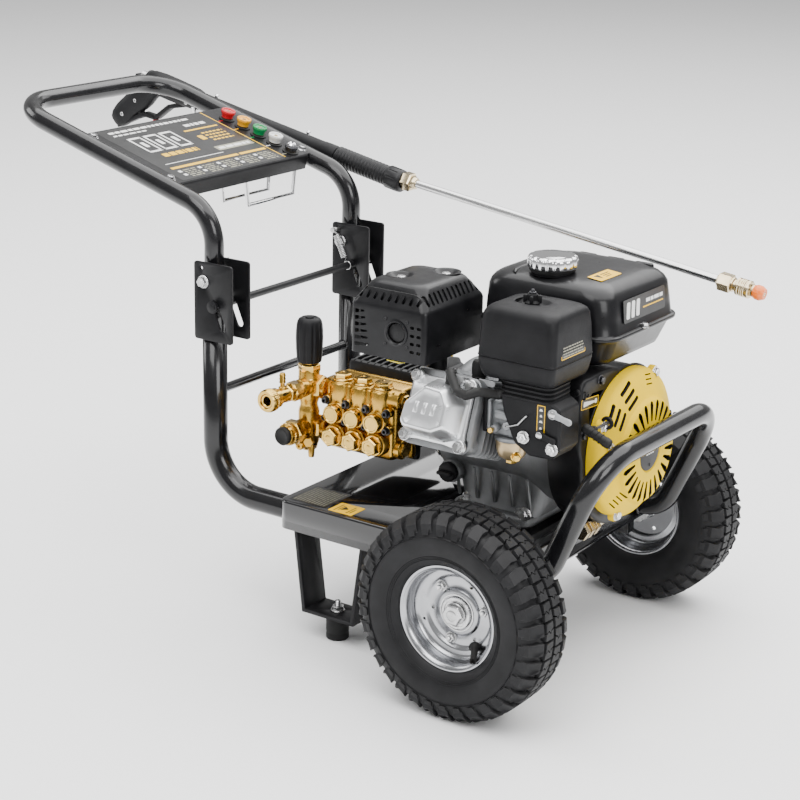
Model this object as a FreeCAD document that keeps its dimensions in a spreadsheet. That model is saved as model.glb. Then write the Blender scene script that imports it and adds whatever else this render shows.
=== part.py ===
"""Petrol pressure washer: wheeled tube frame, folding handle, engine, triplex pump and spray gun.

Frame of the model: +X is forwards (from the handle to the wheels and the starter), +Z is up,
+Y is the side where the spray gun rests. Lengths are in millimetres. Every piece is laid out from
the wheel axle line (X = 0, Z = 0 on the ground) and then moved together by the cell origin_x, so
that the document's origin is on the ground under the middle of the machine.
"""
import FreeCAD, Part
import math
import os
import re

import Sketcher

Vector = FreeCAD.Vector
Rotation = FreeCAD.Rotation

doc = FreeCAD.newDocument("pressure_washer")
sheet = doc.addObject("Spreadsheet::Sheet", "Sizes")

DIMENSIONS = [
    ("origin_x", 373.7, "shift that brings the middle of the machine to the origin"),
    ("running_gap", 0.3, "gap between pieces that move past each other"),
    # wheels and axle
    ("track", 464.0, "distance between the wheels' middle planes"),
    ("tyre_radius", 130.0, "outside radius of a tyre"),
    ("tyre_width", 85.0, "width of a tyre"),
    ("rim_radius", 62.0, "radius of the rim's bead seat"),
    ("rim_width", 60.0, "width over the two rim flanges"),
    ("rim_sheet", 3.0, "thickness of the pressed rim"),
    ("hub_radius", 20.0, "outside radius of the wheel hub"),
    ("axle_radius", 8.0, "radius of the wheel axle"),
    # tube frame
    ("post_x", -443.0, "rear posts"),
    ("post_y", 149.0, "half the distance between the rear posts"),
    ("post_top", 400.0, "upper end of the rear posts"),
    ("frame_tube", 16.0, "radius of the frame tube"),
    ("tube_wall", 2.0, "wall of every bent tube"),
    ("rail_z", 162.0, "centre line of the rails under the tray"),
    ("rail_end", 36.0, "front end of the rails"),
    ("rail_bend", 70.0, "bend from post to rail"),
    ("bumper_tube", 14.0, "radius of the front bumper tube"),
    ("bumper_foot", 66.0, "where the bumper turns upwards"),
    ("bumper_x", 133.0, "top bar of the bumper"),
    ("bumper_z", 318.0, "height of the bumper's top bar"),
    ("bumper_bend", 62.0, "corner bend of the bumper"),
    ("cross_z", 296.0, "lower crossbar"),
    ("cross_radius", 6.0, "radius of the lower crossbar"),
    ("tray_back", -320.0, "rear edge of the tray"),
    ("tray_front", 36.0, "front edge of the tray"),
    ("tray_half", 174.0, "half width of the tray"),
    ("tray_top", 181.0, "upper face of the tray"),
    ("tray_depth", 38.0, "depth of the tray's skirt"),
    ("sheet_steel", 3.0, "tray, bracket and panel sheet"),
    ("leg_top_x", -298.0, "rear upright of the stand legs at the tray"),
    ("leg_length", 114.0, "length of a stand leg at the tray"),
    ("leg_y", 148.0, "middle of a stand leg's strip"),
    ("leg_strip", 46.0, "width of the stand leg strip"),
    ("leg_sheet", 5.0, "thickness of the stand leg strip"),
    ("leg_bottom", 33.0, "underside of the stand leg strip"),
    ("foot_x", -241.0, "middle of the rubber feet"),
    ("foot_radius", 15.0, "radius of the rubber feet"),
    # fold joint of the handle
    ("pivot_x", -446.0, "fold axis of the handle"),
    ("pivot_z", 447.0, "fold axis of the handle"),
    ("pivot_radius", 5.0, "shank of the pivot bolts"),
    ("plate_back", -461.0, "rear edge of the fold plates"),
    ("plate_front", -399.0, "front edge of the fold plates"),
    ("plate_low", 370.0, "lower edge of the fold plates"),
    ("plate_high", 473.0, "upper edge of the fold plates"),
    ("lock_x", -426.5, "lock bar when locked"),
    ("lock_z", 417.5, "lock bar when locked"),
    ("lock_radius", 5.0, "radius of the lock bar"),
    ("lock_travel", 30.0, "travel of the lock bar down its slots"),
    ("lock_slope", 66.0, "angle of the slots below the horizontal"),
    # handle
    ("handle_tube", 12.7, "radius of the handle tube"),
    ("handle_low", 423.0, "lower ends of the handle tube"),
    ("handle_knee", 534.0, "height where the handle turns backwards"),
    ("handle_end", -793.0, "rear bar of the handle"),
    ("handle_slope", 16.1, "rise of the handle towards its rear bar"),
    ("handle_bend", 57.0, "bends of the handle tube"),
    ("panel_back", -672.0, "rear edge of the nozzle panel"),
    ("panel_front", -510.0, "front edge of the nozzle panel"),
    ("nozzle_y", 112.0, "row of spare nozzles"),
    ("nozzle_first", -639.0, "rearmost spare nozzle"),
    ("nozzle_pitch", 28.5, "spacing of the spare nozzles along X"),
    ("nozzle_stem", 5.6, "radius of a nozzle's plug end"),
    ("hook_near", 12.0, "near leg of the hose hooks"),
    ("hook_far", 128.0, "far leg of the hose hooks"),
    ("hook_low", 497.0, "bottom of the hose hooks"),
    ("hook_wire", 3.0, "radius of the hook wire"),
    # spray gun
    ("gun_y", 181.0, "middle plane of the spray gun"),
    ("gun_x", -700.0, "reference point on the gun's axis"),
    ("gun_z", 597.0, "reference point on the gun's axis"),
    ("gun_slope", 11.4, "fall of the gun's barrel towards the front"),
    ("lance_x", -366.0, "start of the lance"),
    ("lance_z", 533.5, "start of the lance"),
    ("lance_slope", 7.6, "fall of the lance towards the front"),
    ("lance_radius", 5.5, "radius of the lance tube"),
    ("lance_length", 484.0, "length of the lance tube"),
    # engine
    ("crank_y", -2.0, "crankshaft axis"),
    ("crank_z", 287.0, "crankshaft axis"),
    ("engine_back", -142.0, "pump side face of the crankcase"),
    ("engine_front", 30.0, "fan side face of the crankcase"),
    ("bolt_near", -58.0, "near row of engine bolts"),
    ("bolt_span", 162.0, "distance between the rows of engine bolts"),
    ("bolt_back", -103.0, "rear pair of engine bolts"),
    ("bolt_pitch", 80.0, "distance between the pairs of engine bolts"),
    ("cylinder_x", -70.0, "cylinder axis"),
    ("cylinder_tilt", 20.0, "tilt of the cylinder above the horizontal"),
    ("fan_radius", 100.0, "outside radius of the fan housing"),
    ("fan_y", 1.0, "middle of the fan housing"),
    ("fan_z", 292.0, "middle of the fan housing"),
    ("cover_radius", 94.0, "outside radius of the recoil cover"),
    ("cover_y", 4.0, "middle of the recoil cover"),
    ("cover_z", 297.0, "middle of the recoil cover"),
    ("rope_x", 100.0, "line of the starter rope"),
    ("rope_z", 344.6, "line of the starter rope"),
    ("fan_back", 32.0, "rear face of the fan housing"),
    ("cover_back", 80.0, "rear face of the recoil cover"),
    ("cover_front", 112.0, "front face of the recoil cover"),
    # fuel tank and air cleaner
    ("tank_back", -88.0, "rear end of the fuel tank"),
    ("tank_front", 94.0, "front end of the fuel tank"),
    ("tank_near", -75.0, "near side of the fuel tank"),
    ("tank_far", 104.0, "far side of the fuel tank"),
    ("tank_top", 505.0, "top of the fuel tank"),
    ("tank_seam", 440.0, "seam of the fuel tank"),
    ("tank_low", 404.0, "bottom of the fuel tank"),
    ("cap_x", -8.0, "fuel cap"),
    ("cap_y", -36.0, "fuel cap"),
    ("cap_radius", 31.0, "radius of the fuel cap"),
    ("neck_radius", 21.0, "bore of the filler neck"),
    ("air_x", 22.0, "middle of the air cleaner"),
    ("air_y", -131.0, "middle of the air cleaner"),
    ("air_low", 430.0, "lower edge of the air cleaner cover"),
    ("air_top", 492.0, "top of the air cleaner cover"),
    # muffler
    ("muffler_back", -204.0, "rear end of the muffler shield"),
    ("muffler_front", -94.0, "front end of the muffler shield"),
    ("muffler_near", -180.0, "near side of the muffler shield"),
    ("muffler_far", -48.0, "far side of the muffler shield"),
    ("muffler_low", 402.0, "lower edge of the muffler shield"),
    ("muffler_top", 494.0, "top of the muffler shield"),
    # pump
    ("pump_x", -241.0, "middle of the pump"),
    ("pump_width", 112.0, "length of the pump head"),
    ("pump_pitch", 31.6, "distance between plungers"),
    ("head_face", -117.0, "front face of the pump head"),
    ("valve_x", -320.0, "axis of the unloader valve"),
    ("valve_y", -108.0, "axis of the unloader valve"),
    ("outlet_z", 318.0, "outlet coupler axis"),
    ("inlet_z", 263.0, "inlet axis"),
]

for row, (alias, value, note) in enumerate(DIMENSIONS, start=1):
    sheet.set(f"A{row}", note)
    sheet.set(f"B{row}", str(value))
    sheet.setAlias(f"B{row}", alias)
doc.recompute()

ALIASES = {alias for alias, value, note in DIMENSIONS}
PIECES = []


# ---------------------------------------------------------------- helpers

def cell(alias):
    """The number in one cell of the sheet."""
    return float(sheet.get(alias))


def formula(text):
    """An expression in which each cell's alias is given its sheet name."""
    return re.sub(r"[a-z]\w*", lambda word: "Sizes." + word[0] if word[0] in ALIASES else word[0], str(text))


def worth(text):
    """The number that a formula stands for."""
    return float(sheet.evalExpression(formula(text)))


def bind(thing, **properties):
    """Bind properties to formulas; a double underscore stands for a dot."""
    for name, text in properties.items():
        thing.setExpression(name.replace("__", "."), formula(text))


TURNS = {"Z": Rotation(), "X": Rotation(Vector(0, 1, 0), 90), "Y": Rotation(Vector(1, 0, 0), -90),
         "-X": Rotation(Vector(0, 1, 0), -90), "-Y": Rotation(Vector(1, 0, 0), 90)}


def place(thing, spot, turn="Z"):
    """Put a primitive at a spot of three formulas, with its axis along X, Y or Z or turned freely."""
    rotation = TURNS[turn] if isinstance(turn, str) else turn
    thing.Placement = FreeCAD.Placement(Vector(*[worth(part) for part in spot]), rotation)
    for letter, part in zip("xyz", spot):
        thing.setExpression(f"Placement.Base.{letter}", formula(part))
    return thing


def box(sizes, middle, turn="Z"):
    """A box from its three sizes and its middle, all formulas."""
    thing = doc.addObject("Part::Box", "box")
    bind(thing, Length=sizes[0], Width=sizes[1], Height=sizes[2])
    if turn == "Z":
        return place(thing, [f"({spot}) - ({size})/2" for spot, size in zip(middle, sizes)])
    half = turn.multVec(Vector(*[worth(size) / 2 for size in sizes]))
    return place(thing, [f"({spot}) - ({shift:.4f})" for spot, shift in zip(middle, half)], turn)


def slab(low, high):
    """A box from its two opposite corners."""
    thing = doc.addObject("Part::Box", "box")
    sizes = [f"({top}) - ({bottom})" for bottom, top in zip(low, high)]
    bind(thing, Length=sizes[0], Width=sizes[1], Height=sizes[2])
    return place(thing, low)


def rod(radius, length, foot, turn="Z"):
    """A cylinder from its radius, its length and the middle of its first end."""
    thing = doc.addObject("Part::Cylinder", "rod")
    bind(thing, Radius=radius, Height=length)
    return place(thing, foot, turn)


def cone(first, second, length, foot, turn="Z"):
    """A cone frustum from its two radii, its length and the middle of its first end."""
    thing = doc.addObject("Part::Cone", "cone")
    bind(thing, Radius1=first, Radius2=second, Height=length)
    return place(thing, foot, turn)


def hexagon(radius, length, foot, turn="Z"):
    """A hexagonal prism from its corner radius, its length and the middle of its first end."""
    thing = doc.addObject("Part::Prism", "hexagon")
    thing.Polygon = 6
    bind(thing, Circumradius=radius, Height=length)
    return place(thing, foot, turn)


def fuse(*things):
    """One solid from several."""
    if len(things) == 1:
        return things[0]
    whole = doc.addObject("Part::MultiFuse", "fuse")
    whole.Shapes = list(things)
    whole.Refine = True
    return whole


def cut(base, *tools):
    """The base less every tool."""
    rest = doc.addObject("Part::Cut", "cut")
    rest.Base = base
    rest.Tool = fuse(*tools)
    rest.Refine = True
    return rest


def shape_of(node):
    """The shape of a finished node in the axle line's frame, for use as a tool."""
    doc.recompute()
    shape = node.Shape.copy()
    shape.translate(Vector(-cell("origin_x"), 0, 0))
    tool = doc.addObject("Part::Feature", "tool")
    tool.Shape = shape
    return tool


def along(edge):
    """The direction of a straight edge, or None for a curved one."""
    if not isinstance(edge.Curve, Part.Line):
        return None
    return (edge.Vertexes[-1].Point - edge.Vertexes[0].Point).normalize()


def rounded(base, radius, choose):
    """Fillet the straight edges of a shape that the test picks by direction and middle."""
    doc.recompute()
    picked = []
    for number, edge in enumerate(base.Shape.Edges, start=1):
        direction = along(edge)
        if direction is not None and choose(direction, edge.CenterOfMass):
            picked.append((number, radius, radius))
    soft = doc.addObject("Part::Fillet", "rounded")
    soft.Base = base
    soft.Edges = picked
    return soft


def upright(direction, middle):
    """Picks the edges that run along Z."""
    return abs(direction.z) > 0.99


def lengthwise(direction, middle):
    """Picks the edges that run along X."""
    return abs(direction.x) > 0.99


def sideways(direction, middle):
    """Picks the edges that run along Y."""
    return abs(direction.y) > 0.99


def bent_path(points, bends):
    """A wire of straight runs joined by tangent arcs, one bend radius for each corner."""
    edges = []
    start = points[0]
    for before, corner, after, radius in zip(points, points[1:], points[2:], bends):
        back = (before - corner).normalize()
        ahead = (after - corner).normalize()
        half = back.getAngle(ahead) / 2
        middle = (back + ahead).normalize()
        enter = corner + back * (radius / math.tan(half))
        leave = corner + ahead * (radius / math.tan(half))
        peak = corner + middle * (radius / math.sin(half) - radius)
        edges.append(Part.LineSegment(start, enter).toShape())
        edges.append(Part.Arc(enter, peak, leave).toShape())
        start = leave
    edges.append(Part.LineSegment(start, points[-1]).toShape())
    return Part.Wire(edges)


def cord_bends(points):
    """Bend radii as large as the runs beside each corner allow."""
    bends = []
    for before, corner, after in zip(points, points[1:], points[2:]):
        turn = (corner - before).getAngle(after - corner)
        shorter = min((corner - before).Length, (after - corner).Length)
        bends.append(0.45 * shorter / math.tan(turn / 2))
    return bends


def sweep(spine, radius, foot, turn):
    """A round bar along a spine, from a circle whose radius is bound to the sheet."""
    circle = doc.addObject("Part::Circle", "circle")
    bind(circle, Radius=radius)
    circle.Placement = FreeCAD.Placement(foot, turn)
    bar = doc.addObject("Part::Sweep", "sweep")
    bar.Sections = [circle]
    bar.Spine = (spine, [f"Edge{number}" for number in range(1, len(spine.Shape.Edges) + 1)])
    bar.Solid = True
    return bar


def bar_along(points, bends, radius):
    """A solid bar bent along a list of points."""
    spine = doc.addObject("Part::Feature", "spine")
    spine.Shape = bent_path(points, bends)
    turn = Rotation(Vector(0, 0, 1), points[1] - points[0])
    return sweep(spine, radius, points[0], turn)


def tube_along(points, bends, radius):
    """A tube bent along a list of points, with the frame's wall."""
    outer = bar_along(points, bends, radius)
    inner = bar_along(points, bends, f"{radius} - tube_wall")
    return cut(outer, inner)


def outline(sketch, points):
    """A closed outline whose corners are held at bound distances from the sketch's origin."""
    numbers = [(worth(across), worth(up)) for across, up in points]
    count = len(points)
    for index, (across, up) in enumerate(numbers):
        ahead = numbers[(index + 1) % count]
        sketch.addGeometry(Part.LineSegment(Vector(across, up, 0), Vector(ahead[0], ahead[1], 0)), False)
    for index in range(count):
        sketch.addConstraint(Sketcher.Constraint("Coincident", index, 2, (index + 1) % count, 1))
    for index, (across, up) in enumerate(points):
        for kind, text, value in (("DistanceX", across, numbers[index][0]),
                                  ("DistanceY", up, numbers[index][1])):
            if abs(value) < 1e-9:
                # a corner on an axis of the sketch
                line = -2 if kind == "DistanceX" else -1
                sketch.addConstraint(Sketcher.Constraint("PointOnObject", index, 1, line))
            else:
                number = sketch.addConstraint(Sketcher.Constraint(kind, -1, 1, index, 1, value))
                sketch.setExpression(f"Constraints[{number}]", formula(text))


def new_body(name):
    """An empty PartDesign body."""
    return doc.addObject("PartDesign::Body", name)


def plane_of(body, role):
    """One of a body's own origin planes or axes."""
    return [thing for thing in body.Origin.OriginFeatures if thing.Role == role][0]


def drawn(body, role, points, name="outline"):
    """A sketch of one closed outline on an origin plane of the body."""
    sketch = body.newObject("Sketcher::SketchObject", name)
    sketch.AttachmentSupport = [(plane_of(body, role), "")]
    sketch.MapMode = "FlatFace"
    outline(sketch, points)
    return sketch


def turned(name, points, spot, turn="Z"):
    """A body turned about its own Z axis from an outline of (radius, height) corners."""
    body = new_body(name)
    sketch = drawn(body, "XZ_Plane", points)
    spin = body.newObject("PartDesign::Revolution", "turning")
    spin.Profile = sketch
    spin.ReferenceAxis = (sketch, ["V_Axis"])
    spin.Angle = 360
    sketch.Visibility = False
    return place(body, spot, turn)


def profiled(name, role, points, depth, spot, turn="Z", both=True):
    """A body padded from an outline on one of its own planes."""
    body = new_body(name)
    sketch = drawn(body, role, points)
    pad = body.newObject("PartDesign::Pad", "pad")
    pad.Profile = sketch
    pad.Midplane = both
    bind(pad, Length=depth)
    return place(body, spot, turn)


def piece(label, *things):
    """Name one node of the machine and move it from the axle line to the document's origin."""
    whole = doc.addObject("Part::Compound", label)
    whole.Links = list(things)
    whole.Label = label
    whole.Placement = FreeCAD.Placement(Vector(cell("origin_x"), 0, 0), Rotation())
    whole.setExpression("Placement.Base.x", formula("origin_x"))
    PIECES.append(whole)
    return whole


def both_sides(make):
    """The near and the far copy of something, made from its side's sign."""
    return [make(side) for side in (-1, 1)]


def polar(make, count, first=0.0):
    """Copies made at equal angles round a circle, in degrees."""
    return [make(first + 360.0 * step / count) for step in range(count)]


def point(across, side, up):
    """A point from three formulas."""
    return Vector(worth(across), worth(side), worth(up))


# ---------------------------------------------------------------- frame

def frame_tubes():
    """The two posts with their rails, the lower crossbar and the axle blocks, welded together."""
    def side_tube(side):
        y = f"{side}*post_y"
        points = [point("post_x", y, "post_top"), point("post_x", y, "rail_z"),
                  point("rail_end", y, "rail_z")]
        return tube_along(points, [cell("rail_bend")], "frame_tube")

    def axle_block(side):
        block = box(["44", "18", "34"], ["0", f"{side}*post_y", "134"])
        rail = rod("frame_tube - tube_wall/2", "60", ["-30", f"{side}*post_y", "rail_z"], "X")
        bore = rod("axle_radius", "40", ["0", f"{side}*post_y - 20", "tyre_radius"], "Y")
        return cut(block, rail, bore)

    reach = "post_y - frame_tube + tube_wall/2"
    crossbar = rod("cross_radius", f"2*({reach})", ["post_x", f"-({reach})", "cross_z"], "Y")
    return piece("frame_tubes", fuse(*both_sides(side_tube), crossbar, *both_sides(axle_block)))


def front_bumper():
    """The U-shaped guard in front of the engine."""
    foot = [("rail_end", "rail_z"), ("bumper_foot", "rail_z"), ("bumper_x", "bumper_z")]
    near = [point(x, "-post_y", z) for x, z in foot]
    far = [point(x, "post_y", z) for x, z in reversed(foot)]
    low = 40.0
    high = cell("bumper_bend")
    return piece("front_bumper", tube_along(near + far, [low, high, high, low], "bumper_tube"))


def tray():
    """The folded sheet tray that carries engine and pump, with its holes."""
    shell = slab(["tray_back", "-tray_half", "tray_top - tray_depth"],
                 ["tray_front", "tray_half", "tray_top"])
    shell = rounded(shell, 14, upright)
    shell = rounded(shell, 3.5, lambda way, middle: abs(way.z) < 0.1 and middle.z > cell("tray_top") - 1)
    hollow = slab(["tray_back + sheet_steel", "-tray_half + sheet_steel", "tray_top - tray_depth - 1"],
                  ["tray_front - sheet_steel", "tray_half - sheet_steel", "tray_top - sheet_steel"])
    hollow = rounded(hollow, 11, upright)

    def rail(side):
        return rod("frame_tube", "tray_front - tray_back + 60",
                   ["tray_back - 30", f"{side}*post_y", "rail_z"], "X")

    holes = [rod("4.2", "20", [x, y, "tray_top - 10"]) for x, y in engine_bolt_places()]
    return piece("tray", cut(shell, hollow, *both_sides(rail), *holes))


def engine_bolt_places():
    """The four engine bolts, as formulas of X and Y."""
    return [(f"bolt_back + {i}*bolt_pitch", f"bolt_near + {j}*bolt_span") for i in (0, 1) for j in (0, 1)]


def slot_tool(y, width):
    """The shape of a lock bar slot through one fold plate."""
    angle = cell("lock_slope")
    turn = Rotation(Vector(0, 1, 0), angle)
    run = turn.multVec(Vector(cell("lock_travel"), 0, 0))
    first = rod("lock_radius + running_gap", width, ["lock_x", y, "lock_z"], "Y")
    last = rod("lock_radius + running_gap", width, [f"lock_x + {run.x:.4f}", y, f"lock_z + {run.z:.4f}"], "Y")
    middle = [f"lock_x + {run.x/2:.4f}", f"{y} + {width}/2", f"lock_z + {run.z/2:.4f}"]
    web = box(["lock_travel", width, "2*(lock_radius + running_gap)"], middle, turn)
    return fuse(first, web, last)


def fold_brackets():
    """Two slotted plates on each post; the handle folds between them."""
    def plate(side, inner):
        if inner:
            low, high = "post_y - frame_tube - sheet_steel", "post_y - frame_tube"
        else:
            low, high = "post_y + frame_tube", "post_y + frame_tube + sheet_steel"
        if side < 0:
            low, high = f"-({high})", f"-({low})"
        sheet_plate = slab(["plate_back", low, "plate_low"], ["plate_front", high, "plate_high"])
        sheet_plate = rounded(sheet_plate, 4, sideways)
        pivot = rod("pivot_radius", "9", ["pivot_x", f"{low} - 3", "pivot_z"], "Y")
        spare = rod("2.5", "9", ["pivot_x - 3", f"{low} - 3", "pivot_z + 18"], "Y")
        return cut(sheet_plate, pivot, spare, slot_tool(f"{low} - 3", "9"))

    return piece("fold_brackets", *[plate(side, inner) for side in (-1, 1) for inner in (True, False)])


def stand_legs():
    """A U of bent strip under each side of the tray."""
    lean = 16

    def leg(side):
        top = "rail_z"
        back, front = "leg_top_x", "leg_top_x + leg_length"
        outer = [(back, top), (f"{back} + {lean}", "leg_bottom"), (f"{front} - {lean}", "leg_bottom"),
                 (front, top)]
        inner = [(f"{front} - leg_sheet", top), (f"{front} - {lean} - leg_sheet", "leg_bottom + leg_sheet"),
                 (f"{back} + {lean} + leg_sheet", "leg_bottom + leg_sheet"), (f"{back} + leg_sheet", top)]
        strip = profiled("leg_strip_body", "XZ_Plane", outer + inner, "leg_strip",
                         ["0", f"{side}*leg_y", "0"])
        rail = rod("frame_tube", "leg_length + 60", [f"{back} - 30", f"{side}*post_y", "rail_z"], "X")
        hole = rod("4.2", "30", ["foot_x", f"{side}*leg_y", "leg_bottom - 10"])
        return cut(strip, rail, hole)

    return piece("stand_legs", *both_sides(leg))


def stand_feet():
    """Rubber feet under the stand legs."""
    def foot(side):
        pad = turned("foot_body", [("0", "0"), ("foot_radius - 1.5", "0"), ("foot_radius", "2"),
                                   ("foot_radius", "leg_bottom - 3"), ("foot_radius - 3", "leg_bottom"),
                                   ("0", "leg_bottom")], ["foot_x", f"{side}*leg_y", "0"])
        return cut(pad, rod("4.2", "30", ["foot_x", f"{side}*leg_y", "leg_bottom - 16"]))

    return piece("stand_feet", *both_sides(foot))


def axle():
    """The straight wheel axle, clamped in the two axle blocks."""
    half = "track/2 + 20"
    return piece("axle", rod("axle_radius", f"2*({half})", ["0", f"-({half})", "tyre_radius"], "Y"))


def frame_bolts():
    """Engine bolts, foot bolts, pivot bolts, spring pins and axle nuts."""
    bolts = []
    for x, y in engine_bolt_places():
        bolts.append(fuse(rod("4", "38", [x, y, "tray_top - 12"]),
                          hexagon("7.5", "6", [x, y, "tray_top + 16"]),
                          hexagon("7.5", "6", [x, y, "tray_top - sheet_steel - 6"])))
    for side in (-1, 1):
        foot = f"{side}*leg_y"
        bolts.append(fuse(rod("4", "28", ["foot_x", foot, "leg_bottom - 15"]),
                          hexagon("7.5", "6", ["foot_x", foot, "leg_bottom + leg_sheet"])))
        turn = "Y" if side > 0 else "-Y"
        inner, outer = "post_y - frame_tube - sheet_steel", "post_y + frame_tube + sheet_steel"
        bolts.append(fuse(rod("pivot_radius", "50", ["pivot_x", f"{side}*({inner} - 7)", "pivot_z"], turn),
                          hexagon("9", "6", ["pivot_x", f"{side}*({outer})", "pivot_z"], turn),
                          hexagon("9", "6", ["pivot_x", f"{side}*({inner} - 6)", "pivot_z"], turn)))
        bolts.append(rod("2.5", "20", ["pivot_x - 3", f"{side}*({inner} - 17)", "pivot_z + 18"], turn))
        nut = hexagon("13", "8", ["0", f"{side}*(track/2 + 10.5)", "tyre_radius"], turn)
        bolts.append(cut(nut, rod("axle_radius", "12", ["0", f"{side}*(track/2 + 8)", "tyre_radius"], turn)))
    return piece("frame_bolts", *bolts)


def lock_bar():
    """The sliding bar across both fold brackets, with a collar at each end."""
    reach = "post_y + frame_tube + sheet_steel + 8"
    bar = rod("lock_radius", f"2*({reach})", ["lock_x", f"-({reach})", "lock_z"], "Y")
    collars = [rod("lock_radius + 3", "3", ["lock_x", f"{side}*({reach} - 4)", "lock_z"], turn)
               for side, turn in ((-1, "-Y"), (1, "Y"))]
    return piece("lock_bar", fuse(bar, *collars))


def lock_springs():
    """The two tension springs that pull the lock bar up, as plain bars of the coil's size."""
    start = Vector(cell("pivot_x") - 3, 0, cell("pivot_z") + 18)
    end = Vector(cell("lock_x"), 0, cell("lock_z"))
    way = (end - start).normalize()
    length = (end - start).Length
    turn = Rotation(Vector(0, 0, 1), way)
    coils = []
    for side in (-1, 1):
        first = start + way * 4
        spot = [f"{first.x:.4f}", f"{side}*(post_y - frame_tube - sheet_steel - 11.5)", f"{first.z:.4f}"]
        coils.append(rod("4", f"{length - 4 - cell('lock_radius') - 1:.4f}", spot, turn))
    return piece("lock_springs", *coils)


# ---------------------------------------------------------------- wheels

def wheel(side):
    """One pneumatic wheel: tyre and split steel rim, turned about the axle."""
    name = "near" if side < 0 else "far"
    turn = "-Y" if side < 0 else "Y"
    spot = ["0", f"{side}*track/2", "tyre_radius"]
    half = "rim_width/2"
    bore = "axle_radius + 0.06"
    well, seat, flange = "rim_radius - 4", "rim_radius + 1", "rim_radius + 4"
    inside = f"{well} - rim_sheet"
    rim = [(bore, f"-{half}"), ("hub_radius", f"-{half}"), ("hub_radius", "0"), (inside, "0"),
           (inside, f"-{half} + 4"), ("rim_radius", f"-{half}"), (flange, f"-{half}"), (flange,
                                                                                        f"-{half} + 3"),
           (seat, f"-{half} + 3"), (well, f"-{half} + 7"), (well, f"{half} - 7"), (seat, f"{half} - 3"),
           (flange, f"{half} - 3"), (flange, half), ("rim_radius", half), (inside, f"{half} - 4"),
           (inside, "4"), ("hub_radius", "4"), ("hub_radius", "10"), (bore, "10")]
    outside = [(f"{well} + 0.5", "22"), (f"{seat}", f"{half} - 3.5"), (f"{flange} + 0.5", f"{half} - 3.5"),
               (f"{flange} + 0.5", f"{half} + 0.5"), ("tyre_radius*0.58", "tyre_width/2 - 5"),
               ("tyre_radius*0.7", "tyre_width/2"), ("tyre_radius*0.84", "tyre_width/2 - 1"),
               ("tyre_radius*0.94", "tyre_width/2 - 8"), ("tyre_radius*0.99", "tyre_width/2 - 20"),
               ("tyre_radius", "tyre_width/2 - 34")]
    inner = [("tyre_radius - 7", "0"), ("tyre_radius*0.92", "24"), ("tyre_radius*0.85", "34"),
             ("tyre_radius*0.71", "36.5"), ("tyre_radius*0.56", "31"), (f"{well} + 0.5", "14")]
    mirrored = [(across, f"-({up})") for across, up in reversed(outside)]
    lower = [(across, f"-({up})") for across, up in reversed(inner[1:])]
    tyre = outside + mirrored + lower + inner
    piece(f"tyre_{name}", turned("tyre_body", tyre, spot, turn))
    piece(f"rim_{name}", turned("rim_body", rim, spot, turn))


# ---------------------------------------------------------------- handle

def handle_height(x):
    """Height of the sloping handle's centre line over a place along X."""
    return f"handle_knee - (({x}) - post_x)*{math.tan(math.radians(cell('handle_slope'))):.6f}"


def handle_turn():
    """The tilt of everything that lies along the handle's slope."""
    return Rotation(Vector(0, 1, 0), cell("handle_slope"))


def handle_tube():
    """The folding upper loop, from one fold bracket to the other."""
    rear = handle_height("handle_end")
    half = [("post_x", "handle_low"), ("post_x", "handle_knee"), ("handle_end", rear)]
    near = [point(x, "-post_y", z) for x, z in half]
    far = [point(x, "post_y", z) for x, z in reversed(half)]
    bend = cell("handle_bend")
    loop = tube_along(near + far, [bend, bend + 4, bend + 4, bend], "handle_tube")
    bores = [rod("pivot_radius + 0.05", "40", ["pivot_x", f"{side}*post_y - 20", "pivot_z"],
                 "Y") for side in (-1, 1)]
    return piece("handle_tube", cut(loop, *bores))


def on_panel(x, y, lift):
    """A place above the handle's slope, as formulas."""
    turn = handle_turn()
    up = turn.multVec(Vector(0, 0, lift))
    return [f"{x} + {up.x:.4f}", y, f"{handle_height(x)} + {up.z:.4f}"]


def nozzle_places():
    """The five spare nozzles along the panel, as formulas of X."""
    return [f"nozzle_first + {index}*nozzle_pitch" for index in range(5)]


def nozzle_panel():
    """The sheet panel between the handle tubes, with its folded front edge and nozzle holes."""
    turn = handle_turn()
    length = f"(panel_front - panel_back)/{math.cos(math.radians(cell('handle_slope'))):.6f}"
    middle = on_panel("(panel_front + panel_back)/2", "0", 7.5)
    plate = box([length, "2*post_y - 8", "sheet_steel"], middle, turn)
    lip = box(["sheet_steel", "2*post_y - 2*handle_tube - 2", "20"],
              on_panel("panel_front - 1.5", "0", -3), turn)
    run = turn.multVec(Vector(-1, 0, 0))
    spot = [f"panel_front - {30 * run.x:.4f}", "0", f"{handle_height('panel_front')} - {30 * run.z:.4f}"]
    rails = []
    for side in (-1, 1):
        foot = [spot[0], f"{side}*post_y", spot[2]]
        rails.append(rod("handle_tube", f"{length} + 60", foot, Rotation(Vector(0, 0, 1), run)))
    holes = [rod("9", "20", on_panel(x, "nozzle_y", -2), turn) for x in nozzle_places()]
    return piece("nozzle_panel", cut(fuse(plate, lip), *rails, *holes))


def nozzle_grommets():
    """Rubber grommets that hold the spare nozzles."""
    outline_points = [("nozzle_stem + 0.05", "-3"), ("10.5", "-3"), ("10.5", "0"), ("9", "0"),
                      ("9", "sheet_steel"),
                      ("10.5", "sheet_steel"), ("10.5", "sheet_steel + 2"), ("nozzle_stem + 0.05",
                                                                             "sheet_steel + 2")]
    return piece("nozzle_grommets", *[turned("grommet_body", outline_points, on_panel(x, "nozzle_y", 6),
                                             handle_turn())
                                      for x in nozzle_places()])


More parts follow.
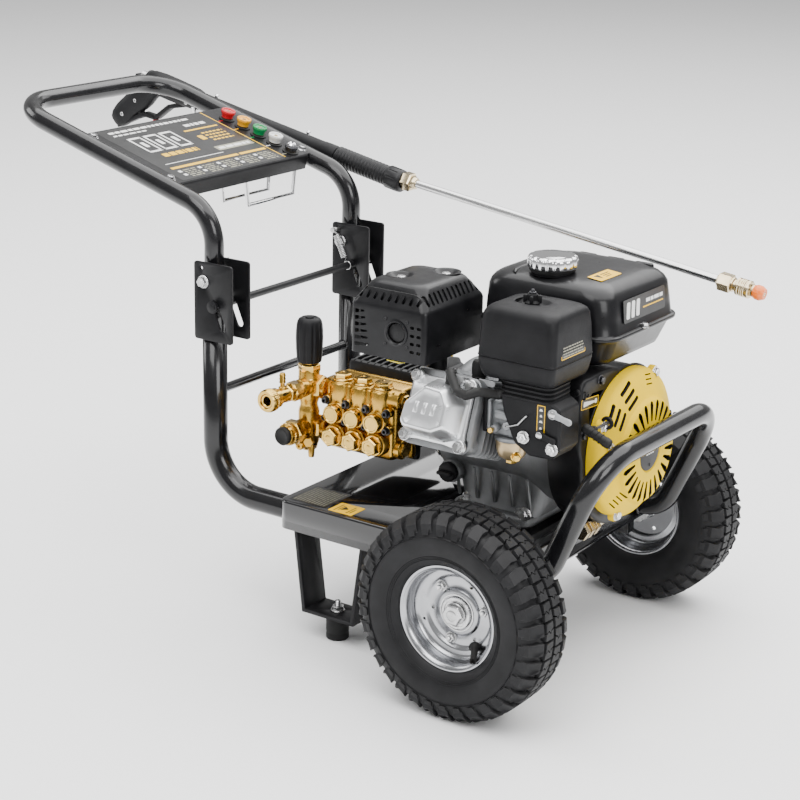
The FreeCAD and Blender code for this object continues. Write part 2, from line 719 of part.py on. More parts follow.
def spare_nozzles():
    """Quick-change nozzles, one for each spray pattern."""
    points = [("0", "-12"), ("nozzle_stem - 1", "-12"), ("nozzle_stem", "-11"),
              ("nozzle_stem", "sheet_steel + 2.3"),
              ("8", "sheet_steel + 2.3"), ("8", "9"), ("10.3", "13"), ("10.3", "16"), ("9", "17"), ("0",
                                                                                                    "17")]
    for colour, x in zip(("red", "yellow", "green", "white", "black"), nozzle_places()):
        piece(f"nozzle_{colour}", turned("nozzle_body", points, on_panel(x, "nozzle_y", 6), handle_turn()))


def wire_hooks():
    """Two U-shaped hose hooks under the panel and two cradles for the gun."""
    wires = []
    for x in ("panel_front - 14", "panel_front - 58"):
        under = f"{handle_height(x)} + 5.2"
        corners = [("hook_near", under), ("hook_near", "hook_low"), ("hook_far", "hook_low"),
                   ("hook_far", under)]
        wires.append(bar_along([point(x, y, z) for y, z in corners], [9, 9], "hook_wire"))
    for x in ("-560", "-730"):
        low = f"{gun_height(x)} - 30"
        top = f"{handle_height(x)} - handle_tube - 1.5"
        corners = [("post_y", top), ("post_y", low), ("gun_y + 22", low),
                   ("gun_y + 22", f"{gun_height(x)} + 8")]
        wires.append(bar_along([point(x, y, z) for y, z in corners], [6, 8], "hook_wire"))
    return piece("wire_hooks", *wires)


# ---------------------------------------------------------------- spray gun

def gun_height(x):
    """Height of the gun's axis over a place along X."""
    return f"gun_z - (({x}) - gun_x)*{math.tan(math.radians(cell('gun_slope'))):.6f}"


def on_gun(distance):
    """A place on the gun's axis, counted forwards from its reference point."""
    angle = math.radians(cell("gun_slope"))
    return [f"gun_x + {distance * math.cos(angle):.4f}", "gun_y", f"gun_z - {distance * math.sin(angle):.4f}"]


def gun_turn():
    """Turns Z to the gun's forward direction."""
    return Rotation(Vector(0, 1, 0), 90 + cell("gun_slope"))


def on_lance(distance):
    """A place on the lance's axis, counted forwards from its start."""
    angle = math.radians(cell("lance_slope"))
    return [f"lance_x + {distance * math.cos(angle):.4f}", "gun_y",
            f"lance_z - {distance * math.sin(angle):.4f}"]


def lance_turn():
    """Turns Z to the lance's forward direction."""
    return Rotation(Vector(0, 1, 0), 90 + cell("lance_slope"))


def gun_outline(name, corners, depth):
    """A flat shape of the gun from corners counted from its reference point."""
    points = [(f"gun_x + {x}", f"gun_z + {z}") for x, z in corners]
    return profiled(name, "XZ_Plane", points, depth, ["0", "gun_y", "0"])


def gun_body():
    """Valve housing, pistol grip, trigger guard and the barrel that carries the sleeve."""
    turn = gun_turn()
    grip = gun_outline("grip_body", [(-105, 34), (-150, 44), (-160, 30), (-222, -52), (-196, -70),
                                     (-128, 6)], "26")
    grip = rounded(grip, 6, lambda way, middle: not sideways(way, middle))
    housing = rod("16", "100", on_gun(-140), turn)
    barrel = rod("13", "256", on_gun(-42), turn)
    core = rod("9", "118", on_gun(212), turn)
    guard_points = [point(f"gun_x + {x}", "gun_y", f"gun_z + {z}") for x,
                    z in ((-70, 2), (-98, -62), (-203, -74))]
    guard = bar_along(guard_points, [22], "4")
    ears = [box(["16", "2.5", "22"], ["gun_x - 100", f"gun_y + {side}*7.8", "gun_z + 1"]) for side in (-1, 1)]
    pin = rod("2", "18", ["gun_x - 100", "gun_y - 9", "gun_z - 3.5"], "Y")
    return piece("gun_body", fuse(grip, housing, barrel, core, guard, *ears, pin))


def gun_trigger():
    """The trigger lever, which turns on the pin between the ears."""
    blade = gun_outline("blade_body", [(-97, -7), (-104, -1), (-158, -48), (-150, -56)], "10")
    hub = rod("4.5", "12", ["gun_x - 100", "gun_y - 6", "gun_z - 3.5"], "Y")
    bore = rod("2.05", "20", ["gun_x - 100", "gun_y - 10", "gun_z - 3.5"], "Y")
    return piece("gun_trigger", cut(fuse(blade, hub), bore))


def gun_sleeve():
    """The ribbed fore grip with its front collar."""
    ribs = 16
    pitch = 5.6
    points = [("9", "0")]
    for index in range(ribs):
        start = index * pitch
        points += [("14", f"{start:.2f}"), ("14", f"{start + 3.4:.2f}"), ("12.4", f"{start + 3.4:.2f}"),
                   ("12.4", f"{start + pitch:.2f}")]
    end = ribs * pitch
    points += [("16", f"{end:.2f}"), ("16", f"{end + 22:.2f}"), ("14", f"{end + 26:.2f}"),
               ("9", f"{end + 26:.2f}")]
    return piece("gun_sleeve", turned("sleeve_body", points, on_gun(214), gun_turn()))


def lance():
    """The lance tube between its hexagonal nut and the quick coupling at its tip."""
    turn = lance_turn()
    tube = rod("lance_radius", "lance_length", on_lance(0), turn)
    end = cell("lance_length")
    nut = fuse(hexagon("12", "14", on_lance(-9), turn), cone("10", "7.5", "8", on_lance(5), turn))
    base = fuse(hexagon("11", "20", on_lance(end - 2), turn), rod("7", "24", on_lance(end + 18), turn))
    socket = rod("nozzle_stem + 0.05", "30", on_lance(end + 26), turn)
    return piece("lance", cut(fuse(tube, nut, base), socket))


def tip_sleeve():
    """The sliding release collar of the lance's coupling."""
    start = cell("lance_length") + 22.5
    ring_body = rod("11.5", "19", on_lance(start), lance_turn())
    return piece("tip_sleeve", cut(ring_body, rod("7.3", "30", on_lance(start - 5), lance_turn())))


def tip_nozzle():
    """The nozzle in the lance's coupling."""
    points = [("0", "0"), ("nozzle_stem", "0"), ("nozzle_stem", "16"), ("8", "16"), ("8", "20"),
              ("9.6", "23"),
              ("9.6", "29"), ("7", "34"), ("0", "34")]
    return piece("tip_nozzle", turned("tip_body", points, on_lance(cell("lance_length") + 26.5),
                                      lance_turn()))


# ---------------------------------------------------------------- engine

def tilted(distance, side="0"):
    """A place on the inclined cylinder's axis, counted from the crankshaft."""
    angle = math.radians(cell("cylinder_tilt"))
    return [f"cylinder_x + {side}", f"crank_y - {distance * math.cos(angle):.4f}",
            f"crank_z + {distance * math.sin(angle):.4f}"]


def tilt_turn():
    """Turns Z to the cylinder's outward direction."""
    return Rotation(Vector(1, 0, 0), 90 - cell("cylinder_tilt"))


def crankcase():
    """The engine's block with its base flange, bored for the crankshaft."""
    flange = slab(["bolt_back - 18", "bolt_near - 17", "tray_top"],
                  ["bolt_back + bolt_pitch + 18", "bolt_near + bolt_span + 17", "tray_top + 16"])
    flange = rounded(flange, 10, upright)
    drum = rod("80", "engine_front - engine_back", ["engine_back", "crank_y", "crank_z"], "X")
    sump = rounded(slab(["engine_back + 6", "-66", "tray_top + 10"],
                        ["engine_front - 4", "100", "crank_z"]), 14, upright)
    boss = rod("15", "14", ["engine_back + 22", "-64", "236"], "-Y")
    mount = slab(["-60", "20", "crank_z + 40"], ["-36", "70", "tank_low"])
    shelf = slab(["-4", "20", "crank_z + 40"], ["18", "70", "tank_low"])
    bore = rod("13", "engine_front - engine_back + 20", ["engine_back - 10", "crank_y", "crank_z"], "X")
    holes = [rod("4", "40", [x, y, "tray_top - 10"]) for x, y in engine_bolt_places()]
    access = [rod("9", "60", [x, y, "tray_top + 16"]) for x, y in engine_bolt_places()]
    filler = rod("9", "30", ["engine_back + 22", "-54", "236"], "-Y")
    return piece("crankcase", cut(fuse(flange, drum, sump, boss, mount, shelf), bore, filler, *holes,
                                  *access))


def cylinder():
    """The finned cylinder and head, inclined towards the near side, with the spark plug boss."""
    turn = tilt_turn()
    barrel = rod("38", "118", tilted(64), turn)
    fins = [box(["104", "92", "3"], tilted(90 + 9 * index), turn) for index in range(9)]
    head = box(["96", "92", "14"], tilted(181), turn)
    boss = rod("8", "26", ["cylinder_x + 26", "crank_y - 136", "crank_z + 74"])
    intake = rod("13", "26", ["cylinder_x + 30", "crank_y - 140", "crank_z + 60"], "X")
    crank_drum = rod("80", "200", ["engine_back - 10", "crank_y", "crank_z"], "X")
    sump = slab(["engine_back + 6", "-66", "tray_top + 10"], ["engine_front - 4", "100", "crank_z"])
    return piece("cylinder", cut(fuse(barrel, *fins, head, boss, intake), crank_drum, sump))


def head_cover():
    """The cast cover over the valves."""
    turn = tilt_turn()
    outward = turn.multVec(Vector(0, 0, 1))

    def corner(way, middle):
        return abs(way.dot(outward)) > 0.99

    flange = rounded(box(["94", "88", "7"], tilted(191.5), turn), 10, corner)
    dome = rounded(box(["66", "64", "28"], tilted(209), turn), 9, corner)
    return piece("head_cover", fuse(flange, dome))


def fan_housing():
    """The drum round the flywheel with the flange for the recoil cover and its intake shroud."""
    drum = rod("fan_radius", "cover_back - fan_back", ["fan_back", "fan_y", "fan_z"], "X")
    shroud = rounded(slab(["fan_back + 4", "-108", "crank_z + 20"], ["cover_back - 2", "-20", "400"]), 8,
                     lengthwise)
    inside = rod("fan_radius - 3", "cover_back - fan_back - 6", ["fan_back + 3", "fan_y", "fan_z"], "X")
    mouth = rod("fan_radius - 16", "60", ["fan_back + 3", "fan_y", "fan_z"], "X")
    hole = rod("14", "20", ["fan_back - 5", "crank_y", "crank_z"], "X")
    pin = rod("2.5", "6", ["58", "-107", "372"], "-Y")
    return piece("fan_housing", cut(fuse(drum, shroud, pin), inside, mouth, hole))


def recoil_cover():
    """The domed starter cover with its ring of cooling slots and the rope's outlet."""
    rim_r = cell("cover_radius")
    deep = cell("cover_front") - cell("cover_back")
    middle = ["cover_back", "cover_y", "cover_z"]
    points = [(f"{rim_r}", "0"), (f"{rim_r}", f"{deep - 20}"), (f"{rim_r - 12}", f"{deep - 4}"),
              (f"{rim_r - 38}", f"{deep}"), ("0", f"{deep}"), ("0", f"{deep - 3}"),
              (f"{rim_r - 39}", f"{deep - 3}"), (f"{rim_r - 14}", f"{deep - 7}"),
              (f"{rim_r - 3}", f"{deep - 22}"), (f"{rim_r - 3}", "0")]
    shell = turned("recoil_shell", points, middle, "X")

    def vent(angle):
        turn = Rotation(Vector(1, 0, 0), angle + 7)
        out = turn.multVec(Vector(0, rim_r * 0.66, 0))
        spot = ["cover_front - 2", f"cover_y + {out.y:.4f}", f"cover_z + {out.z:.4f}"]
        return box(["20", "32", "4.5"], spot, turn)

    outlet = rod("4", "60", ["rope_x", "cover_y - 50", "rope_z"], "-Y")
    return piece("recoil_cover", cut(shell, outlet, *polar(vent, 24)))


def crankshaft():
    """The crankshaft through the pump and the engine, with the flywheel at its front end."""
    rear = "pump_x - pump_width/2 + 12"
    shaft = rod("12", f"fan_back + 40 - ({rear})", [rear, "crank_y", "crank_z"], "X")
    flywheel = rod("86", "24", ["fan_back + 12", "crank_y", "crank_z"], "X")
    rim_cut = rod("62", "14", ["fan_back + 26", "crank_y", "crank_z"], "X")
    return piece("crankshaft", fuse(shaft, cut(flywheel, rim_cut)))


def starter_pulley():
    """The rope pulley behind the starter cover."""
    wheel_body = [("0", "0"), ("42", "0"), ("42", "3"), ("36", "5"), ("36", "9"), ("42", "11"),
                  ("42", "14"), ("0", "14")]
    return piece("starter_pulley", turned("pulley_body", wheel_body,
                                          ["cover_back + 4", "crank_y", "crank_z"], "X"))


def starter_grip():
    """The pull handle of the recoil starter, a short bar across the rope."""
    turn = Rotation(Vector(0, 1, 0), 22)
    bar = box(["40", "11", "12"], ["rope_x + 9", "-118.5", "rope_z - 3.6"], turn)
    bar = rounded(bar, 4, lambda way, middle: sideways(way, middle))
    return piece("starter_grip", fuse(bar, rod("5", "9", ["rope_x", "-106.5", "rope_z"], "-Y")))


def starter_rope():
    """The short length of rope between the cover's outlet and the grip."""
    return piece("starter_rope", rod("2", "38", ["rope_x", "-68", "rope_z"], "-Y"))


def muffler(engine_cylinder):
    """The muffler's box and its pipe down to the exhaust port."""
    can = slab(["muffler_back + 9", "muffler_near + 10", "muffler_low + 7"],
               ["muffler_front - 9", "muffler_far - 10", "muffler_top - 10"])
    can = rounded(can, 16, sideways)
    outlet = rod("11", "9", ["muffler_front - 42", "muffler_near + 11", "436"], "-Y")
    pipe = rod("13", "70", ["cylinder_x - 44", "crank_y - 120", "muffler_low - 50"])
    return piece("muffler", cut(fuse(can, outlet, pipe), shape_of(engine_cylinder)))


def muffler_shield():
    """The pressed heat shield over the muffler, with louvres and slots."""
    def roof(way, middle):
        return not upright(way, middle) and middle.z > cell("muffler_top") - 3

    outer = slab(["muffler_back", "muffler_near", "muffler_low"],
                 ["muffler_front", "muffler_far", "muffler_top"])
    outer = rounded(outer, 12, roof)
    inner = slab(["muffler_back + 2", "muffler_near + 2", "muffler_low - 2"],
                 ["muffler_front - 2", "muffler_far - 2", "muffler_top - 2"])
    inner = rounded(inner, 10, roof)
    louvres = [slab(["muffler_back - 2", f"muffler_near + {16 + 13 * index}", "muffler_low + 14"],
                    ["muffler_back + 4", f"muffler_near + {21 + 13 * index}",
                     "muffler_top - 22"]) for index in range(9)]
    slots = [slab([f"muffler_back + {16 + 9 * index}", "muffler_near - 2", "muffler_top - 14"],
                  [f"muffler_back + {20 + 9 * index}", "muffler_near + 14",
                   "muffler_top + 2"]) for index in range(9)]
    outlet = rod("14", "10", ["muffler_front - 42", "muffler_near + 5", "436"], "-Y")
    return piece("muffler_shield", cut(outer, inner, outlet, *louvres, *slots))


def carburettor():
    """The carburettor's body on the intake port, with its float bowl."""
    body = rounded(slab(["-14", "-160", "324"], ["28", "-122", "401.5"]), 4, upright)
    bowl = fuse(rod("19", "18", ["8", "-141", "306"]), cone("15", "19", "7", ["8", "-141", "299"]))
    return piece("carburettor", fuse(body, bowl, rod("4", "6", ["8", "-141", "295"])))


def air_cleaner_base():
    """The air cleaner's tray, its elbow and the control cover with the lever pivots."""
    pan = rounded(slab(["air_x - 42", "air_y - 46", "402"], ["air_x + 50", "air_y + 44", "air_low - 0.5"]),
                  8, upright)
    elbow = rounded(slab(["30", "-168", "318"], ["86", "-121", "402"]), 6, sideways)
    stud = rod("3", "74", ["air_x", "air_y", "air_low - 4"])
    pins = [rod("2.5", "6", [x, "-167", z], "-Y") for x, z in (("78", "374"), ("62", "346"))]
    return piece("air_cleaner_base", fuse(pan, elbow, stud, *pins))


def air_filter():
    """The filter element inside the air cleaner."""
    block = rounded(slab(["air_x - 34", "air_y - 36", "air_low - 0.5"],
                         ["air_x + 36", "air_y + 36", "air_low + 36"]), 12, upright)
    return piece("air_filter", cut(block, rod("20", "60", ["air_x", "air_y", "air_low - 5"])))


def air_cleaner_cover():
    """The deep cover over the filter, held by one knob."""
    outer = slab(["air_x - 46", "air_y - 49", "air_low"], ["air_x + 60", "air_y + 48", "air_top"])
    outer = rounded(outer, 12, lambda way, middle: upright(way, middle) or middle.z > cell("air_top") - 1)
    inner = slab(["air_x - 43.5", "air_y - 46.5", "air_low - 1"],
                 ["air_x + 57.5", "air_y + 45.5", "air_top - 2.5"])
    inner = rounded(inner, 9.5, upright)
    return piece("air_cleaner_cover", cut(outer, inner, rod("3.5", "20", ["air_x", "air_y", "air_top - 10"])))


def air_cleaner_knob():
    """The knob on top of the air cleaner."""
    points = [("3.1", "0"), ("9", "0"), ("11", "3"), ("11", "11"), ("9", "14"), ("0", "14"), ("0", "11"),
              ("3.1", "11")]
    return piece("air_cleaner_knob", turned("knob_body", points, ["air_x", "air_y", "air_top + 0.3"]))


def fuel_tank():
    """The pressed fuel tank with its seam and filler neck, hollow for the fuel."""
    def block(shrink):
        low = [f"tank_back + {shrink}", f"tank_near + {shrink}", f"tank_low + {shrink}"]
        high = [f"tank_front - {shrink}", f"tank_far - {shrink}", f"tank_top - {shrink}"]
        blank = rounded(slab(low, high), 26 - shrink, upright)
        return rounded(blank, 14 - shrink, lambda way, middle: not upright(way, middle))

    seam = slab(["tank_back - 5", "tank_near - 5", "tank_seam"],
                ["tank_front + 5", "tank_far + 5", "tank_seam + 4"])
    seam = rounded(seam, 28, upright)
    neck = rod("neck_radius + 3", "17", ["cap_x", "cap_y", "tank_top - 2"])
    bore = rod("neck_radius", "40", ["cap_x", "cap_y", "tank_top - 20"])
    return piece("fuel_tank", cut(fuse(block(0), seam, neck), block(3), bore))


def fuel_cap():
    """The knurled tank cap, which sits over the neck."""
    points = [("0", "16"), ("neck_radius + 3.6", "16"), ("neck_radius + 3.6", "2"), ("cap_radius - 1", "2"),
              ("cap_radius", "4"), ("cap_radius", "18"), ("cap_radius - 3", "22"), ("0", "22")]
    return piece("fuel_cap", turned("cap_body", points, ["cap_x", "cap_y", "tank_top"]))


def spark_lead():
    """The spark plug's cap and its lead to the ignition coil behind the shroud."""
    cap = rod("8.5", "23", ["cylinder_x + 26", "crank_y - 136", "crank_z + 100"])
    route = [point(*spot) for spot in (("cylinder_x + 33", "-138", "402"), ("cylinder_x + 48", "-137", "396"),
                                       ("cylinder_x + 52", "-113", "389"), ("cylinder_x + 74", "-101", "387"),
                                       ("fan_back + 3.7", "-101", "387"))]
    wire = bar_along(route, cord_bends(route), "2.6")
    return piece("spark_lead", fuse(cap, wire))


def oil_filler_cap():
    """The oil filler cap low on the crankcase."""
    points = [("0", "-10"), ("8.94", "-10"), ("8.94", "0.3"), ("13", "0.3"), ("13", "8"), ("11", "10"),
              ("0", "10")]
    return piece("oil_filler_cap", turned("filler_body", points, ["engine_back + 22", "-78", "236"], "-Y"))


def lever(label, x, z, front, reach, rise):
    """A flat control lever on a pivot along Y, with its arm at an angle above +X."""
    turn = Rotation(Vector(0, 1, 0), -rise)
    middle = turn.multVec(Vector(reach / 2, 0, 0))
    hub = rod("6", "3.4", [x, front, z], "-Y")
    arm = box([f"{reach}", "3.4", "8"], [f"{x} + {middle.x:.4f}", f"{front} - 1.7",
                                         f"{z} + {middle.z:.4f}"], turn)
    bore = rod("2.55", "12", [x, f"{front} + 4", z], "-Y")
    return piece(label, cut(fuse(hub, arm), bore))


# ---------------------------------------------------------------- pump

def pump_rows():
    """The three plungers' places along X, as formulas."""
    return [f"pump_x + {step}*pump_pitch" for step in (-1, 0, 1)]


def pump_crankcase():
    """The pump's finned crankcase and the flange that carries it on the engine."""
    block = slab(["pump_x - pump_width/2", "head_face + 62", "crank_z - 52"],
                 ["pump_x + pump_width/2", "62", "crank_z + 55"])
    block = rounded(block, 10, sideways)
    fins = [box(["3", "104", "8"], [f"pump_x + {(index - 4.5) * 10.5}", "4",
                                    "crank_z + 57"]) for index in range(10)]
    flange = rod("66", "engine_back - pump_x - pump_width/2",
                 ["pump_x + pump_width/2", "crank_y", "crank_z"], "X")
    bore = rod("13", "300", ["pump_x - pump_width/2 + 8", "crank_y", "crank_z"], "X")
    return piece("pump_crankcase", cut(fuse(block, flange, *fins), bore))


def pump_head():
    """The forged brass head of the pump, with its plug."""
    block = slab(["pump_x - pump_width/2", "head_face", "crank_z - 50"],
                 ["pump_x + pump_width/2", "head_face + 62", "crank_z + 50"])
    block = rounded(block, 5, sideways)
    plug = hexagon("9", "10", ["pump_x + pump_width/2", "head_face + 20", "crank_z + 34"], "X")
    return piece("pump_head", fuse(block, plug))


def pump_caps():
    """Nine valve and plunger caps screwed into the head."""
    caps = []
    for x in pump_rows():
        caps.append(hexagon("11.5", "11", [x, "head_face + 18", "crank_z + 50"]))
        caps.append(rod("12", "10", [x, "head_face", "crank_z + 5"], "-Y"))
        caps.append(hexagon("12.5", "14", [x, "head_face", "crank_z - 25"], "-Y"))
    return piece("pump_caps", *caps)


def unloader_body():
    """The unloader valve beside the head, with the inlet and the outlet ports."""
    column = rod("14", "118", ["valve_x", "valve_y", "232"])
    arms = [slab(["valve_x", "valve_y - 10", z],
                 ["pump_x - pump_width/2", "valve_y + 16", f"{z} + 26"]) for z in ("304", "250")]
    outlet = rod("12", "16", ["valve_x", "valve_y - 6", "outlet_z"], "-Y")
    inlet = rod("13", "52", ["valve_x", "valve_y", "inlet_z"], "-Y")
    bore = rod("8", "40", ["valve_x", "valve_y - 20", "inlet_z"], "-Y")
    stub = rod("6", "14", ["valve_x", "valve_y - 8", "241"], "-Y")
    return piece("unloader_body", cut(fuse(column, *arms, outlet, inlet, stub), bore))


def unloader_knob():
    """The pressure knob on top of the unloader."""
    points = [("0", "0.3"), ("15", "0.3"), ("18", "4"), ("18", "46"), ("16", "54"), ("11", "59"), ("0", "60")]
    return piece("unloader_knob", turned("unloader_knob_body", points, ["valve_x", "valve_y", "350"]))


def outlet_coupler():
    """The outlet with its chemical injector, hose barb and quick coupling socket."""
    y = "valve_y - 22"
    hexed = hexagon("13", "26", ["valve_x", y, "outlet_z"], "-Y")
    barrel = rod("9", "66", ["valve_x", y, "outlet_z"], "-Y")
    barb = fuse(rod("3", "26", ["valve_x", "valve_y - 56", "outlet_z"]),
                cone("4.4", "3", "6", ["valve_x", "valve_y - 56", "outlet_z + 20"]))
    socket = rod("6.1", "40", ["valve_x", "valve_y - 58", "outlet_z"], "-Y")
    return piece("outlet_coupler", cut(fuse(hexed, barrel, barb), socket))


def coupler_collar():
    """The sliding collar of the outlet's quick coupling."""
    points = [("9.3", "0"), ("13", "0"), ("13", "8"), ("15", "10"), ("15", "18"), ("13.5", "21"),
              ("9.3", "21")]
    return piece("coupler_collar", turned("collar_body", points, ["valve_x", "valve_y - 69", "outlet_z"],
                                          "-Y"))


def inlet_plug():
    """The plug in the water inlet."""
    points = [("0", "-14"), ("7.94", "-14"), ("7.94", "0.3"), ("12", "0.3"), ("12", "5"), ("10", "7"),
              ("0", "7")]
    return piece("inlet_plug", turned("plug_body", points, ["valve_x", "valve_y - 52", "inlet_z"], "-Y"))


# ---------------------------------------------------------------- assembly

def build():
    """Make every node of the machine."""
    frame_tubes()
    front_bumper()
    tray()
    fold_brackets()
    stand_legs()
    stand_feet()
    axle()
    frame_bolts()
    lock_bar()
    lock_springs()
    wheel(-1)
    wheel(1)
    handle_tube()
    nozzle_panel()
    nozzle_grommets()
    spare_nozzles()
    wire_hooks()
    gun_body()
    gun_trigger()
    gun_sleeve()
    lance()
    tip_sleeve()
    tip_nozzle()
    crankcase()
    engine_cylinder = cylinder()
    head_cover()
    fan_housing()
    recoil_cover()
    crankshaft()
    starter_pulley()
    starter_grip()
    starter_rope()
    muffler(engine_cylinder)
    muffler_shield()
    carburettor()
    air_cleaner_base()
    air_filter()
    air_cleaner_cover()
    air_cleaner_knob()
    fuel_tank()
    fuel_cap()
    spark_lead()
    oil_filler_cap()
    lever("choke_lever", "78", "374", "-168.3", 24, 0)
    lever("fuel_lever", "62", "346", "-168.3", 24, 0)
    lever("throttle_lever", "58", "372", "-108.3", 36, 35)
    pump_crankcase()
    pump_head()
    pump_caps()
    unloader_body()
    unloader_knob()
    outlet_coupler()
    coupler_collar()
    inlet_plug()


def check():
    """Stop if any object failed or any node's shape is unsound."""
    doc.recompute()
    for thing in doc.Objects:
        if "Invalid" in thing.State or "Error" in thing.State:
            raise RuntimeError(f"{thing.Name} did not recompute")
    for node in PIECES:
        if node.Shape.isNull() or not node.Shape.isValid() or not node.Shape.Solids:
            raise RuntimeError(f"{node.Label} has no sound solid")


def export():
    """Write one STEP file for each node."""
    os.makedirs("parts", exist_ok=True)
    for node in PIECES:
        node.Shape.exportStep(os.path.join("parts", node.Label + ".step"))


build()
check()
export()
print(len(PIECES), "nodes")
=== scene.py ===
import math
import random

import bmesh
import bpy
from mathutils import Matrix, Vector


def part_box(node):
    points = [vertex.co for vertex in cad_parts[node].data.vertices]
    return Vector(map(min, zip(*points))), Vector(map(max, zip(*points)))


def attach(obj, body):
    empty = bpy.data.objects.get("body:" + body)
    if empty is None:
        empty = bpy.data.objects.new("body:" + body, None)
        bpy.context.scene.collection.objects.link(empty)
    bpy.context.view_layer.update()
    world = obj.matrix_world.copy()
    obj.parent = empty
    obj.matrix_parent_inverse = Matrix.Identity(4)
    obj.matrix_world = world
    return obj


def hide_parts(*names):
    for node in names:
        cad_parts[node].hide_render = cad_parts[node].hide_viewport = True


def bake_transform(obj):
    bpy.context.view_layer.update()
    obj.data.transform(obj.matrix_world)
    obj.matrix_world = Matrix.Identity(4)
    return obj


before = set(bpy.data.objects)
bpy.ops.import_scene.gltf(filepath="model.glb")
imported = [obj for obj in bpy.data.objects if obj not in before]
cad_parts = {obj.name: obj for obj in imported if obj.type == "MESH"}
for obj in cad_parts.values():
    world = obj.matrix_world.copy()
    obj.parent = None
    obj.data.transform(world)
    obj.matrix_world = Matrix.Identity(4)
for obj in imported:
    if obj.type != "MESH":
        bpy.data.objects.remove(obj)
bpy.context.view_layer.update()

random.seed(7)

# ---------------------------------------------------------------- sizes
# Lengths in this file are millimetres. X counts forwards from the wheel axle, Y from the machine's middle
# towards the side where the gun rests, and Z from the ground.
MM = 0.001
TURN = 2 * math.pi


def middle(node):
    """The middle of a CAD node's box, in metres."""
    low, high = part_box(node)
    return (low + high) / 2


AXLE_X = middle("axle").x


def local_box(node):
    """A CAD node's lowest and highest corner in this file's millimetres."""
    low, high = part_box(node)
    shift = Vector((AXLE_X, 0, 0))
    return (low - shift) / MM, (high - shift) / MM


def to_frame(point):
    """A point of this file, in the frame's metres."""
    return Vector((AXLE_X, 0, 0)) + Vector(point) * MM


TYRE_R = (local_box("tyre_near")[1].z - local_box("tyre_near")[0].z) / 2
TYRE_W = local_box("tyre_near")[1].y - local_box("tyre_near")[0].y
TRACK = 2 * abs(middle("tyre_near").y) / MM
POST_X, POST_Y = -443.0, 149.0
PIVOT_X, PIVOT_Z = -446, 447
SPRING_X, SPRING_Z = -449, 465
STAND_X, STAND_Y = -241, 148
ROPE_X, ROPE_Z = 100, 344.6
FILLER_X, FILLER_Y = -8, -36
CARB_X, CARB_Y = 8, -141
TRAY_TOP = local_box("tray")[1].z
CRANK = Vector((0, -2.0, 287.0))
CYLINDER_X, CYLINDER_TILT = -70.0, math.radians(20)
SLOPE = math.radians(16.1)
KNEE_Z = 534.0
GUN_Y = 181.0
GUN_SLOPE = math.radians(11.4)
LANCE_SLOPE = math.radians(7.6)
VALVE = Vector((-320.0, -108.0, 0))
OUTLET_Z, INLET_Z = 318.0, 263.0
PUMP_FACE = (-185, -2, 287)
SCREW_ROWS = (306, 283)
PUMP_X, PUMP_W, PUMP_PITCH, HEAD_Y = -241.0, 112.0, 31.6, -117.0


# ---------------------------------------------------------------- placing

X, Y, Z = Vector((1, 0, 0)), Vector((0, 1, 0)), Vector((0, 0, 1))


def aim(spot, axis=Z, side=None):
    """A placement whose origin is at spot and whose Z runs along axis; side is where its X points."""
    up = Vector(axis).normalized()
    if side is None:
        side = X if abs(up.x) < 0.9 else Y
    across = Vector(side)
    across = (across - up * across.dot(up)).normalized()
    other = up.cross(across)
    turn = Matrix((across, other, up)).transposed().to_4x4()
    return Matrix.Translation(Vector(spot)) @ turn


def circle(radius, count, start=0.0, z=0.0):
    """Points of a circle round Z."""
    angles = [start + TURN * i / count for i in range(count)]
    return [Vector((radius * math.cos(angle), radius * math.sin(angle), z)) for angle in angles]


def rounded_rectangle(width, height, corner, z=0.0, centre=(0, 0), steps=5):
    """Points of a rectangle with round corners, the same number whatever its size."""
    corner = min(corner, width / 2 - 0.01, height / 2 - 0.01)
    points = []
    for quarter, (sx, sy) in enumerate(((1, 1), (-1, 1), (-1, -1), (1, -1))):
        for step in range(steps + 1):
            angle = (quarter + step / steps) * math.pi / 2
            points.append(Vector((centre[0] + sx * (width / 2 - corner) + corner * math.cos(angle),
                                  centre[1] + sy * (height / 2 - corner) + corner * math.sin(angle), z)))
    return points


def oblong(left, low, right, high):
    """The four corners of a flat patch."""
    return [(left, low), (right, low), (right, high), (left, high)]


def rounded_polygon(corners, radius, steps=4):
    """A flat outline whose corners are rounded; radius is one number or one for each corner."""
    flat = [Vector((x, y)) for x, y in corners]
    radii = radius if isinstance(radius, (list, tuple)) else [radius] * len(flat)
    points = []
    for i, here in enumerate(flat):
        before, after = flat[i - 1], flat[(i + 1) % len(flat)]
        u, v = (before - here).normalized(), (after - here).normalized()
        if radii[i] <= 0:
            points.append(here)
            continue
        half = math.acos(max(-1, min(1, u.dot(v)))) / 2
        reach = min(radii[i] / math.tan(half), (before - here).length * 0.49, (after - here).length * 0.49)
        r = reach * math.tan(half)
        centre = here + (u + v).normalized() * (r / math.sin(half))
        a, b = here + u * reach - centre, here + v * reach - centre
        turn = a.angle_signed(b)
        for step in range(steps + 1):
            angle = -turn * step / steps
            points.append(centre + Vector((a.x * math.cos(angle) - a.y * math.sin(angle),
                                           a.x * math.sin(angle) + a.y * math.cos(angle))))
    return [(p.x, p.y) for p in points]


def middle_of(low, high):
    """The middle in X and Y between two corners."""
    return (low.x + high.x) / 2, (low.y + high.y) / 2


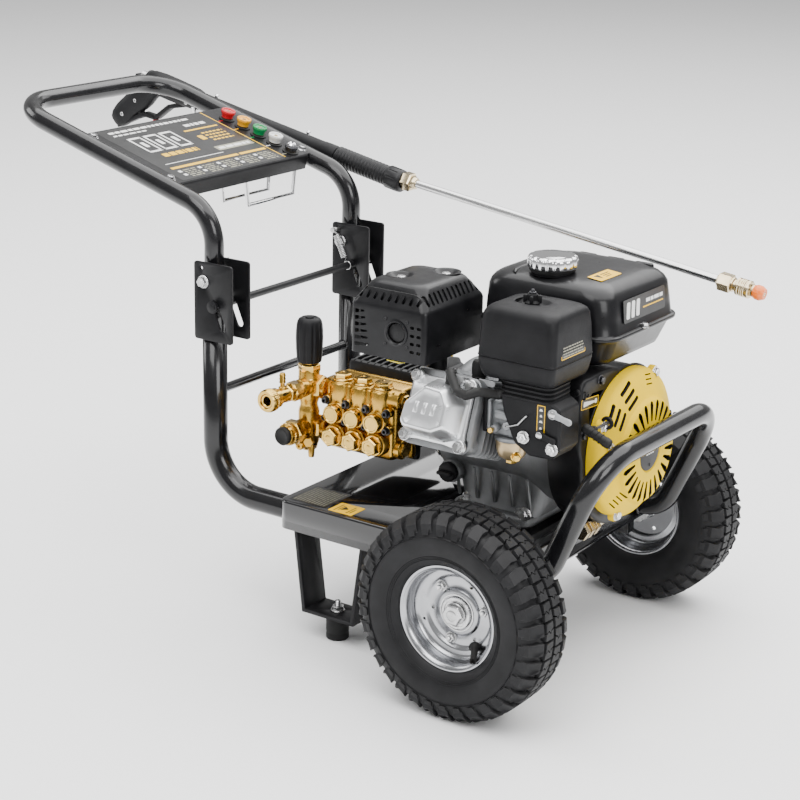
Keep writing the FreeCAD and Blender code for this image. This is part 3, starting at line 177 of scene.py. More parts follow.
def bent(points, bends, steps=8):
    """The smooth line of a tube bent at its inner points, each with its own radius."""
    line = [Vector(points[0])]
    for i in range(1, len(points) - 1):
        here, before, after = Vector(points[i]), Vector(points[i - 1]), Vector(points[i + 1])
        u, v = (before - here).normalized(), (after - here).normalized()
        half = u.angle(v) / 2
        reach = bends[i - 1] / math.tan(half)
        centre = here + (u + v).normalized() * (bends[i - 1] / math.sin(half))
        a, b = here + u * reach - centre, here + v * reach - centre
        for step in range(steps + 1):
            line.append(centre + a.slerp(b, step / steps))
    line.append(Vector(points[-1]))
    return line


# ---------------------------------------------------------------- solids

class Shape:
    """Closed solids gathered into one mesh."""

    def __init__(self):
        self.bm = bmesh.new()
        self.paint = 0

    def add(self, points, faces, place=None):
        """One closed solid from its points and faces, in the material slot that paint names."""
        made = [self.bm.verts.new(place @ Vector(p) if place else Vector(p)) for p in points]
        for face in faces:
            new = self.bm.faces.new([made[i] for i in face])
            new.material_index = self.paint
        return self

    def loft(self, rings, place=None, closed=False):
        """A skin through rings of equally many points, capped at both ends unless it closes on itself."""
        count = len(rings[0])
        points = [p for ring in rings for p in ring]
        faces = []
        last = len(rings) if closed else len(rings) - 1
        for k in range(last):
            a, b = k * count, ((k + 1) % len(rings)) * count
            faces += [(a + i, a + (i + 1) % count, b + (i + 1) % count, b + i) for i in range(count)]
        if not closed:
            faces.append(tuple(reversed(range(count))))
            faces.append(tuple(range((len(rings) - 1) * count, len(rings) * count)))
        return self.add(points, faces, place)

    def lathe(self, outline, place=None, count=48, wave=None):
        """A turned solid from (radius, height) points, closed at the axis, or on itself if hollow."""
        hollow = outline[0][0] > 0 and outline[-1][0] > 0
        rings = []
        for radius, height in outline:
            if radius <= 0:
                rings.append(height)
            else:
                ring = circle(radius, count, z=height)
                rings.append([wave(p, radius, height) for p in ring] if wave else ring)
        solid = [r for r in rings if not isinstance(r, (int, float))]
        if hollow:
            return self.loft(solid, place, closed=True)
        points = [p for ring in solid for p in ring]
        faces = []
        for k in range(len(solid) - 1):
            a, b = k * count, (k + 1) * count
            faces += [(a + i, a + (i + 1) % count, b + (i + 1) % count, b + i) for i in range(count)]
        for end, base in ((0, 0), (-1, (len(solid) - 1) * count)):
            tip = rings[end]
            ring_face = range(base, base + count)
            if isinstance(tip, (int, float)) and abs(tip - solid[end][0].z) > 1e-6:
                points.append(Vector((0, 0, tip)))
                fan = [(base + i, base + (i + 1) % count, len(points) - 1) for i in range(count)]
                faces += [tuple(reversed(f)) for f in fan] if end == 0 else fan
            else:
                faces.append(tuple(reversed(ring_face)) if end == 0 else tuple(ring_face))
        return self.add(points, faces, place)

    def rod(self, radius, length, spot, axis=Z, count=32, edge=0.6):
        """A round bar with a small chamfer at each end."""
        edge = min(edge, radius * 0.4, length * 0.3)
        outline = [(0, 0), (radius - edge, 0), (radius, edge), (radius, length - edge),
                   (radius - edge, length), (0, length)]
        return self.lathe(outline, aim(spot, axis), count)

    def pipe(self, outer, inner, length, spot, axis=Z, count=40, edge=0.5):
        """A short tube with softened rims."""
        outline = [(inner, edge), (inner + edge, 0), (outer - edge, 0), (outer, edge),
                   (outer, length - edge), (outer - edge, length), (inner + edge, length),
                   (inner, length - edge)]
        return self.lathe(outline, aim(spot, axis), count)

    def prism(self, outline, depth, place=None, edge=0.0):
        """A flat outline given thickness along the placement's Z, with softened rims."""
        flat = [Vector((x, y)) for x, y in outline]
        if sum(a.x * b.y - b.x * a.y for a, b in zip(flat, flat[1:] + flat[:1])) < 0:
            flat.reverse()
        levels = [(0, 0), (depth, 0)] if edge <= 0 else [(0, edge), (edge, 0), (depth - edge, 0),
                                                         (depth, edge)]
        rings = []
        for height, inset in levels:
            ring = []
            for i, here in enumerate(flat):
                before, after = flat[i - 1], flat[(i + 1) % len(flat)]
                a, b = (here - before), (after - here)
                n = Vector((-(a.y), a.x)).normalized() + Vector((-(b.y), b.x)).normalized()
                n = n.normalized() if n.length > 1e-6 else Vector((0, 0))
                ring.append(Vector((here.x + n.x * inset, here.y + n.y * inset, height)))
            rings.append(ring)
        return self.loft(rings, place)

    def block(self, low, high, edge=0.8, place=None):
        """A box between two corners with its edges softened."""
        size = Vector(high) - Vector(low)
        edge = min(edge, *[s * 0.45 for s in size])
        centre = ((low[0] + high[0]) / 2, (low[1] + high[1]) / 2)
        rings = [rounded_rectangle(size.x - 2 * inset, size.y - 2 * inset, max(edge - inset * 0.6, 0.05),
                                   low[2] + rise, centre, 2)
                 for rise, inset in ((0, edge), (edge * 0.3, edge * 0.3), (edge, 0), (size.z - edge, 0),
                                     (size.z - edge * 0.3, edge * 0.3), (size.z, edge))]
        return self.loft(rings, place)

    def bar(self, size, centre, turn=None, edge=0.8):
        """A softened box about a centre, turned by a placement."""
        half = Vector(size) / 2
        place = Matrix.Translation(Vector(centre)) @ (turn or Matrix.Identity(4))
        return self.block(-half, half, edge, place)

    def hexagon(self, radius, height, spot, axis=Z, side=None, bevel=0.14):
        """A hexagonal prism with the chamfered crown of a nut. radius is half its width across flats."""
        corner = radius / math.cos(math.pi / 6)
        lift = corner * bevel
        rings = [circle(corner * 0.97, 6, z=0), circle(corner, 6, z=lift * 0.3),
                 circle(corner, 6, z=height - lift), circle(corner * (1 - bevel), 6, z=height)]
        place = aim(spot, axis, side)
        self.loft(rings, place)
        return self

    def nut(self, radius, height, spot, axis=Z, side=None, washer=0.0):
        """A hexagon nut with a rounded crown, and a washer under it if asked."""
        if washer:
            self.pipe(radius * 1.3, radius * 0.55, washer, spot, axis, 32, 0.3)
            spot = Vector(spot) + Vector(axis).normalized() * washer
        self.hexagon(radius, height, spot, axis, side)
        return self

    def bolt(self, radius, spot, axis=Z, head=None, washer=1.2, tip=0.0):
        """A flange bolt's head with its washer, and a threaded tip standing out of it if asked."""
        axis = Vector(axis).normalized()
        head = head or radius * 1.1
        if washer:
            self.lathe([(0, 0), (radius * 1.42, 0), (radius * 1.5, washer * 0.4), (radius * 1.4, washer),
                        (0, washer)],
                       aim(spot, axis), 28)
        start = Vector(spot) + axis * washer
        self.hexagon(radius, head, start, axis)
        if tip:
            self.thread(radius * 0.56, tip, start + axis * head, axis)
        else:
            self.lathe([(0, 0), (radius * 0.72, 0), (radius * 0.66, radius * 0.10), (0, radius * 0.10)],
                       aim(start + axis * (head - 0.02), axis), 24)
        return self

    def thread(self, radius, length, spot, axis=Z, pitch=1.25, count=20):
        """A threaded end, as rings of crests and roots."""
        outline = [(0, 0)]
        turns = max(2, int(length / pitch))
        for k in range(turns):
            z = length * k / turns
            outline += [(radius * 0.88, z), (radius, z + length / turns * 0.5)]
        outline += [(radius * 0.86, length * 0.999), (radius * 0.7, length + 0.5), (0, length + 0.5)]
        return self.lathe(outline, aim(spot, axis), count)

    def socket_screw(self, radius, height, spot, axis=Z):
        """A cap screw's round head with its hexagonal recess."""
        place = aim(spot, axis)
        rings = [circle(radius * 0.95, 24, z=0), circle(radius, 24, z=height * 0.08),
                 circle(radius, 24, z=height * 0.85), circle(radius * 0.9, 24, z=height)]
        hexed = [hex_radius(radius * 0.52, p) for p in circle(1, 24)]
        rings.append([Vector((p.x, p.y, height)) for p in hexed])
        rings.append([Vector((p.x, p.y, height * 0.35)) for p in hexed])
        return self.loft(rings, place)

    def tube(self, points, radius, count=20):
        """A round bar or tube along a line of points. radius is one number or one for each point."""
        line = [Vector(p) for p in points]
        radii = radius if isinstance(radius, (list, tuple)) else [radius] * len(line)
        ways = [((line[min(i + 1, len(line) - 1)] - line[max(i - 1, 0)]).normalized())
                for i in range(len(line))]
        normal = ways[0].orthogonal().normalized()
        rings = []
        for i, (here, way) in enumerate(zip(line, ways)):
            normal = (normal - way * normal.dot(way)).normalized()
            other = way.cross(normal)
            rings.append([here + (normal * math.cos(TURN * k / count) + other * math.sin(TURN * k / count))
                          * radii[i]
                          for k in range(count)])
        return self.loft(rings)

    def strip(self, points, across, width, thick):
        """A flat strip bent along a line; across is the direction of its width."""
        line, across = [Vector(p) for p in points], Vector(across).normalized()
        rings = []
        for i, here in enumerate(line):
            way = (line[min(i + 1, len(line) - 1)] - line[max(i - 1, 0)]).normalized()
            up = way.cross(across).normalized()
            w, t, c = across * width / 2, up * thick / 2, 0.6
            cw, ct = across * c, up * c
            rings.append([here - w + cw - t, here + w - cw - t, here + w - t + ct, here + w + t - ct,
                          here + w - cw + t, here - w + cw + t, here - w + t - ct, here - w - t + ct])
        return self.loft(rings)

    def ball(self, radius, spot, count=16):
        """A ball."""
        outline = [(0, -radius)] + [(radius * math.cos(a), radius * math.sin(a))
                                    for a in (-math.pi / 2 + math.pi * k / count
                                              for k in range(1, count))] + [(0, radius)]
        return self.lathe(outline, aim(spot), count * 2)

    def mesh(self, name):
        """The finished mesh in the frame's metres."""
        bmesh.ops.recalc_face_normals(self.bm, faces=self.bm.faces)
        for vert in self.bm.verts:
            vert.co = to_frame(vert.co)
        data = bpy.data.meshes.new(name)
        self.bm.to_mesh(data)
        self.bm.free()
        return data


def round_x(x, centre, radius, count, start=0.0):
    """Evenly spaced places on a circle round a line along X; centre is its (Y, Z)."""
    angles = [TURN * k / count + start for k in range(count)]
    return [(x, centre[0] + radius * math.cos(a), centre[1] + radius * math.sin(a)) for a in angles]


def hex_radius(flat, point):
    """The point of a hexagon in the direction of a point of the unit circle."""
    angle = math.atan2(point.y, point.x) % (TURN / 6) - TURN / 12
    r = flat / math.cos(angle)
    return Vector((point.x * r, point.y * r, 0))


def grooved(count, depth, where, power=1.0):
    """A change to a turned solid: upright grooves round it, where its radius and height say so."""
    def change(p, radius, height):
        if not where(radius, height):
            return p * 1
        return p * (1 - depth * max(0.0, math.cos(count * math.atan2(p.y, p.x))) ** power)
    return change


def knurled(count, share, where):
    """A change to a turned solid: teeth round it, where its radius and height say so."""
    def change(p, radius, height):
        tooth = int(math.atan2(p.y, p.x) / TURN * count + count + 0.5) % 2
        return p * (share if where(radius, height) and tooth else 1)
    return change


def evaluated(obj):
    """A copy of an object's mesh with its modifiers applied."""
    bpy.context.view_layer.update()
    graph = bpy.context.evaluated_depsgraph_get()
    return bpy.data.meshes.new_from_object(obj.evaluated_get(graph), depsgraph=graph)


def carve(mesh, cutter):
    """The mesh with the cutter's solids taken away."""
    body = bpy.data.objects.new("carved", mesh)
    tool = bpy.data.objects.new("cutter", cutter)
    for obj in (body, tool):
        bpy.context.scene.collection.objects.link(obj)
    change = body.modifiers.new("cut", "BOOLEAN")
    change.operation = "DIFFERENCE"
    change.solver = "EXACT"
    change.use_self = True
    change.object = tool
    result = evaluated(body)
    for obj in (body, tool):
        bpy.data.objects.remove(obj)
    return result


def soften_edges(obj, width, sharp):
    """Bevels the edges that turn by more than an angle in degrees."""
    edge = obj.modifiers.new("edges", "BEVEL")
    edge.width, edge.segments, edge.limit_method = width * MM, 2, "ANGLE"
    edge.angle_limit = math.radians(sharp)
    edge.harden_normals = True


def placed(name, mesh, materials):
    """A smooth object of a mesh, with its materials, in the scene."""
    for material in materials:
        mesh.materials.append(material)
    mesh.shade_smooth()
    obj = bpy.data.objects.new(name, mesh)
    bpy.context.scene.collection.objects.link(obj)
    return obj


def stretched(name, shape, material, node):
    """A piece that stands for a node, its mesh baked where it stands and not attached to any body."""
    obj = placed(name, shape.mesh(name), [material])
    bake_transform(obj)
    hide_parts(node)
    return obj


def piece(name, shape, materials, body, stands_for=(), soften=0.0, sharp=38):
    """Makes an object of a shape, gives it its materials and lets it ride on a CAD body."""
    mesh = shape.mesh(name) if isinstance(shape, Shape) else shape
    obj = placed(name, mesh, materials if isinstance(materials, (list, tuple)) else [materials])
    if soften:
        soften_edges(obj, soften, sharp)
    else:
        mesh.set_sharp_from_angle(angle=math.radians(sharp))
    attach(obj, body)
    if stands_for:
        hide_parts(*stands_for)
    return obj


def dress(node, material, soften=0.4):
    """Gives a carried-over CAD node its finish, smooth faces and softened edges."""
    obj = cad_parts[node]
    obj.data.materials.clear()
    obj.data.materials.append(material)
    obj.data.shade_smooth()
    weld = obj.modifiers.new("weld", "WELD")
    weld.merge_threshold = 0.00001
    if soften:
        soften_edges(obj, soften, 32)
    return obj


# ---------------------------------------------------------------- materials

DUST = (0.35, 0.33, 0.30)


def ramp_between(nodes, links, source, low, high, start=0.3, end=0.7):
    """A ramp between two colours, driven by a source socket."""
    ramp = nodes.new("ShaderNodeValToRGB")
    ramp.color_ramp.elements[0].position, ramp.color_ramp.elements[1].position = start, end
    ramp.color_ramp.elements[0].color = (*low, 1)
    ramp.color_ramp.elements[1].color = (*high, 1)
    links.new(source, ramp.inputs[0])
    return ramp.outputs[0]


def noise(nodes, links, coords, scale, detail, stretch=None):
    """A noise texture in the object's metres, stretched along an axis if asked."""
    if stretch:
        mapping = nodes.new("ShaderNodeMapping")
        mapping.inputs["Scale"].default_value = stretch
        links.new(coords, mapping.inputs["Vector"])
        coords = mapping.outputs[0]
    texture = nodes.new("ShaderNodeTexNoise")
    texture.inputs["Scale"].default_value = scale
    texture.inputs["Detail"].default_value = detail
    links.new(coords, texture.inputs["Vector"])
    return texture.outputs["Fac"]


def mixed(nodes, links, base, over, mask):
    """One plain colour laid over a shade through a mask."""
    blend = nodes.new("ShaderNodeMix")
    blend.data_type = "RGBA"
    links.new(mask, blend.inputs["Factor"])
    links.new(base, blend.inputs["A"])
    blend.inputs["B"].default_value = (*over, 1)
    return blend.outputs["Result"]


def product(nodes, links, value, other, amount):
    """Two sockets multiplied, and the result scaled and kept between 0 and 1."""
    both = nodes.new("ShaderNodeMath")
    both.operation = "MULTIPLY"
    links.new(value, both.inputs[0])
    links.new(other, both.inputs[1])
    scaled = nodes.new("ShaderNodeMath")
    scaled.operation = "MULTIPLY"
    scaled.inputs[1].default_value = amount
    scaled.use_clamp = True
    links.new(both.outputs[0], scaled.inputs[0])
    return scaled.outputs[0]


def mapped(nodes, links, value, low, high):
    """A socket's values between low and high, spread over 0 to 1."""
    spread = nodes.new("ShaderNodeMapRange")
    spread.inputs["From Min"].default_value = low
    spread.inputs["From Max"].default_value = high
    links.new(value, spread.inputs["Value"])
    return spread.outputs[0]


def settled_dust(nodes, links, coords, shade, amount):
    """The shade with uneven dust on the faces that look up."""
    geometry = nodes.new("ShaderNodeNewGeometry")
    split = nodes.new("ShaderNodeSeparateXYZ")
    links.new(geometry.outputs["Normal"], split.inputs[0])
    facing = mapped(nodes, links, split.outputs["Z"], 0.3, 1.0)
    clouds = noise(nodes, links, coords, 45.0, 6.0)
    return mixed(nodes, links, shade, DUST, product(nodes, links, facing, clouds, amount))


def scuffed(nodes, links, coords, shade, worn, amount):
    """The shade with the worn colour in broken patches along the sharp edges."""
    bevel = nodes.new("ShaderNodeBevel")
    bevel.samples = 4
    bevel.inputs["Radius"].default_value = 0.0012
    geometry = nodes.new("ShaderNodeNewGeometry")
    dot = nodes.new("ShaderNodeVectorMath")
    dot.operation = "DOT_PRODUCT"
    links.new(bevel.outputs[0], dot.inputs[0])
    links.new(geometry.outputs["Normal"], dot.inputs[1])
    edge = mapped(nodes, links, dot.outputs["Value"], 0.995, 0.90)
    patches = noise(nodes, links, coords, 260.0, 6.0)
    broken = ramp_between(nodes, links, patches, (0, 0, 0), (1, 1, 1), 0.42, 0.62)
    return mixed(nodes, links, shade, worn, product(nodes, links, edge, broken, amount))


def bumped(nodes, links, height, strength, depth):
    """A bump from a height socket."""
    relief = nodes.new("ShaderNodeBump")
    relief.inputs["Strength"].default_value = strength
    relief.inputs["Distance"].default_value = depth
    links.new(height, relief.inputs["Height"])
    return relief


def finish(name, colour, rough, metal=0.0, tint=0.25, patch=28.0, grain=900.0, bump=0.05, depth=0.0004,
           coat=0.0, worn=None, wear=0.0, dust=0.0, stretch=None, rough_range=0.10, specular=0.5, sheen=0.0,
           pits=0.0):
    """A surface with broad shade changes, fine grain, uneven gloss, scuffed edges and settled dust."""
    material = bpy.data.materials.new(name)
    material.use_nodes = True
    nodes, links = material.node_tree.nodes, material.node_tree.links
    shader = nodes["Principled BSDF"]
    for setting, value in (("Metallic", metal), ("Coat Weight", coat), ("Coat Roughness", 0.08),
                           ("Specular IOR Level", specular), ("Sheen Weight", sheen)):
        shader.inputs[setting].default_value = value
    coords = nodes.new("ShaderNodeTexCoord").outputs["Object"]

    dark = tuple(c * (1 - tint) for c in colour)
    light = tuple(min(1, c * (1 + tint * 0.6) + tint * 0.01) for c in colour)
    broad = noise(nodes, links, coords, patch, 5.0, stretch)
    shade = ramp_between(nodes, links, broad, dark, light)
    if dust:
        shade = settled_dust(nodes, links, coords, shade, dust)
    if wear and worn:
        shade = scuffed(nodes, links, coords, shade, worn, wear)
    links.new(shade, shader.inputs["Base Color"])

    gloss = nodes.new("ShaderNodeMapRange")
    gloss.inputs["To Min"].default_value = max(0.02, rough - rough_range)
    gloss.inputs["To Max"].default_value = min(1.0, rough + rough_range)
    links.new(noise(nodes, links, coords, patch * 3.1, 5.0, stretch), gloss.inputs["Value"])
    links.new(gloss.outputs[0], shader.inputs["Roughness"])

    fine = bumped(nodes, links, noise(nodes, links, coords, grain, 3.0, stretch), bump, depth)
    if pits:
        cells = nodes.new("ShaderNodeTexVoronoi")
        cells.inputs["Scale"].default_value = grain * 0.5
        links.new(coords, cells.inputs["Vector"])
        coarse = bumped(nodes, links, cells.outputs["Distance"], pits, depth)
        links.new(coarse.outputs[0], fine.inputs["Normal"])
    links.new(fine.outputs[0], shader.inputs["Normal"])
    return material


PAINT = finish("black_paint", (0.004, 0.004, 0.005), 0.20, tint=0.4, grain=420, bump=0.08, coat=0.25,
               rough_range=0.06, worn=(0.16, 0.16, 0.17), wear=0.22, dust=0.03, specular=0.35)
SATIN = finish("black_satin", (0.006, 0.006, 0.007), 0.38, tint=0.35, grain=700, bump=0.14,
               worn=(0.10, 0.10, 0.11), wear=0.25, dust=0.015, specular=0.20)
TRAY = finish("tray_paint", (0.003, 0.003, 0.004), 0.10, tint=0.3, grain=160, bump=0.05, coat=0.6,
              rough_range=0.04, worn=(0.18, 0.18, 0.19), wear=0.25, dust=0.02, specular=0.45)
TANK = finish("tank_paint", (0.005, 0.005, 0.006), 0.30, tint=0.3, grain=500, bump=0.07, coat=0.12,
              rough_range=0.06, dust=0.015, specular=0.24)
SHIELD = finish("shield_paint", (0.005, 0.005, 0.006), 0.32, tint=0.4, grain=900, bump=0.18, coat=0.10,
                worn=(0.10, 0.10, 0.11), wear=0.25, dust=0.015, specular=0.20)
PLASTIC = finish("black_plastic", (0.007, 0.007, 0.008), 0.48, tint=0.22, grain=1500, bump=0.28, pits=0.25,
                 depth=0.0002, worn=(0.030, 0.030, 0.031), wear=0.3, dust=0.015, specular=0.17)
GRIP = finish("grip_plastic", (0.008, 0.008, 0.009), 0.42, tint=0.2, grain=1200, bump=0.18,
              worn=(0.05, 0.05, 0.05), wear=0.3, specular=0.3)
RUBBER = finish("black_rubber", (0.009, 0.009, 0.009), 0.58, tint=0.3, grain=1100, bump=0.25, dust=0.04,
                specular=0.26)
TYRE = finish("tyre_rubber", (0.011, 0.011, 0.012), 0.55, tint=0.35, patch=40, grain=950, bump=0.35,
              pits=0.15, dust=0.03, worn=(0.045, 0.045, 0.045), wear=0.5, specular=0.20)
SIDEWALL = finish("sidewall_rubber", (0.008, 0.008, 0.009), 0.50, tint=0.3, patch=30, grain=700, bump=0.2,
                  dust=0.02, specular=0.20)
YELLOW = finish("cover_yellow", (0.84, 0.56, 0.0), 0.46, tint=0.06, patch=18, grain=500, bump=0.06,
                coat=0.0, rough_range=0.05, worn=(0.60, 0.30, 0.0), wear=0.3, specular=0.06)
ALLOY = finish("cast_alloy", (0.52, 0.53, 0.54), 0.44, metal=0.85, tint=0.22, patch=35, grain=1300,
               bump=0.5, pits=0.35, depth=0.0003, worn=(0.75, 0.75, 0.76), wear=0.5)
COVER_ALLOY = finish("die_cast", (0.78, 0.79, 0.80), 0.30, metal=0.9, tint=0.10, patch=24, grain=1400,
                     bump=0.20, pits=0.15, depth=0.0002, worn=(0.88, 0.88, 0.89), wear=0.4)
# Dark finish of the coupling's locking balls, also used as painted shade for the disc at the bottom of its
# bore.
DARK_BALLS_AND_BORE_SHADE = finish("dark_balls_and_bore_shade", (0.050, 0.050, 0.052), 0.48, metal=0.4, tint=0.35, grain=1100, bump=0.4,
                    pits=0.3, worn=(0.22, 0.22, 0.22), wear=0.5, dust=0.06)
IRON = finish("black_iron", (0.010, 0.010, 0.011), 0.44, metal=0.2, tint=0.4, grain=900, bump=0.5, pits=0.35,
              worn=(0.08, 0.08, 0.08), wear=0.4, dust=0.03, specular=0.3)
BRASS = finish("brass", (0.52, 0.305, 0.055), 0.27, metal=1.0, tint=0.20, patch=30, grain=1000, bump=0.20,
               pits=0.12, depth=0.0002, worn=(0.80, 0.52, 0.12), wear=0.5)
BRASS_TURNED = finish("turned_brass", (0.66, 0.43, 0.11), 0.21, metal=1.0, tint=0.14, patch=40, grain=1600,
                      bump=0.12, depth=0.0002, worn=(0.85, 0.58, 0.16), wear=0.5)
BRONZE = finish("pale_brass", (0.66, 0.55, 0.36), 0.24, metal=1.0, tint=0.16, patch=40, grain=1500,
                bump=0.12, depth=0.0002)
ZINC = finish("zinc", (0.62, 0.62, 0.62), 0.28, metal=1.0, tint=0.20, patch=60, grain=1500, bump=0.14,
              depth=0.0002, worn=(0.80, 0.80, 0.80), wear=0.4)
RIM = finish("rim_steel", (0.40, 0.405, 0.42), 0.24, metal=1.0, tint=0.16, patch=22, grain=800, bump=0.10,
             depth=0.0003, rough_range=0.08)
CHROME = finish("chrome", (0.82, 0.82, 0.83), 0.09, metal=1.0, tint=0.06, patch=30, grain=900, bump=0.03,
                rough_range=0.05)
STAINLESS = finish("stainless", (0.70, 0.70, 0.70), 0.20, metal=1.0, tint=0.10, patch=30, grain=900,
                   bump=0.06, stretch=(0.15, 1, 1), rough_range=0.07)
BLUED = finish("blackened_steel", (0.045, 0.045, 0.050), 0.36, metal=0.9, tint=0.3, patch=60, grain=1400,
               bump=0.2, worn=(0.3, 0.3, 0.3), wear=0.4)
ALLOY_DARK = finish("engine_casting", (0.20, 0.205, 0.21), 0.46, metal=0.7, tint=0.25, patch=30, grain=1200,
                    bump=0.5, pits=0.4, depth=0.0003, worn=(0.42, 0.42, 0.42), wear=0.4, dust=0.04)
CARB = finish("carburettor_grey", (0.27, 0.28, 0.29), 0.46, metal=0.7, tint=0.25, patch=50, grain=1300,
              bump=0.45, pits=0.3, worn=(0.5, 0.5, 0.5), wear=0.5)
BOWL = finish("passivated_bowl", (0.56, 0.43, 0.25), 0.34, metal=0.85, tint=0.25, patch=55, grain=900,
              bump=0.12, worn=(0.7, 0.6, 0.4), wear=0.4)


def coloured(name, colour, rough=0.30, tint=0.10):
    """The glossy coloured plastic of a nozzle's head."""
    return finish(name, colour, rough, tint=tint, grain=900, bump=0.08, coat=0.2)


RED = coloured("nozzle_red", (0.62, 0.01, 0.02))
ORANGE_YELLOW = coloured("nozzle_yellow", (0.90, 0.42, 0.015))
GREEN = coloured("nozzle_green", (0.005, 0.26, 0.075))
WHITE = coloured("nozzle_white", (0.80, 0.80, 0.78), tint=0.06)
ORANGE = coloured("nozzle_orange", (0.88, 0.17, 0.01), 0.32)
LEVER_GREY = finish("lever_grey", (0.30, 0.31, 0.32), 0.45, tint=0.12, grain=1100, bump=0.15,
                    worn=(0.45, 0.45, 0.45), wear=0.3)
GASKET = finish("gasket_yellow", (0.62, 0.52, 0.06), 0.60, tint=0.2, grain=900, bump=0.2)
FOAM = finish("filter_foam", (0.30, 0.27, 0.20), 0.9, tint=0.3, grain=500, bump=0.8, pits=0.8, sheen=0.3)
ROPE = finish("rope", (0.030, 0.030, 0.032), 0.8, tint=0.4, grain=900, bump=0.8, sheen=0.3)
PRINT_YELLOW = finish("print_yellow", (0.86, 0.50, 0.0), 0.5, tint=0.05, grain=600, bump=0.04)
PRINT_WHITE = finish("print_white", (0.78, 0.78, 0.76), 0.40, tint=0.05, grain=600, bump=0.04)
PRINT_GREY = finish("print_grey", (0.28, 0.27, 0.20), 0.40, tint=0.15, grain=600, bump=0.04)
PRINT_BLACK = finish("print_black", (0.006, 0.006, 0.006), 0.32, tint=0.3, grain=600, bump=0.05)
# The pump's black paint, also used as painted shade in the starter cover's openings and inside.
PUMP_BLACK_AND_VENT_SHADE = finish("pump_black_and_vent_shade", (0.007, 0.007, 0.008), 0.40, tint=0.25, patch=40, grain=1200, bump=0.28,
                    coat=0.08, worn=(0.07, 0.07, 0.07), wear=0.3, dust=0.02, specular=0.3)


# ---------------------------------------------------------------- frame

def weld_bead(shape, spot, axis, radius, bead=2.0):
    """A rippled weld bead round a bar where it meets another."""
    place = aim(spot, axis)
    count = 44
    rings = []
    for k in range(count):
        angle = TURN * k / count
        way = Vector((math.cos(angle), math.sin(angle), 0))
        size = bead * (1.0 + 0.16 * math.cos(angle * 15) + random.uniform(-0.06, 0.06))
        rings.append([place @ (way * (radius + size * math.cos(t)) + Z * size * math.sin(t))
                      for t in (TURN * i / 8 for i in range(8))])
    shape.loft(rings, closed=True)


def frame_tubes():
    dress("frame_tubes", PAINT, soften=0)
    dress("front_bumper", PAINT, soften=0)
    welds = Shape()
    for side in (-1, 1):
        weld_bead(welds, (POST_X, side * (POST_Y - 15.2), 296), Y, 6.4)
        weld_bead(welds, (37, side * POST_Y, 162), X, 14.5, 1.8)
    piece("frame_welds", welds, PAINT, "frame")


def tray():
    """The folded tray under the engine, with its plain labels."""
    dress("tray", TRAY, soften=0)
    plate = Shape()
    plate.block((-309, -164, TRAY_TOP + 0.02), (-252, -104, TRAY_TOP + 0.14), 0.05)
    piece("tray_label_ground", plate, PRINT_BLACK, "frame")
    print_lines = Shape()
    for row in range(11):
        x = -304.5 + row * 4.6
        start = -160.0
        while start < -110:
            run = min(random.uniform(4, 15), -108 - start)
            print_lines.block((x, start, TRAY_TOP + 0.14), (x + 1.5, start + run, TRAY_TOP + 0.2), 0.02)
            start += run + 1.6
    piece("tray_label_print", print_lines, PRINT_GREY, "frame")
    ground = Shape()
    ground.prism(rounded_polygon([(-246, -166), (-246, -134), (-209, -134), (-209, -166)], 2), 0.14,
                 Matrix.Translation((0, 0, TRAY_TOP + 0.02)))
    piece("tray_notice", ground, PRINT_YELLOW, "frame")
    marks = Shape()
    for x, low, high in ((-240, -162, -138), (-236, -158, -142), (-221, -162, -138), (-217, -160, -144)):
        marks.block((x, low, TRAY_TOP + 0.16), (x + 1.6, high, TRAY_TOP + 0.22), 0.02)
    marks.prism(rounded_polygon([(-233, -157), (-224, -150), (-233, -143)], 0.8), 0.06,
                Matrix.Translation((0, 0, TRAY_TOP + 0.16)))
    piece("tray_notice_marks", marks, PRINT_BLACK, "frame")


def stand():
    """The two strip legs with their rubber feet."""
    dress("stand_legs", SATIN, soften=0.7)
    feet = Shape()
    low, high = local_box("stand_feet")
    for side in (-1, 1):
        outline = [(0, 0.8), (12.2, 0.8), (12.6, 0), (13.8, 0), (15, 1.6), (15, 7), (14.4, 8), (14.4, 10),
                   (15, 11), (15, high.z - 5), (13.2, high.z - 1), (12, high.z), (0, high.z)]
        feet.lathe(outline, aim((STAND_X, side * STAND_Y, low.z)), 48)
    piece("rubber_feet", feet, RUBBER, "frame", ["stand_feet"])


def axle():
    shape = Shape()
    half = TRACK / 2 + 20
    shape.rod(8, 2 * half - 28, (0, -half + 14, TYRE_R), Y, 40)
    for side in (-1, 1):
        shape.thread(7.7, 14, (0, side * (half - 14.6), TYRE_R), Y * side, pitch=1.4, count=28)
        shape.pipe(13, 8.05, 2.2, (0, side * (POST_Y + 21), TYRE_R), Y * side)
    piece("axle_bar", shape, ZINC, "frame", ["axle"])


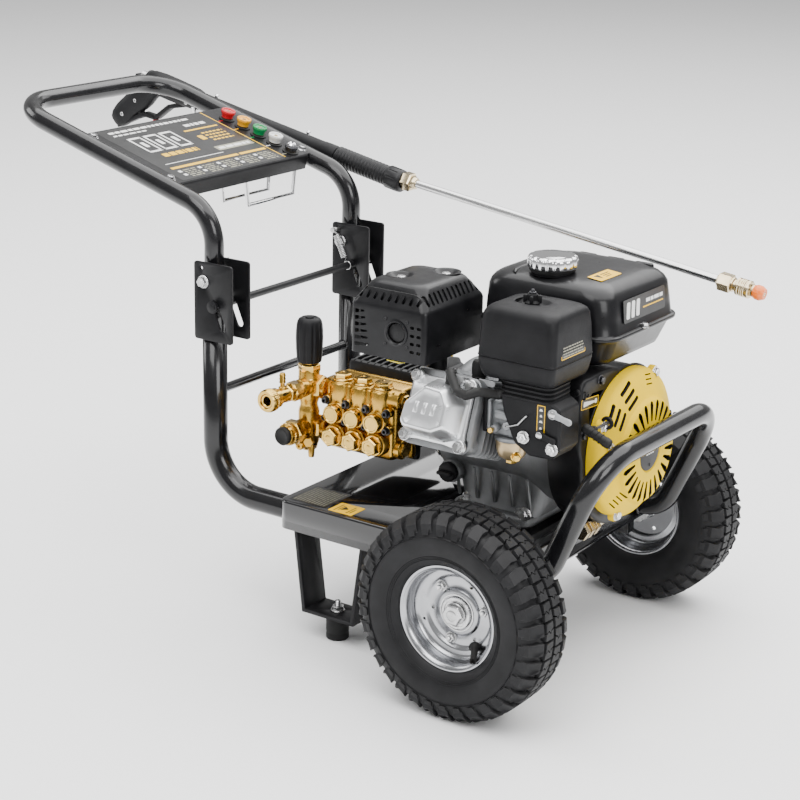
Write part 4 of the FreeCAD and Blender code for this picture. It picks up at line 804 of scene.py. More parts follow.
def bolts():
    """Engine bolts, foot bolts, pivot bolts, spring pins and axle nuts."""
    shape = Shape()
    for x in (-103, -23):
        for y in (-58, 104):
            shape.bolt(7.5, (x, y, TRAY_TOP + 16), Z, head=6, washer=1.2, tip=3.4)
            shape.nut(7.5, 5.6, (x, y, TRAY_TOP - 3.1), -Z, washer=1.0)
            shape.rod(4, 19, (x, y, TRAY_TOP - 2.5), Z, 20)
    for side in (-1, 1):
        out = Y * side
        shape.nut(7.2, 5.5, (STAND_X, side * STAND_Y, 38), Z, washer=1.4)
        shape.thread(4, 7, (STAND_X, side * STAND_Y, 44.5), Z)
        inner, outer = POST_Y - 19, POST_Y + 19
        shape.rod(5, 37.4, (PIVOT_X, side * (inner + 0.2), PIVOT_Z), out, 28)
        shape.bolt(5.8, (PIVOT_X, side * outer, PIVOT_Z), out, head=5.2, washer=1.2)
        shape.nut(6.2, 6.0, (PIVOT_X, side * inner, PIVOT_Z), -out, washer=1.0)
        shape.thread(3.6, 3.5, (PIVOT_X, side * (inner - 7), PIVOT_Z), -out)
        shape.rod(2.5, 19, (SPRING_X, side * (inner - 16.5), SPRING_Z), out, 20)
        shape.lathe([(0, 0), (4.2, 0), (4.6, 0.8), (3.4, 2.2), (0, 2.6)],
                    aim((SPRING_X, side * (inner + 3), SPRING_Z), out), 20)
        shape.lathe([(0, 0), (3.6, 0), (3.6, 1), (0, 1.2)],
                    aim((SPRING_X, side * (inner - 16.2), SPRING_Z), -out), 20)
        end = TRACK / 2 + 10.5
        shape.pipe(13.6, 8.1, 1.8, (0, side * (end - 0.2), TYRE_R), out, 36)
        shape.nut(12, 7.0, (0, side * (end + 1.6), TYRE_R), out)
    piece("machine_bolts", shape, ZINC, "frame", ["frame_bolts"])


def fold_brackets():
    """The slotted plates at the head of the posts, the lock bar and its two springs."""
    dress("fold_brackets", SATIN, soften=0.6)
    dress("lock_bar", SATIN, soften=0.5)
    top, bottom = Vector((SPRING_X, 0, SPRING_Z)), Vector((-426.5, 0, 417.5))
    way = (bottom - top).normalized()
    for side, name in ((-1, "near"), (1, "far")):
        y = side * (POST_Y - 19 - 11.5)
        start = Vector((top.x, y, top.z))
        end = Vector((bottom.x, y, bottom.z))
        across = way.cross(Y).normalized()
        reach = (end - start).length
        coils, wire, coil_r = 15, 0.75, 4.1
        line = []
        eye = 3.2
        for k in range(9):
            angle = math.pi * (0.15 + 1.7 * k / 8)
            line.append(start + way * eye * math.cos(angle) + across * eye * math.sin(angle))
        body_start, body_end = 7.5, reach - 11.5
        for k in range(coils * 14 + 1):
            t = k / (coils * 14)
            angle = TURN * coils * t
            line.append(start + way * (body_start + (body_end - body_start) * t)
                        + across * coil_r * math.sin(angle) + Y * coil_r * math.cos(angle))
        for k in range(9):
            angle = math.pi * (1.7 * k / 8 - 0.35)
            line.append(end - way * 5.9 * math.cos(angle) + across * 5.9 * math.sin(angle))
        shape = Shape().tube(line, wire, 8)
        spring = stretched(f"lock_spring_{name}", shape, ZINC, "lock_springs")


# ---------------------------------------------------------------- wheels

def crown(across):
    """The tread's radius at a place across the tyre."""
    half = TYRE_W / 2
    t = min(1.0, abs(across) / half)
    return TYRE_R - 1.2 * t * t - 17.0 * max(0.0, (t - 0.62) / 0.38) ** 2.2


def lug(shape, outline, pitch_angle, place, depth):
    """A tread block: a flat outline of (angle share, place across) raised from the carcass."""
    flat = []
    for i, (a, w) in enumerate(outline):
        b, v = outline[(i + 1) % len(outline)]
        flat += [(a + (b - a) * k / 3, w + (v - w) * k / 3) for k in range(3)]
    centre = (sum(a for a, w in flat) / len(flat), sum(w for a, w in flat) / len(flat))

    def ring(lift, share):
        points = []
        for a, w in flat:
            a2, w2 = centre[0] + (a - centre[0]) * share, centre[1] + (w - centre[1]) * share
            radius = crown(w2) + lift
            angle = pitch_angle + a2
            points.append(Vector((radius * math.cos(angle), radius * math.sin(angle), w2)))
        return points

    shape.loft([ring(-depth - 3, 1.02), ring(-1.0, 0.985), ring(-0.15, 0.93)], place)
    return shape


def tyre(side):
    """A knobbly pneumatic tyre: two rows of zigzag blocks and a row of shoulder blocks on each side."""
    name = "near" if side < 0 else "far"
    place = aim((0, side * TRACK / 2, TYRE_R), Y * side)
    half, depth = TYRE_W / 2, 6.0
    outer = [(62.5, 26.6), (66.3, 26.8), (66.8, 30.3), (68.5, 32.5), (72, 35.0), (77, 38.2), (84, 41.0),
             (92, half - 0.3), (100, half - 0.4), (106, half - 1.8), (110, half - 3.4)]
    outer += [(crown(w) - depth, w) for w in (half - 6.5, half - 11, half - 17, half - 25, half - 34)]
    inner = [(TYRE_R - 11, 0), (TYRE_R - 13, 20), (106, 31), (92, 35.5), (76, 31.5), (62.5, 22)]
    carcass = outer + [(r, -w) for r, w in reversed(outer)] + [(r, -w)
                                                               for r, w in reversed(inner)] + inner[1:]
    wall = Shape().lathe(carcass, place, 120)
    for k in range(3):
        r = 75.5 + k * 1.9
        y = 37.4 + k * 0.9
        wall.lathe([(r - 0.5, y - 0.6), (r, y + 0.55), (r + 0.5, y - 0.2), (r, y - 1.2)], place, 120)
    wall.lathe([(103.2, half - 2.2), (104.2, half + 0.02), (105.4, half - 2.6), (104, half - 4)], place, 120)
    piece(f"tyre_{name}_wall", wall, SIDEWALL, f"wheel_{name}", [f"tyre_{name}"], sharp=50)

    tread = Shape()
    pitches = 34
    step = TURN / pitches
    for k in range(pitches):
        base = k * step
        for row in (-1, 1):
            shift = base + (step / 2 if row > 0 else 0)
            g = 0.46 * step
            zig = [(0.10, 3.5), (0.02, 8.2), (-0.12, 9.8), (0.06, 14.0), (-0.05, 18.5)]
            first = [(-g, row * 2.2)] + [((z - 0.035) * step, row * (w - 1.3))
                                         for z, w in zig] + [(-g * 0.92, row * 19.0)]
            second = [((z + 0.035) * step, row * (w - 1.3))
                      for z, w in zig] + [(g * 0.92, row * 16.0), (g, row * 2.2)]
            second = [second[-1]] + second[:-1]
            for outline in (first, second):
                lug(tread, outline if row > 0 else outline[::-1], shift, place, depth)
            shoulder = [(-0.36 * step, row * 22.0), (-0.30 * step, row * 31.5),
                        (-0.38 * step, row * (half - 3.0)), (0.30 * step, row * (half - 3.0)),
                        (0.38 * step, row * 31.5), (0.30 * step, row * 22.0)]
            lug(tread, shoulder if row > 0 else shoulder[::-1], shift + step * 0.25, place, depth)
            angle = shift + step * 0.25
            rings = []
            for r, w, grow in ((crown(half - 3) - 1.6, half - 5.2, 1.0), (110.5, half - 1.6, 0.9),
                               (106.5, half - 0.9, 0.8)):
                corners = ((-0.26, -3.0), (-0.26, 0.55), (0.26, 0.55), (0.26, -3.0))
                turns = [angle + share * grow * step for share, lift in corners]
                rings.append([Vector((r * math.cos(turn), r * math.sin(turn), row * (w + lift)))
                              for turn, (share, lift) in zip(turns, corners)])
            tread.loft(rings, place)
    piece(f"tyre_{name}_tread", tread, TYRE, f"wheel_{name}", [f"tyre_{name}"], sharp=30)


def rim(side):
    """The split rim of pressed steel with its hub, bearing, bolts and valve."""
    name = "near" if side < 0 else "far"
    place = aim((0, side * TRACK / 2, TYRE_R), Y * side)

    def spot(radius, angle, lift):
        return place @ Vector((radius * math.cos(angle), radius * math.sin(angle), lift))

    out = Y * side
    sheet = 2.2
    face = [(66.2, 29.6), (65.6, 30.2), (63.8, 30.2), (61.6, 28.6), (60.2, 25), (58.6, 18), (57.6, 11),
            (55.5, 7.6), (52.5, 6.2), (48.5, 6.0), (46.0, 5.0), (44.2, 2.2), (42.4, 1.4), (33, 1.4),
            (30.2, 2.4), (28.6, 5.2), (26.8, 6.4), (20.5, 6.4)]
    back = [(r - (sheet if z > 12 else 0), z - (0 if z > 12 else sheet)) for r, z in reversed(face[2:])]
    shell = [(66.2, 28.2), *face, *back, (63.2, 28.0)]
    pressed = Shape().lathe(shell, place, 120)
    rear = [(r, -z) for r, z in shell[:12]] + [(52.5, -1.0), (22, -1.0), (22, 1.2), (54.8, 1.2), (57.2, -8),
                                               (61, -25.4), (63.2, -28.0)]
    pressed.lathe(rear, place, 120)
    cuts = Shape()
    for k in range(3):
        cuts.rod(2.6, 12, spot(37.5, TURN * (k / 3) + 1.15, -3), out, 20)
    for k in range(2):
        cuts.rod(1.5, 12, spot(50.3, TURN * (k / 2) + 0.4, -2), out, 16)
    body = carve(pressed.mesh(f"rim_{name}"), cuts.mesh("cuts"))
    piece(f"rim_{name}_shell", body, RIM, f"wheel_{name}", [f"rim_{name}"])

    hub = Shape()
    hub.lathe([(8.1, -30), (19, -30), (20, -29), (20, 9), (19.2, 10), (16.8, 10), (16.4, 8.6), (14.9, 8.6),
               (14.6, 9.4), (12.0, 9.4), (11.7, 8.2), (8.1, 8.2)], place, 72)
    hub.lathe([(21.5, 6.2), (23.6, 6.2), (23.2, 7.6), (21.9, 7.6)], place, 72)
    for k in range(3):
        angle = TURN * k / 3 + 0.25
        start = spot(37.0, angle, 1.4)
        hub.pipe(7.2, 3.5, 1.1, start, out, 28, 0.3)
        hub.hexagon(5.2, 5.0, start + out * 1.1, out, bevel=0.2)
        hub.thread(2.9, 2.4, start + out * 6.0, out, 1.0, 18)
    piece(f"rim_{name}_hub", hub, ZINC, f"wheel_{name}", [f"rim_{name}"])

    valve = Shape()
    root, tip = spot(45.0, -0.95, 6.0), spot(59.0, -0.80, 33.5)
    way = (tip - root).normalized()
    reach = (tip - root).length
    valve.lathe([(0, 0), (7.2, 0), (7.4, 2.0), (5.6, 3.4), (4.2, 6), (3.9, reach * 0.62),
                 (3.0, reach * 0.66), (3.0, reach * 0.7), (4.0, reach * 0.72), (4.0, reach - 1.5),
                 (3.2, reach), (0, reach)], aim(root, way), 28,
                lambda p, r,
                h: p * (1 + (0.05 * math.cos(14 * math.atan2(p.y, p.x)) if h > reach * 0.71 else 0)))
    piece(f"rim_{name}_valve", valve, RUBBER, f"wheel_{name}")


def wheels():
    for side in (-1, 1):
        tyre(side)
        rim(side)


# ---------------------------------------------------------------- handle

NORMAL = Vector((math.sin(SLOPE), 0, math.cos(SLOPE)))
FORWARD = Vector((math.cos(SLOPE), 0, -math.sin(SLOPE)))
PANEL_BACK, PANEL_FRONT = -672.0, -510.0
PANEL_TOP = 9.0
NOZZLE_Y, NOZZLE_FIRST, NOZZLE_STEP = 112.0, -639.0, 28.5


def on_slope(x, y, lift):
    """A place above the sloping handle's centre line, measured along its normal."""
    return Vector((x, y, KNEE_Z - (x - POST_X) * math.tan(SLOPE))) + NORMAL * lift


def panel_place(x, y, lift):
    """A placement on the panel: X forwards along the slope, Y across, Z along its normal."""
    return aim(on_slope(x, y, lift), NORMAL, FORWARD)


def nozzle_panel():
    """The sheet panel that holds the nozzles, with its screws."""
    length = (PANEL_FRONT - PANEL_BACK) / math.cos(SLOPE)
    half = POST_Y - 4
    sheet = Shape()
    centre = (PANEL_BACK + PANEL_FRONT) / 2
    corners = oblong(-length / 2, -half, length / 2 - 1.5, half)
    sheet.prism(rounded_polygon(corners, [7, 2, 2, 7]), 2.4, panel_place(centre, 0, PANEL_TOP - 2.4),
                edge=0.5)
    profile = [Vector((length / 2 - 4, 0, PANEL_TOP - 1.2))]
    profile += [Vector((length / 2 - 4 + 3.2 * math.sin(a), 0, PANEL_TOP - 4.4 + 3.2 * math.cos(a)))
                for a in (math.radians(15 * k) for k in range(1, 7))]
    profile.append(Vector((length / 2 - 0.8, 0, -13)))
    place = aim(on_slope(centre, 0, 0), NORMAL, FORWARD)
    line = [place @ p for p in profile]
    sheet.strip(line, Y, 2 * (POST_Y - 12.7) - 3, 2.4)
    holes = Shape()
    for k in range(5):
        holes.rod(8.9, 20, on_slope(NOZZLE_FIRST + k * NOZZLE_STEP, NOZZLE_Y, 0), NORMAL, 40)
    body = carve(sheet.mesh("nozzle_panel"), holes.mesh("holes"))
    piece("panel_sheet", body, SATIN, "handle", ["nozzle_panel"], soften=0.3)
    bolts = Shape()
    for x in (PANEL_BACK + 12, PANEL_FRONT - 16):
        for side in (-1, 1):
            bolts.bolt(5.0, on_slope(x, side * (POST_Y - 9), PANEL_TOP), NORMAL, head=3.6, washer=0.9)
    piece("panel_screws", bolts, CHROME, "handle")


def panel_artwork():
    """Plain bars, blocks and rules where a maker would print the panel."""
    length = (PANEL_FRONT - PANEL_BACK) / math.cos(SLOPE)
    near, far = -POST_Y + 22, POST_Y - 6

    def strip(shape, back, front, low, high, corner=0.0, lift=0.0):
        """A printed patch from shares of the panel's length and width."""
        x0, x1 = PANEL_BACK + (PANEL_FRONT - PANEL_BACK) * back, PANEL_BACK + (PANEL_FRONT
                                                                               - PANEL_BACK) * front
        y0, y1 = near + (far - near) * low, near + (far - near) * high
        place = panel_place((x0 + x1) / 2, (y0 + y1) / 2, PANEL_TOP + 0.03 + lift)
        a, b = (front - back) * length / 2, (y1 - y0) / 2
        corners = oblong(-a, -b, a, b)
        shape.prism(rounded_polygon(corners, corner, 3) if corner else corners, 0.1, place)

    def dashes(shape, back, front, low, high, longest=0.05, lift=0.1):
        """A row of short marks of uneven length."""
        at = low
        while at < high - 0.004:
            run = min(random.uniform(0.012, longest), high - at)
            strip(shape, back, front, at, at + run, lift=lift)
            at += run + 0.009

    ground = Shape()
    strip(ground, 0.02, 0.965, 0.0, 0.80, 2)
    piece("panel_print_ground", ground, PRINT_BLACK, "handle")
    white, yellow, grey = Shape(), Shape(), Shape()
    dashes(white, 0.065, 0.095, 0.06, 0.66)
    dashes(white, 0.125, 0.145, 0.06, 0.30)
    for k in range(3):
        low, high = 0.10 + 0.115 * k, 0.10 + 0.115 * k + 0.095
        for back, front, a, b in ((0.21, 0.235, low, high), (0.455, 0.48, low, high),
                                  (0.21, 0.48, low, low + 0.012), (0.21, 0.48, high - 0.012, high)):
            strip(white, back, front, a, b, lift=0.1)
        strip(white, 0.30, 0.39, low + 0.035, high - 0.035, 2, lift=0.1)
    dashes(yellow, 0.53, 0.585, 0.14, 0.40, 0.07)
    dashes(white, 0.16, 0.20, 0.56, 0.72)
    strip(yellow, 0.255, 0.275, 0.50, 0.76, lift=0.1)
    for row in range(4):
        dashes(yellow, 0.335 + row * 0.045, 0.355 + row * 0.045, 0.58, 0.74, 0.03)
    strip(yellow, 0.37, 0.45, 0.52, 0.56, 2, lift=0.1)
    strip(grey, 0.585, 0.66, 0.50, 0.78, 2, lift=0.05)
    dashes(white, 0.605, 0.64, 0.52, 0.76, 0.06, lift=0.16)
    strip(white, 0.69, 0.698, 0.06, 0.50, lift=0.1)
    strip(yellow, 0.755, 0.785, 0.05, 0.56, lift=0.1)
    strip(yellow, 0.755, 0.785, 0.575, 0.78, lift=0.1)
    for column in range(5):
        low = 0.06 + column * 0.145
        for row in range(5):
            dashes(grey, 0.82 + row * 0.027, 0.832 + row * 0.027, low + 0.035, low + 0.125, 0.05)
        for row in range(2):
            strip(white, 0.82 + row * 0.06, 0.85 + row * 0.06, low, low + 0.022, lift=0.1)
    strip(yellow, 0.02, 0.965, 0.797, 0.803, lift=0.1)
    piece("panel_print_white", white, PRINT_WHITE, "handle")
    piece("panel_print_yellow", yellow, PRINT_YELLOW, "handle")
    piece("panel_print_grey", grey, PRINT_GREY, "handle")
    marks = (("red", RED), ("yellow", ORANGE_YELLOW), ("green", GREEN), ("white", PRINT_WHITE),
             ("grey", PRINT_GREY))
    for k, (colour, material) in enumerate(marks):
        x = NOZZLE_FIRST + k * NOZZLE_STEP
        tick = Shape()
        for start, run in ((93, 5.5), (99.5, 2.6)):
            tick.block((-2.2, 0, 0), (-0.2, run, 0.12), 0.03,
                       panel_place(x + 3, start - 1.5, PANEL_TOP + 0.03))
        piece(f"nozzle_mark_{colour}", tick, material, "handle")


def nozzles():
    """The rubber sockets and the five spare nozzles in them."""
    grommets = Shape()
    for k in range(5):
        place = panel_place(NOZZLE_FIRST + k * NOZZLE_STEP, NOZZLE_Y, PANEL_TOP - 3)
        outline = [(5.65, -3), (9.6, -3), (10.5, -2.4), (10.5, -0.6), (9.9, 0.2), (8.9, 0.2), (8.9, 3.1),
                   (10.6, 3.1), (11.4, 3.6), (11.4, 4.4), (10.4, 5.0), (7.4, 5.0), (6.6, 4.6), (5.65, 4.6)]
        grommets.lathe(outline, place, 48)
    piece("grommets", grommets, RUBBER, "handle", ["nozzle_grommets"])
    heads = (("red", RED), ("yellow", ORANGE_YELLOW), ("green", GREEN), ("white", WHITE), ("black", None))
    for k, (colour, material) in enumerate(heads):
        place = panel_place(NOZZLE_FIRST + k * NOZZLE_STEP, NOZZLE_Y, PANEL_TOP - 3)
        stem = Shape()
        stem.lathe([(0, -11.9), (2.2, -11.9), (2.2, -10), (4.2, -11.9), (5.1, -11.4), (5.5, -10.6),
                    (5.5, -6), (4.7, -5.4), (4.7, -3.6), (5.55, -3), (5.55, 5.4), (7.6, 5.4), (7.9, 5.8),
                    (7.9, 7), (0, 7)], place, 48)
        shape = Shape()
        if material:
            stem.lathe([(0, 12.8), (2.6, 12.8), (2.6, 15.6), (1.2, 15.6), (0.9, 14.8), (0, 14.8)], place, 24)
            shape.lathe([(0, 6.4), (8.1, 6.4), (8.2, 8.8), (9.8, 12.6), (10.2, 13.2), (10.3, 15.8),
                         (9.8, 16.7), (8.6, 17.0), (7.4, 16.6), (6.8, 15.2), (3.4, 14.6), (3.0, 14.2),
                         (3.0, 14.0), (0, 14.0)], place,
                        72, grooved(18, 0.045, lambda r, h: 12.0 < h < 16.2 and r > 9))
            piece(f"nozzle_{colour}_head", shape, material, f"nozzle_{colour}",
                  [f"nozzle_{colour}"], sharp=45)
        else:
            shape.lathe([(0, 6.4), (8.1, 6.4), (8.2, 8.6), (9.4, 9.6), (9.6, 11.4), (8.6, 12.4),
                         (8.6, 13.4), (6.0, 14.0), (0, 14.0)],
                        place, 48)
            piece("nozzle_black_head", shape, BLUED, "nozzle_black", ["nozzle_black"])
            chip = Shape()
            for spin in (0.4, 1.5, 2.7, 3.9, 5.1):
                way = place.to_3x3() @ Vector((math.cos(spin), math.sin(spin), 0.9))
                chip.rod(2.2, 4.2, place @ Vector((2.8 * math.cos(spin), 2.8 * math.sin(spin), 12.6)), way,
                         16)
            piece("nozzle_black_jets", chip, CHROME, "nozzle_black")
        piece(f"nozzle_{colour}_stem", stem, BRONZE, f"nozzle_{colour}", [f"nozzle_{colour}"])


def hooks():
    """Two hose hooks with flanged ends and two cradles that carry the gun."""
    shape = Shape()
    for x in (PANEL_FRONT - 14, PANEL_FRONT - 58):
        top = on_slope(x, 0, 5.6).z
        line = bent([(x, 12, top), (x, 12, 497), (x, 128, 497), (x, 128, top)], [9, 9], 8)
        shape.tube(line, 3.0, 20)
        for y in (12, 128):
            shape.lathe([(3.0, 0), (6.5, 0), (6.9, 0.5), (6.5, 1.0), (3.0, 1.0)],
                        aim((x, y, top - 1.6), NORMAL), 32)
    for x in (-560, -730):
        low = gun_height(x) - 30
        top = on_slope(x, 0, 0).z - 14.2
        line = bent([(x, POST_Y, top), (x, POST_Y, low), (x, GUN_Y + 22, low),
                     (x, GUN_Y + 22, gun_height(x) + 8)], [6, 8], 8)
        shape.tube(line, 3.0, 20)
        shape.ball(3.4, (x, GUN_Y + 22, gun_height(x) + 8), 10)
    piece("hook_wires", shape, CHROME, "handle", ["wire_hooks"])


def handle():
    dress("handle_tube", PAINT, soften=0)
    nozzle_panel()
    panel_artwork()
    nozzles()
    hooks()


# ---------------------------------------------------------------- spray gun

def gun_height(x):
    """Height of the gun's axis over a place along X."""
    return 597.0 - (x + 700.0) * math.tan(GUN_SLOPE)


GUN_WAY = Vector((math.cos(GUN_SLOPE), 0, -math.sin(GUN_SLOPE)))
GUN_UP = Vector((math.sin(GUN_SLOPE), 0, math.cos(GUN_SLOPE)))
LANCE_WAY = Vector((math.cos(LANCE_SLOPE), 0, -math.sin(LANCE_SLOPE)))
LANCE_START = Vector((-366.0, GUN_Y, 533.5))
LANCE_END = 484.0


def on_gun(along, up=0.0, across=0.0):
    """A place on the gun, counted forwards from its reference point on the barrel's axis."""
    return Vector((-700, GUN_Y + across, 597)) + GUN_WAY * along + GUN_UP * up


def gun_loft(shape, stations):
    """A moulded body through sections: (along, middle height, half height, half width, squareness)."""
    rings = []
    for along, up, tall, wide, square in stations:
        ring = []
        for k in range(32):
            angle = TURN * k / 32
            c, s = math.cos(angle), math.sin(angle)
            power = 2 / square
            ring.append(on_gun(along, up + tall * math.copysign(abs(s) ** power, s),
                               wide * math.copysign(abs(c) ** power, c)))
        rings.append(ring)
    shape.loft(rings)


def gun_shell():
    """The moulded body, the grip with its finger waves, the trigger guard and the barrel."""
    shell = Shape()
    gun_loft(shell, [(-146, 3, 6, 7, 2.4), (-144, 3, 11, 11, 2.6), (-138, 2, 15, 13.5, 2.8),
                     (-120, 1, 17, 14.5, 3.0), (-96, 0.5, 17, 14.5, 3.0), (-70, 0, 16.5, 14.2, 2.8),
                     (-52, 0, 15.5, 13.8, 2.6), (-44, 0, 14, 13.2, 2.2), (-42, 0, 13, 12.8, 2.0)])
    line = [on_gun(-128 - 3, 4), on_gun(-150, -22), on_gun(-176, -52), on_gun(-196, -78)]
    rings = []
    for k in range(15):
        t = k / 14
        seg = min(int(t * 3), 2)
        local = t * 3 - seg
        here = line[seg].lerp(line[seg + 1], local)
        way = (line[3] - line[0]).normalized()
        side = way.cross(Y).normalized()
        swell = 1 + 0.10 * math.sin(math.pi * t) + 0.05 * math.cos(TURN * 2.5 * t) * (1 if t > 0.2 else 0)
        deep, wide = (19 - 3.5 * t) * swell, 12.6 * (1 + 0.05 * math.sin(math.pi * t))
        if k == 14:
            deep, wide = deep * 0.86, wide * 0.8
        rings.append([here + side * deep * math.copysign(abs(math.sin(a)) ** 0.8, math.sin(a))
                      + Y * wide * math.copysign(abs(math.cos(a)) ** 0.8, math.cos(a))
                      for a in (TURN * i / 32 for i in range(32))])
    shell.loft(rings)
    guard = [on_gun(-58, -10), on_gun(-72, -40), on_gun(-100, -78), on_gun(-140, -92), on_gun(-190, -84)]
    smooth = bent(guard, [30, 34, 40], 8)
    shell.strip(smooth, Y, 15, 6.0)
    barrel = [(0, 0), (13, 0), (13.2, 2), (12.9, 30), (12.4, 90), (12.4, 226), (13.1, 236), (13.2, 250),
              (12.2, 254), (0, 254)]
    shell.lathe(barrel, aim(on_gun(-42), GUN_WAY), 48)
    piece("gun_shell", shell, PLASTIC, "gun", ["gun_body"], sharp=50)


def gun_details():
    """The gun's screws, its red safety latch and its trigger."""
    trim = Shape()
    for along, up in ((-136, 6), (-112, -7), (-84, 8), (-60, -6), (-158, -34), (-180, -62)):
        for side in (-1, 1):
            trim.lathe([(0, 0), (3.1, 0), (3.3, 0.6), (2.7, 1.3), (1.3, 1.3), (1.1, 0.5), (0, 0.5)],
                       aim(on_gun(along, up, side * (13.6 if up > -20 else 12.0)), Y * side), 20)
    trim.rod(2.0, 24, on_gun(-98.6, -3.2, -12), Y, 20)
    trim.pipe(8.2, 4.6, 12, on_gun(-146, 3), -GUN_WAY, 32)
    piece("gun_screws", trim, ZINC, "gun")

    latch = Shape()
    latch.bar((5, 9, 16), on_gun(-118, -58), Matrix.Rotation(math.radians(-50), 4, "Y"), 1.2)
    piece("gun_latch", latch, RED, "gun")

    blade = Shape()
    pull = bent([on_gun(-97, -6), on_gun(-104, -18), on_gun(-128, -42), on_gun(-150, -60)], [20, 60], 8)
    blade.strip(pull, Y, 11, 5.5)
    blade.rod(4.6, 12.4, on_gun(-98.6, -3.2, -6.2), Y, 28)
    piece("trigger_blade", blade, GRIP, "gun_trigger", ["gun_trigger"], sharp=50)


def gun_sleeve():
    """The ribbed sleeve that the other hand holds, with slots round its thick end."""
    sleeve = Shape()
    ribs, pitch = 16, 5.6
    outline = [(12.6, 0)]
    for k in range(ribs):
        z = k * pitch
        outline += [(13.2, z + 0.3), (14.1, z + 0.9), (14.3, z + 2.2), (14.1, z + 3.4), (12.9, z + 4.2),
                    (12.7, z + 5.0)]
    end = ribs * pitch
    outline += [(15.0, end + 0.2), (16.0, end + 1.4), (16.0, end + 20), (15.2, end + 24.5),
                (13.6, end + 26), (9.2, end + 26), (9.2, end + 22), (12.6, end - 4)]
    sleeve.lathe(outline, aim(on_gun(214), GUN_WAY), 64)
    slots = Shape()
    for k in range(10):
        turn = TURN * k / 10
        way = GUN_UP * math.cos(turn) + Y * math.sin(turn)
        place = aim(on_gun(214 + end + 11.5) + way * 16.4, way, GUN_WAY)
        slots.block((-7.5, -1.5, -1.4), (7.5, 1.5, 1.4), 0.6, place)
    body = carve(sleeve.mesh("sleeve"), slots.mesh("slots"))
    piece("gun_fore_grip", body, GRIP, "gun", ["gun_sleeve"], sharp=50)


def gun():
    gun_shell()
    gun_details()
    gun_sleeve()


def lance():
    """The lance's tube, its nut and base, and the quick coupling with its nozzle."""
    tube = Shape()
    tube.rod(5.5, LANCE_END, LANCE_START, LANCE_WAY, 40)
    piece("lance_tube", tube, STAINLESS, "gun", ["lance"])

    def along(distance):
        return LANCE_START + LANCE_WAY * distance

    brass = Shape()
    brass.rod(9, 12, along(-20), LANCE_WAY, 36)
    brass.hexagon(11.8, 13, along(-9), LANCE_WAY, bevel=0.12)
    brass.lathe([(0, 0), (10, 0), (10.2, 1.4), (8.6, 2.6), (8.4, 5.0), (7.2, 7.6), (5.6, 8.0), (0, 8)],
                aim(along(4), LANCE_WAY), 40)
    brass.lathe([(0, 0), (7.2, 0), (8.4, 1.2), (8.4, 3), (0, 3)], aim(along(LANCE_END - 5), LANCE_WAY), 40)
    brass.hexagon(10.8, 17, along(LANCE_END - 2), LANCE_WAY, bevel=0.1)
    brass.lathe([(5.7, 0), (9.4, 0), (9.4, 2.6), (7.2, 3.4), (7.2, 25.6), (6.9, 26.2), (5.7, 26.2)],
                aim(along(LANCE_END + 14.9), LANCE_WAY), 40)
    piece("lance_fittings", brass, BRONZE, "gun", ["lance"])

    sleeve = Shape()
    start = LANCE_END + 22.5
    sleeve.lathe([(7.4, 0.2), (10.4, 0), (11.4, 0.9), (11.4, 3.4), (10.7, 4.2), (10.7, 5.2), (11.5, 6),
                  (11.5, 7.2), (11.0, 7.8), (11.5, 8.4), (11.5, 9.6), (11.0, 10.2), (11.5, 10.8),
                  (11.5, 12), (10.7, 12.8), (10.7, 14), (11.4, 14.8), (11.4, 17.6), (10.4, 18.8),
                  (7.4, 18.8)],
                 aim(along(start), LANCE_WAY), 56)
    piece("tip_release_sleeve", sleeve, BRONZE, "tip_sleeve", ["tip_sleeve"])

    stem, head = Shape(), Shape()
    place = aim(along(LANCE_END + 26.5), LANCE_WAY)
    stem.lathe([(0, 0), (5.3, 0), (5.55, 0.4), (5.55, 16.2), (7.8, 16.2), (8, 16.6), (8, 19.8), (0, 19.8)],
               place, 40)
    stem.lathe([(0, 31.2), (2.4, 31.2), (2.4, 33.8), (1.0, 33.8), (0.8, 33), (0, 33)], place, 24)
    head.lathe([(0, 19.4), (8.1, 19.4), (8.3, 20.6), (9.4, 22.8), (9.6, 23.4), (9.6, 28.4), (9.0, 29.6),
                (7.4, 33), (6.8, 34), (3.2, 34), (2.8, 33.2), (2.8, 32), (0, 32)], place, 64,
               grooved(16, 0.05, lambda r, h: 22 < h < 29 and r > 9))
    piece("tip_nozzle_stem", stem, BRONZE, "tip_nozzle", ["tip_nozzle"])
    piece("tip_nozzle_head", head, ORANGE, "tip_nozzle", ["tip_nozzle"], sharp=45)


# ---------------------------------------------------------------- engine

def tilted(x, outward, up):
    """A place on the inclined cylinder: along X, outwards from the crankshaft, and up across it."""
    c, s = math.cos(CYLINDER_TILT), math.sin(CYLINDER_TILT)
    return Vector((CYLINDER_X + x, CRANK.y - c * outward + s * up, CRANK.z + s * outward + c * up))


OUTWARD = Vector((0, -math.cos(CYLINDER_TILT), math.sin(CYLINDER_TILT)))
TILT_PLACE = aim((CYLINDER_X, CRANK.y, CRANK.z), OUTWARD, X)


def shift(z):
    """A move along Z."""
    return Matrix.Translation((0, 0, z))


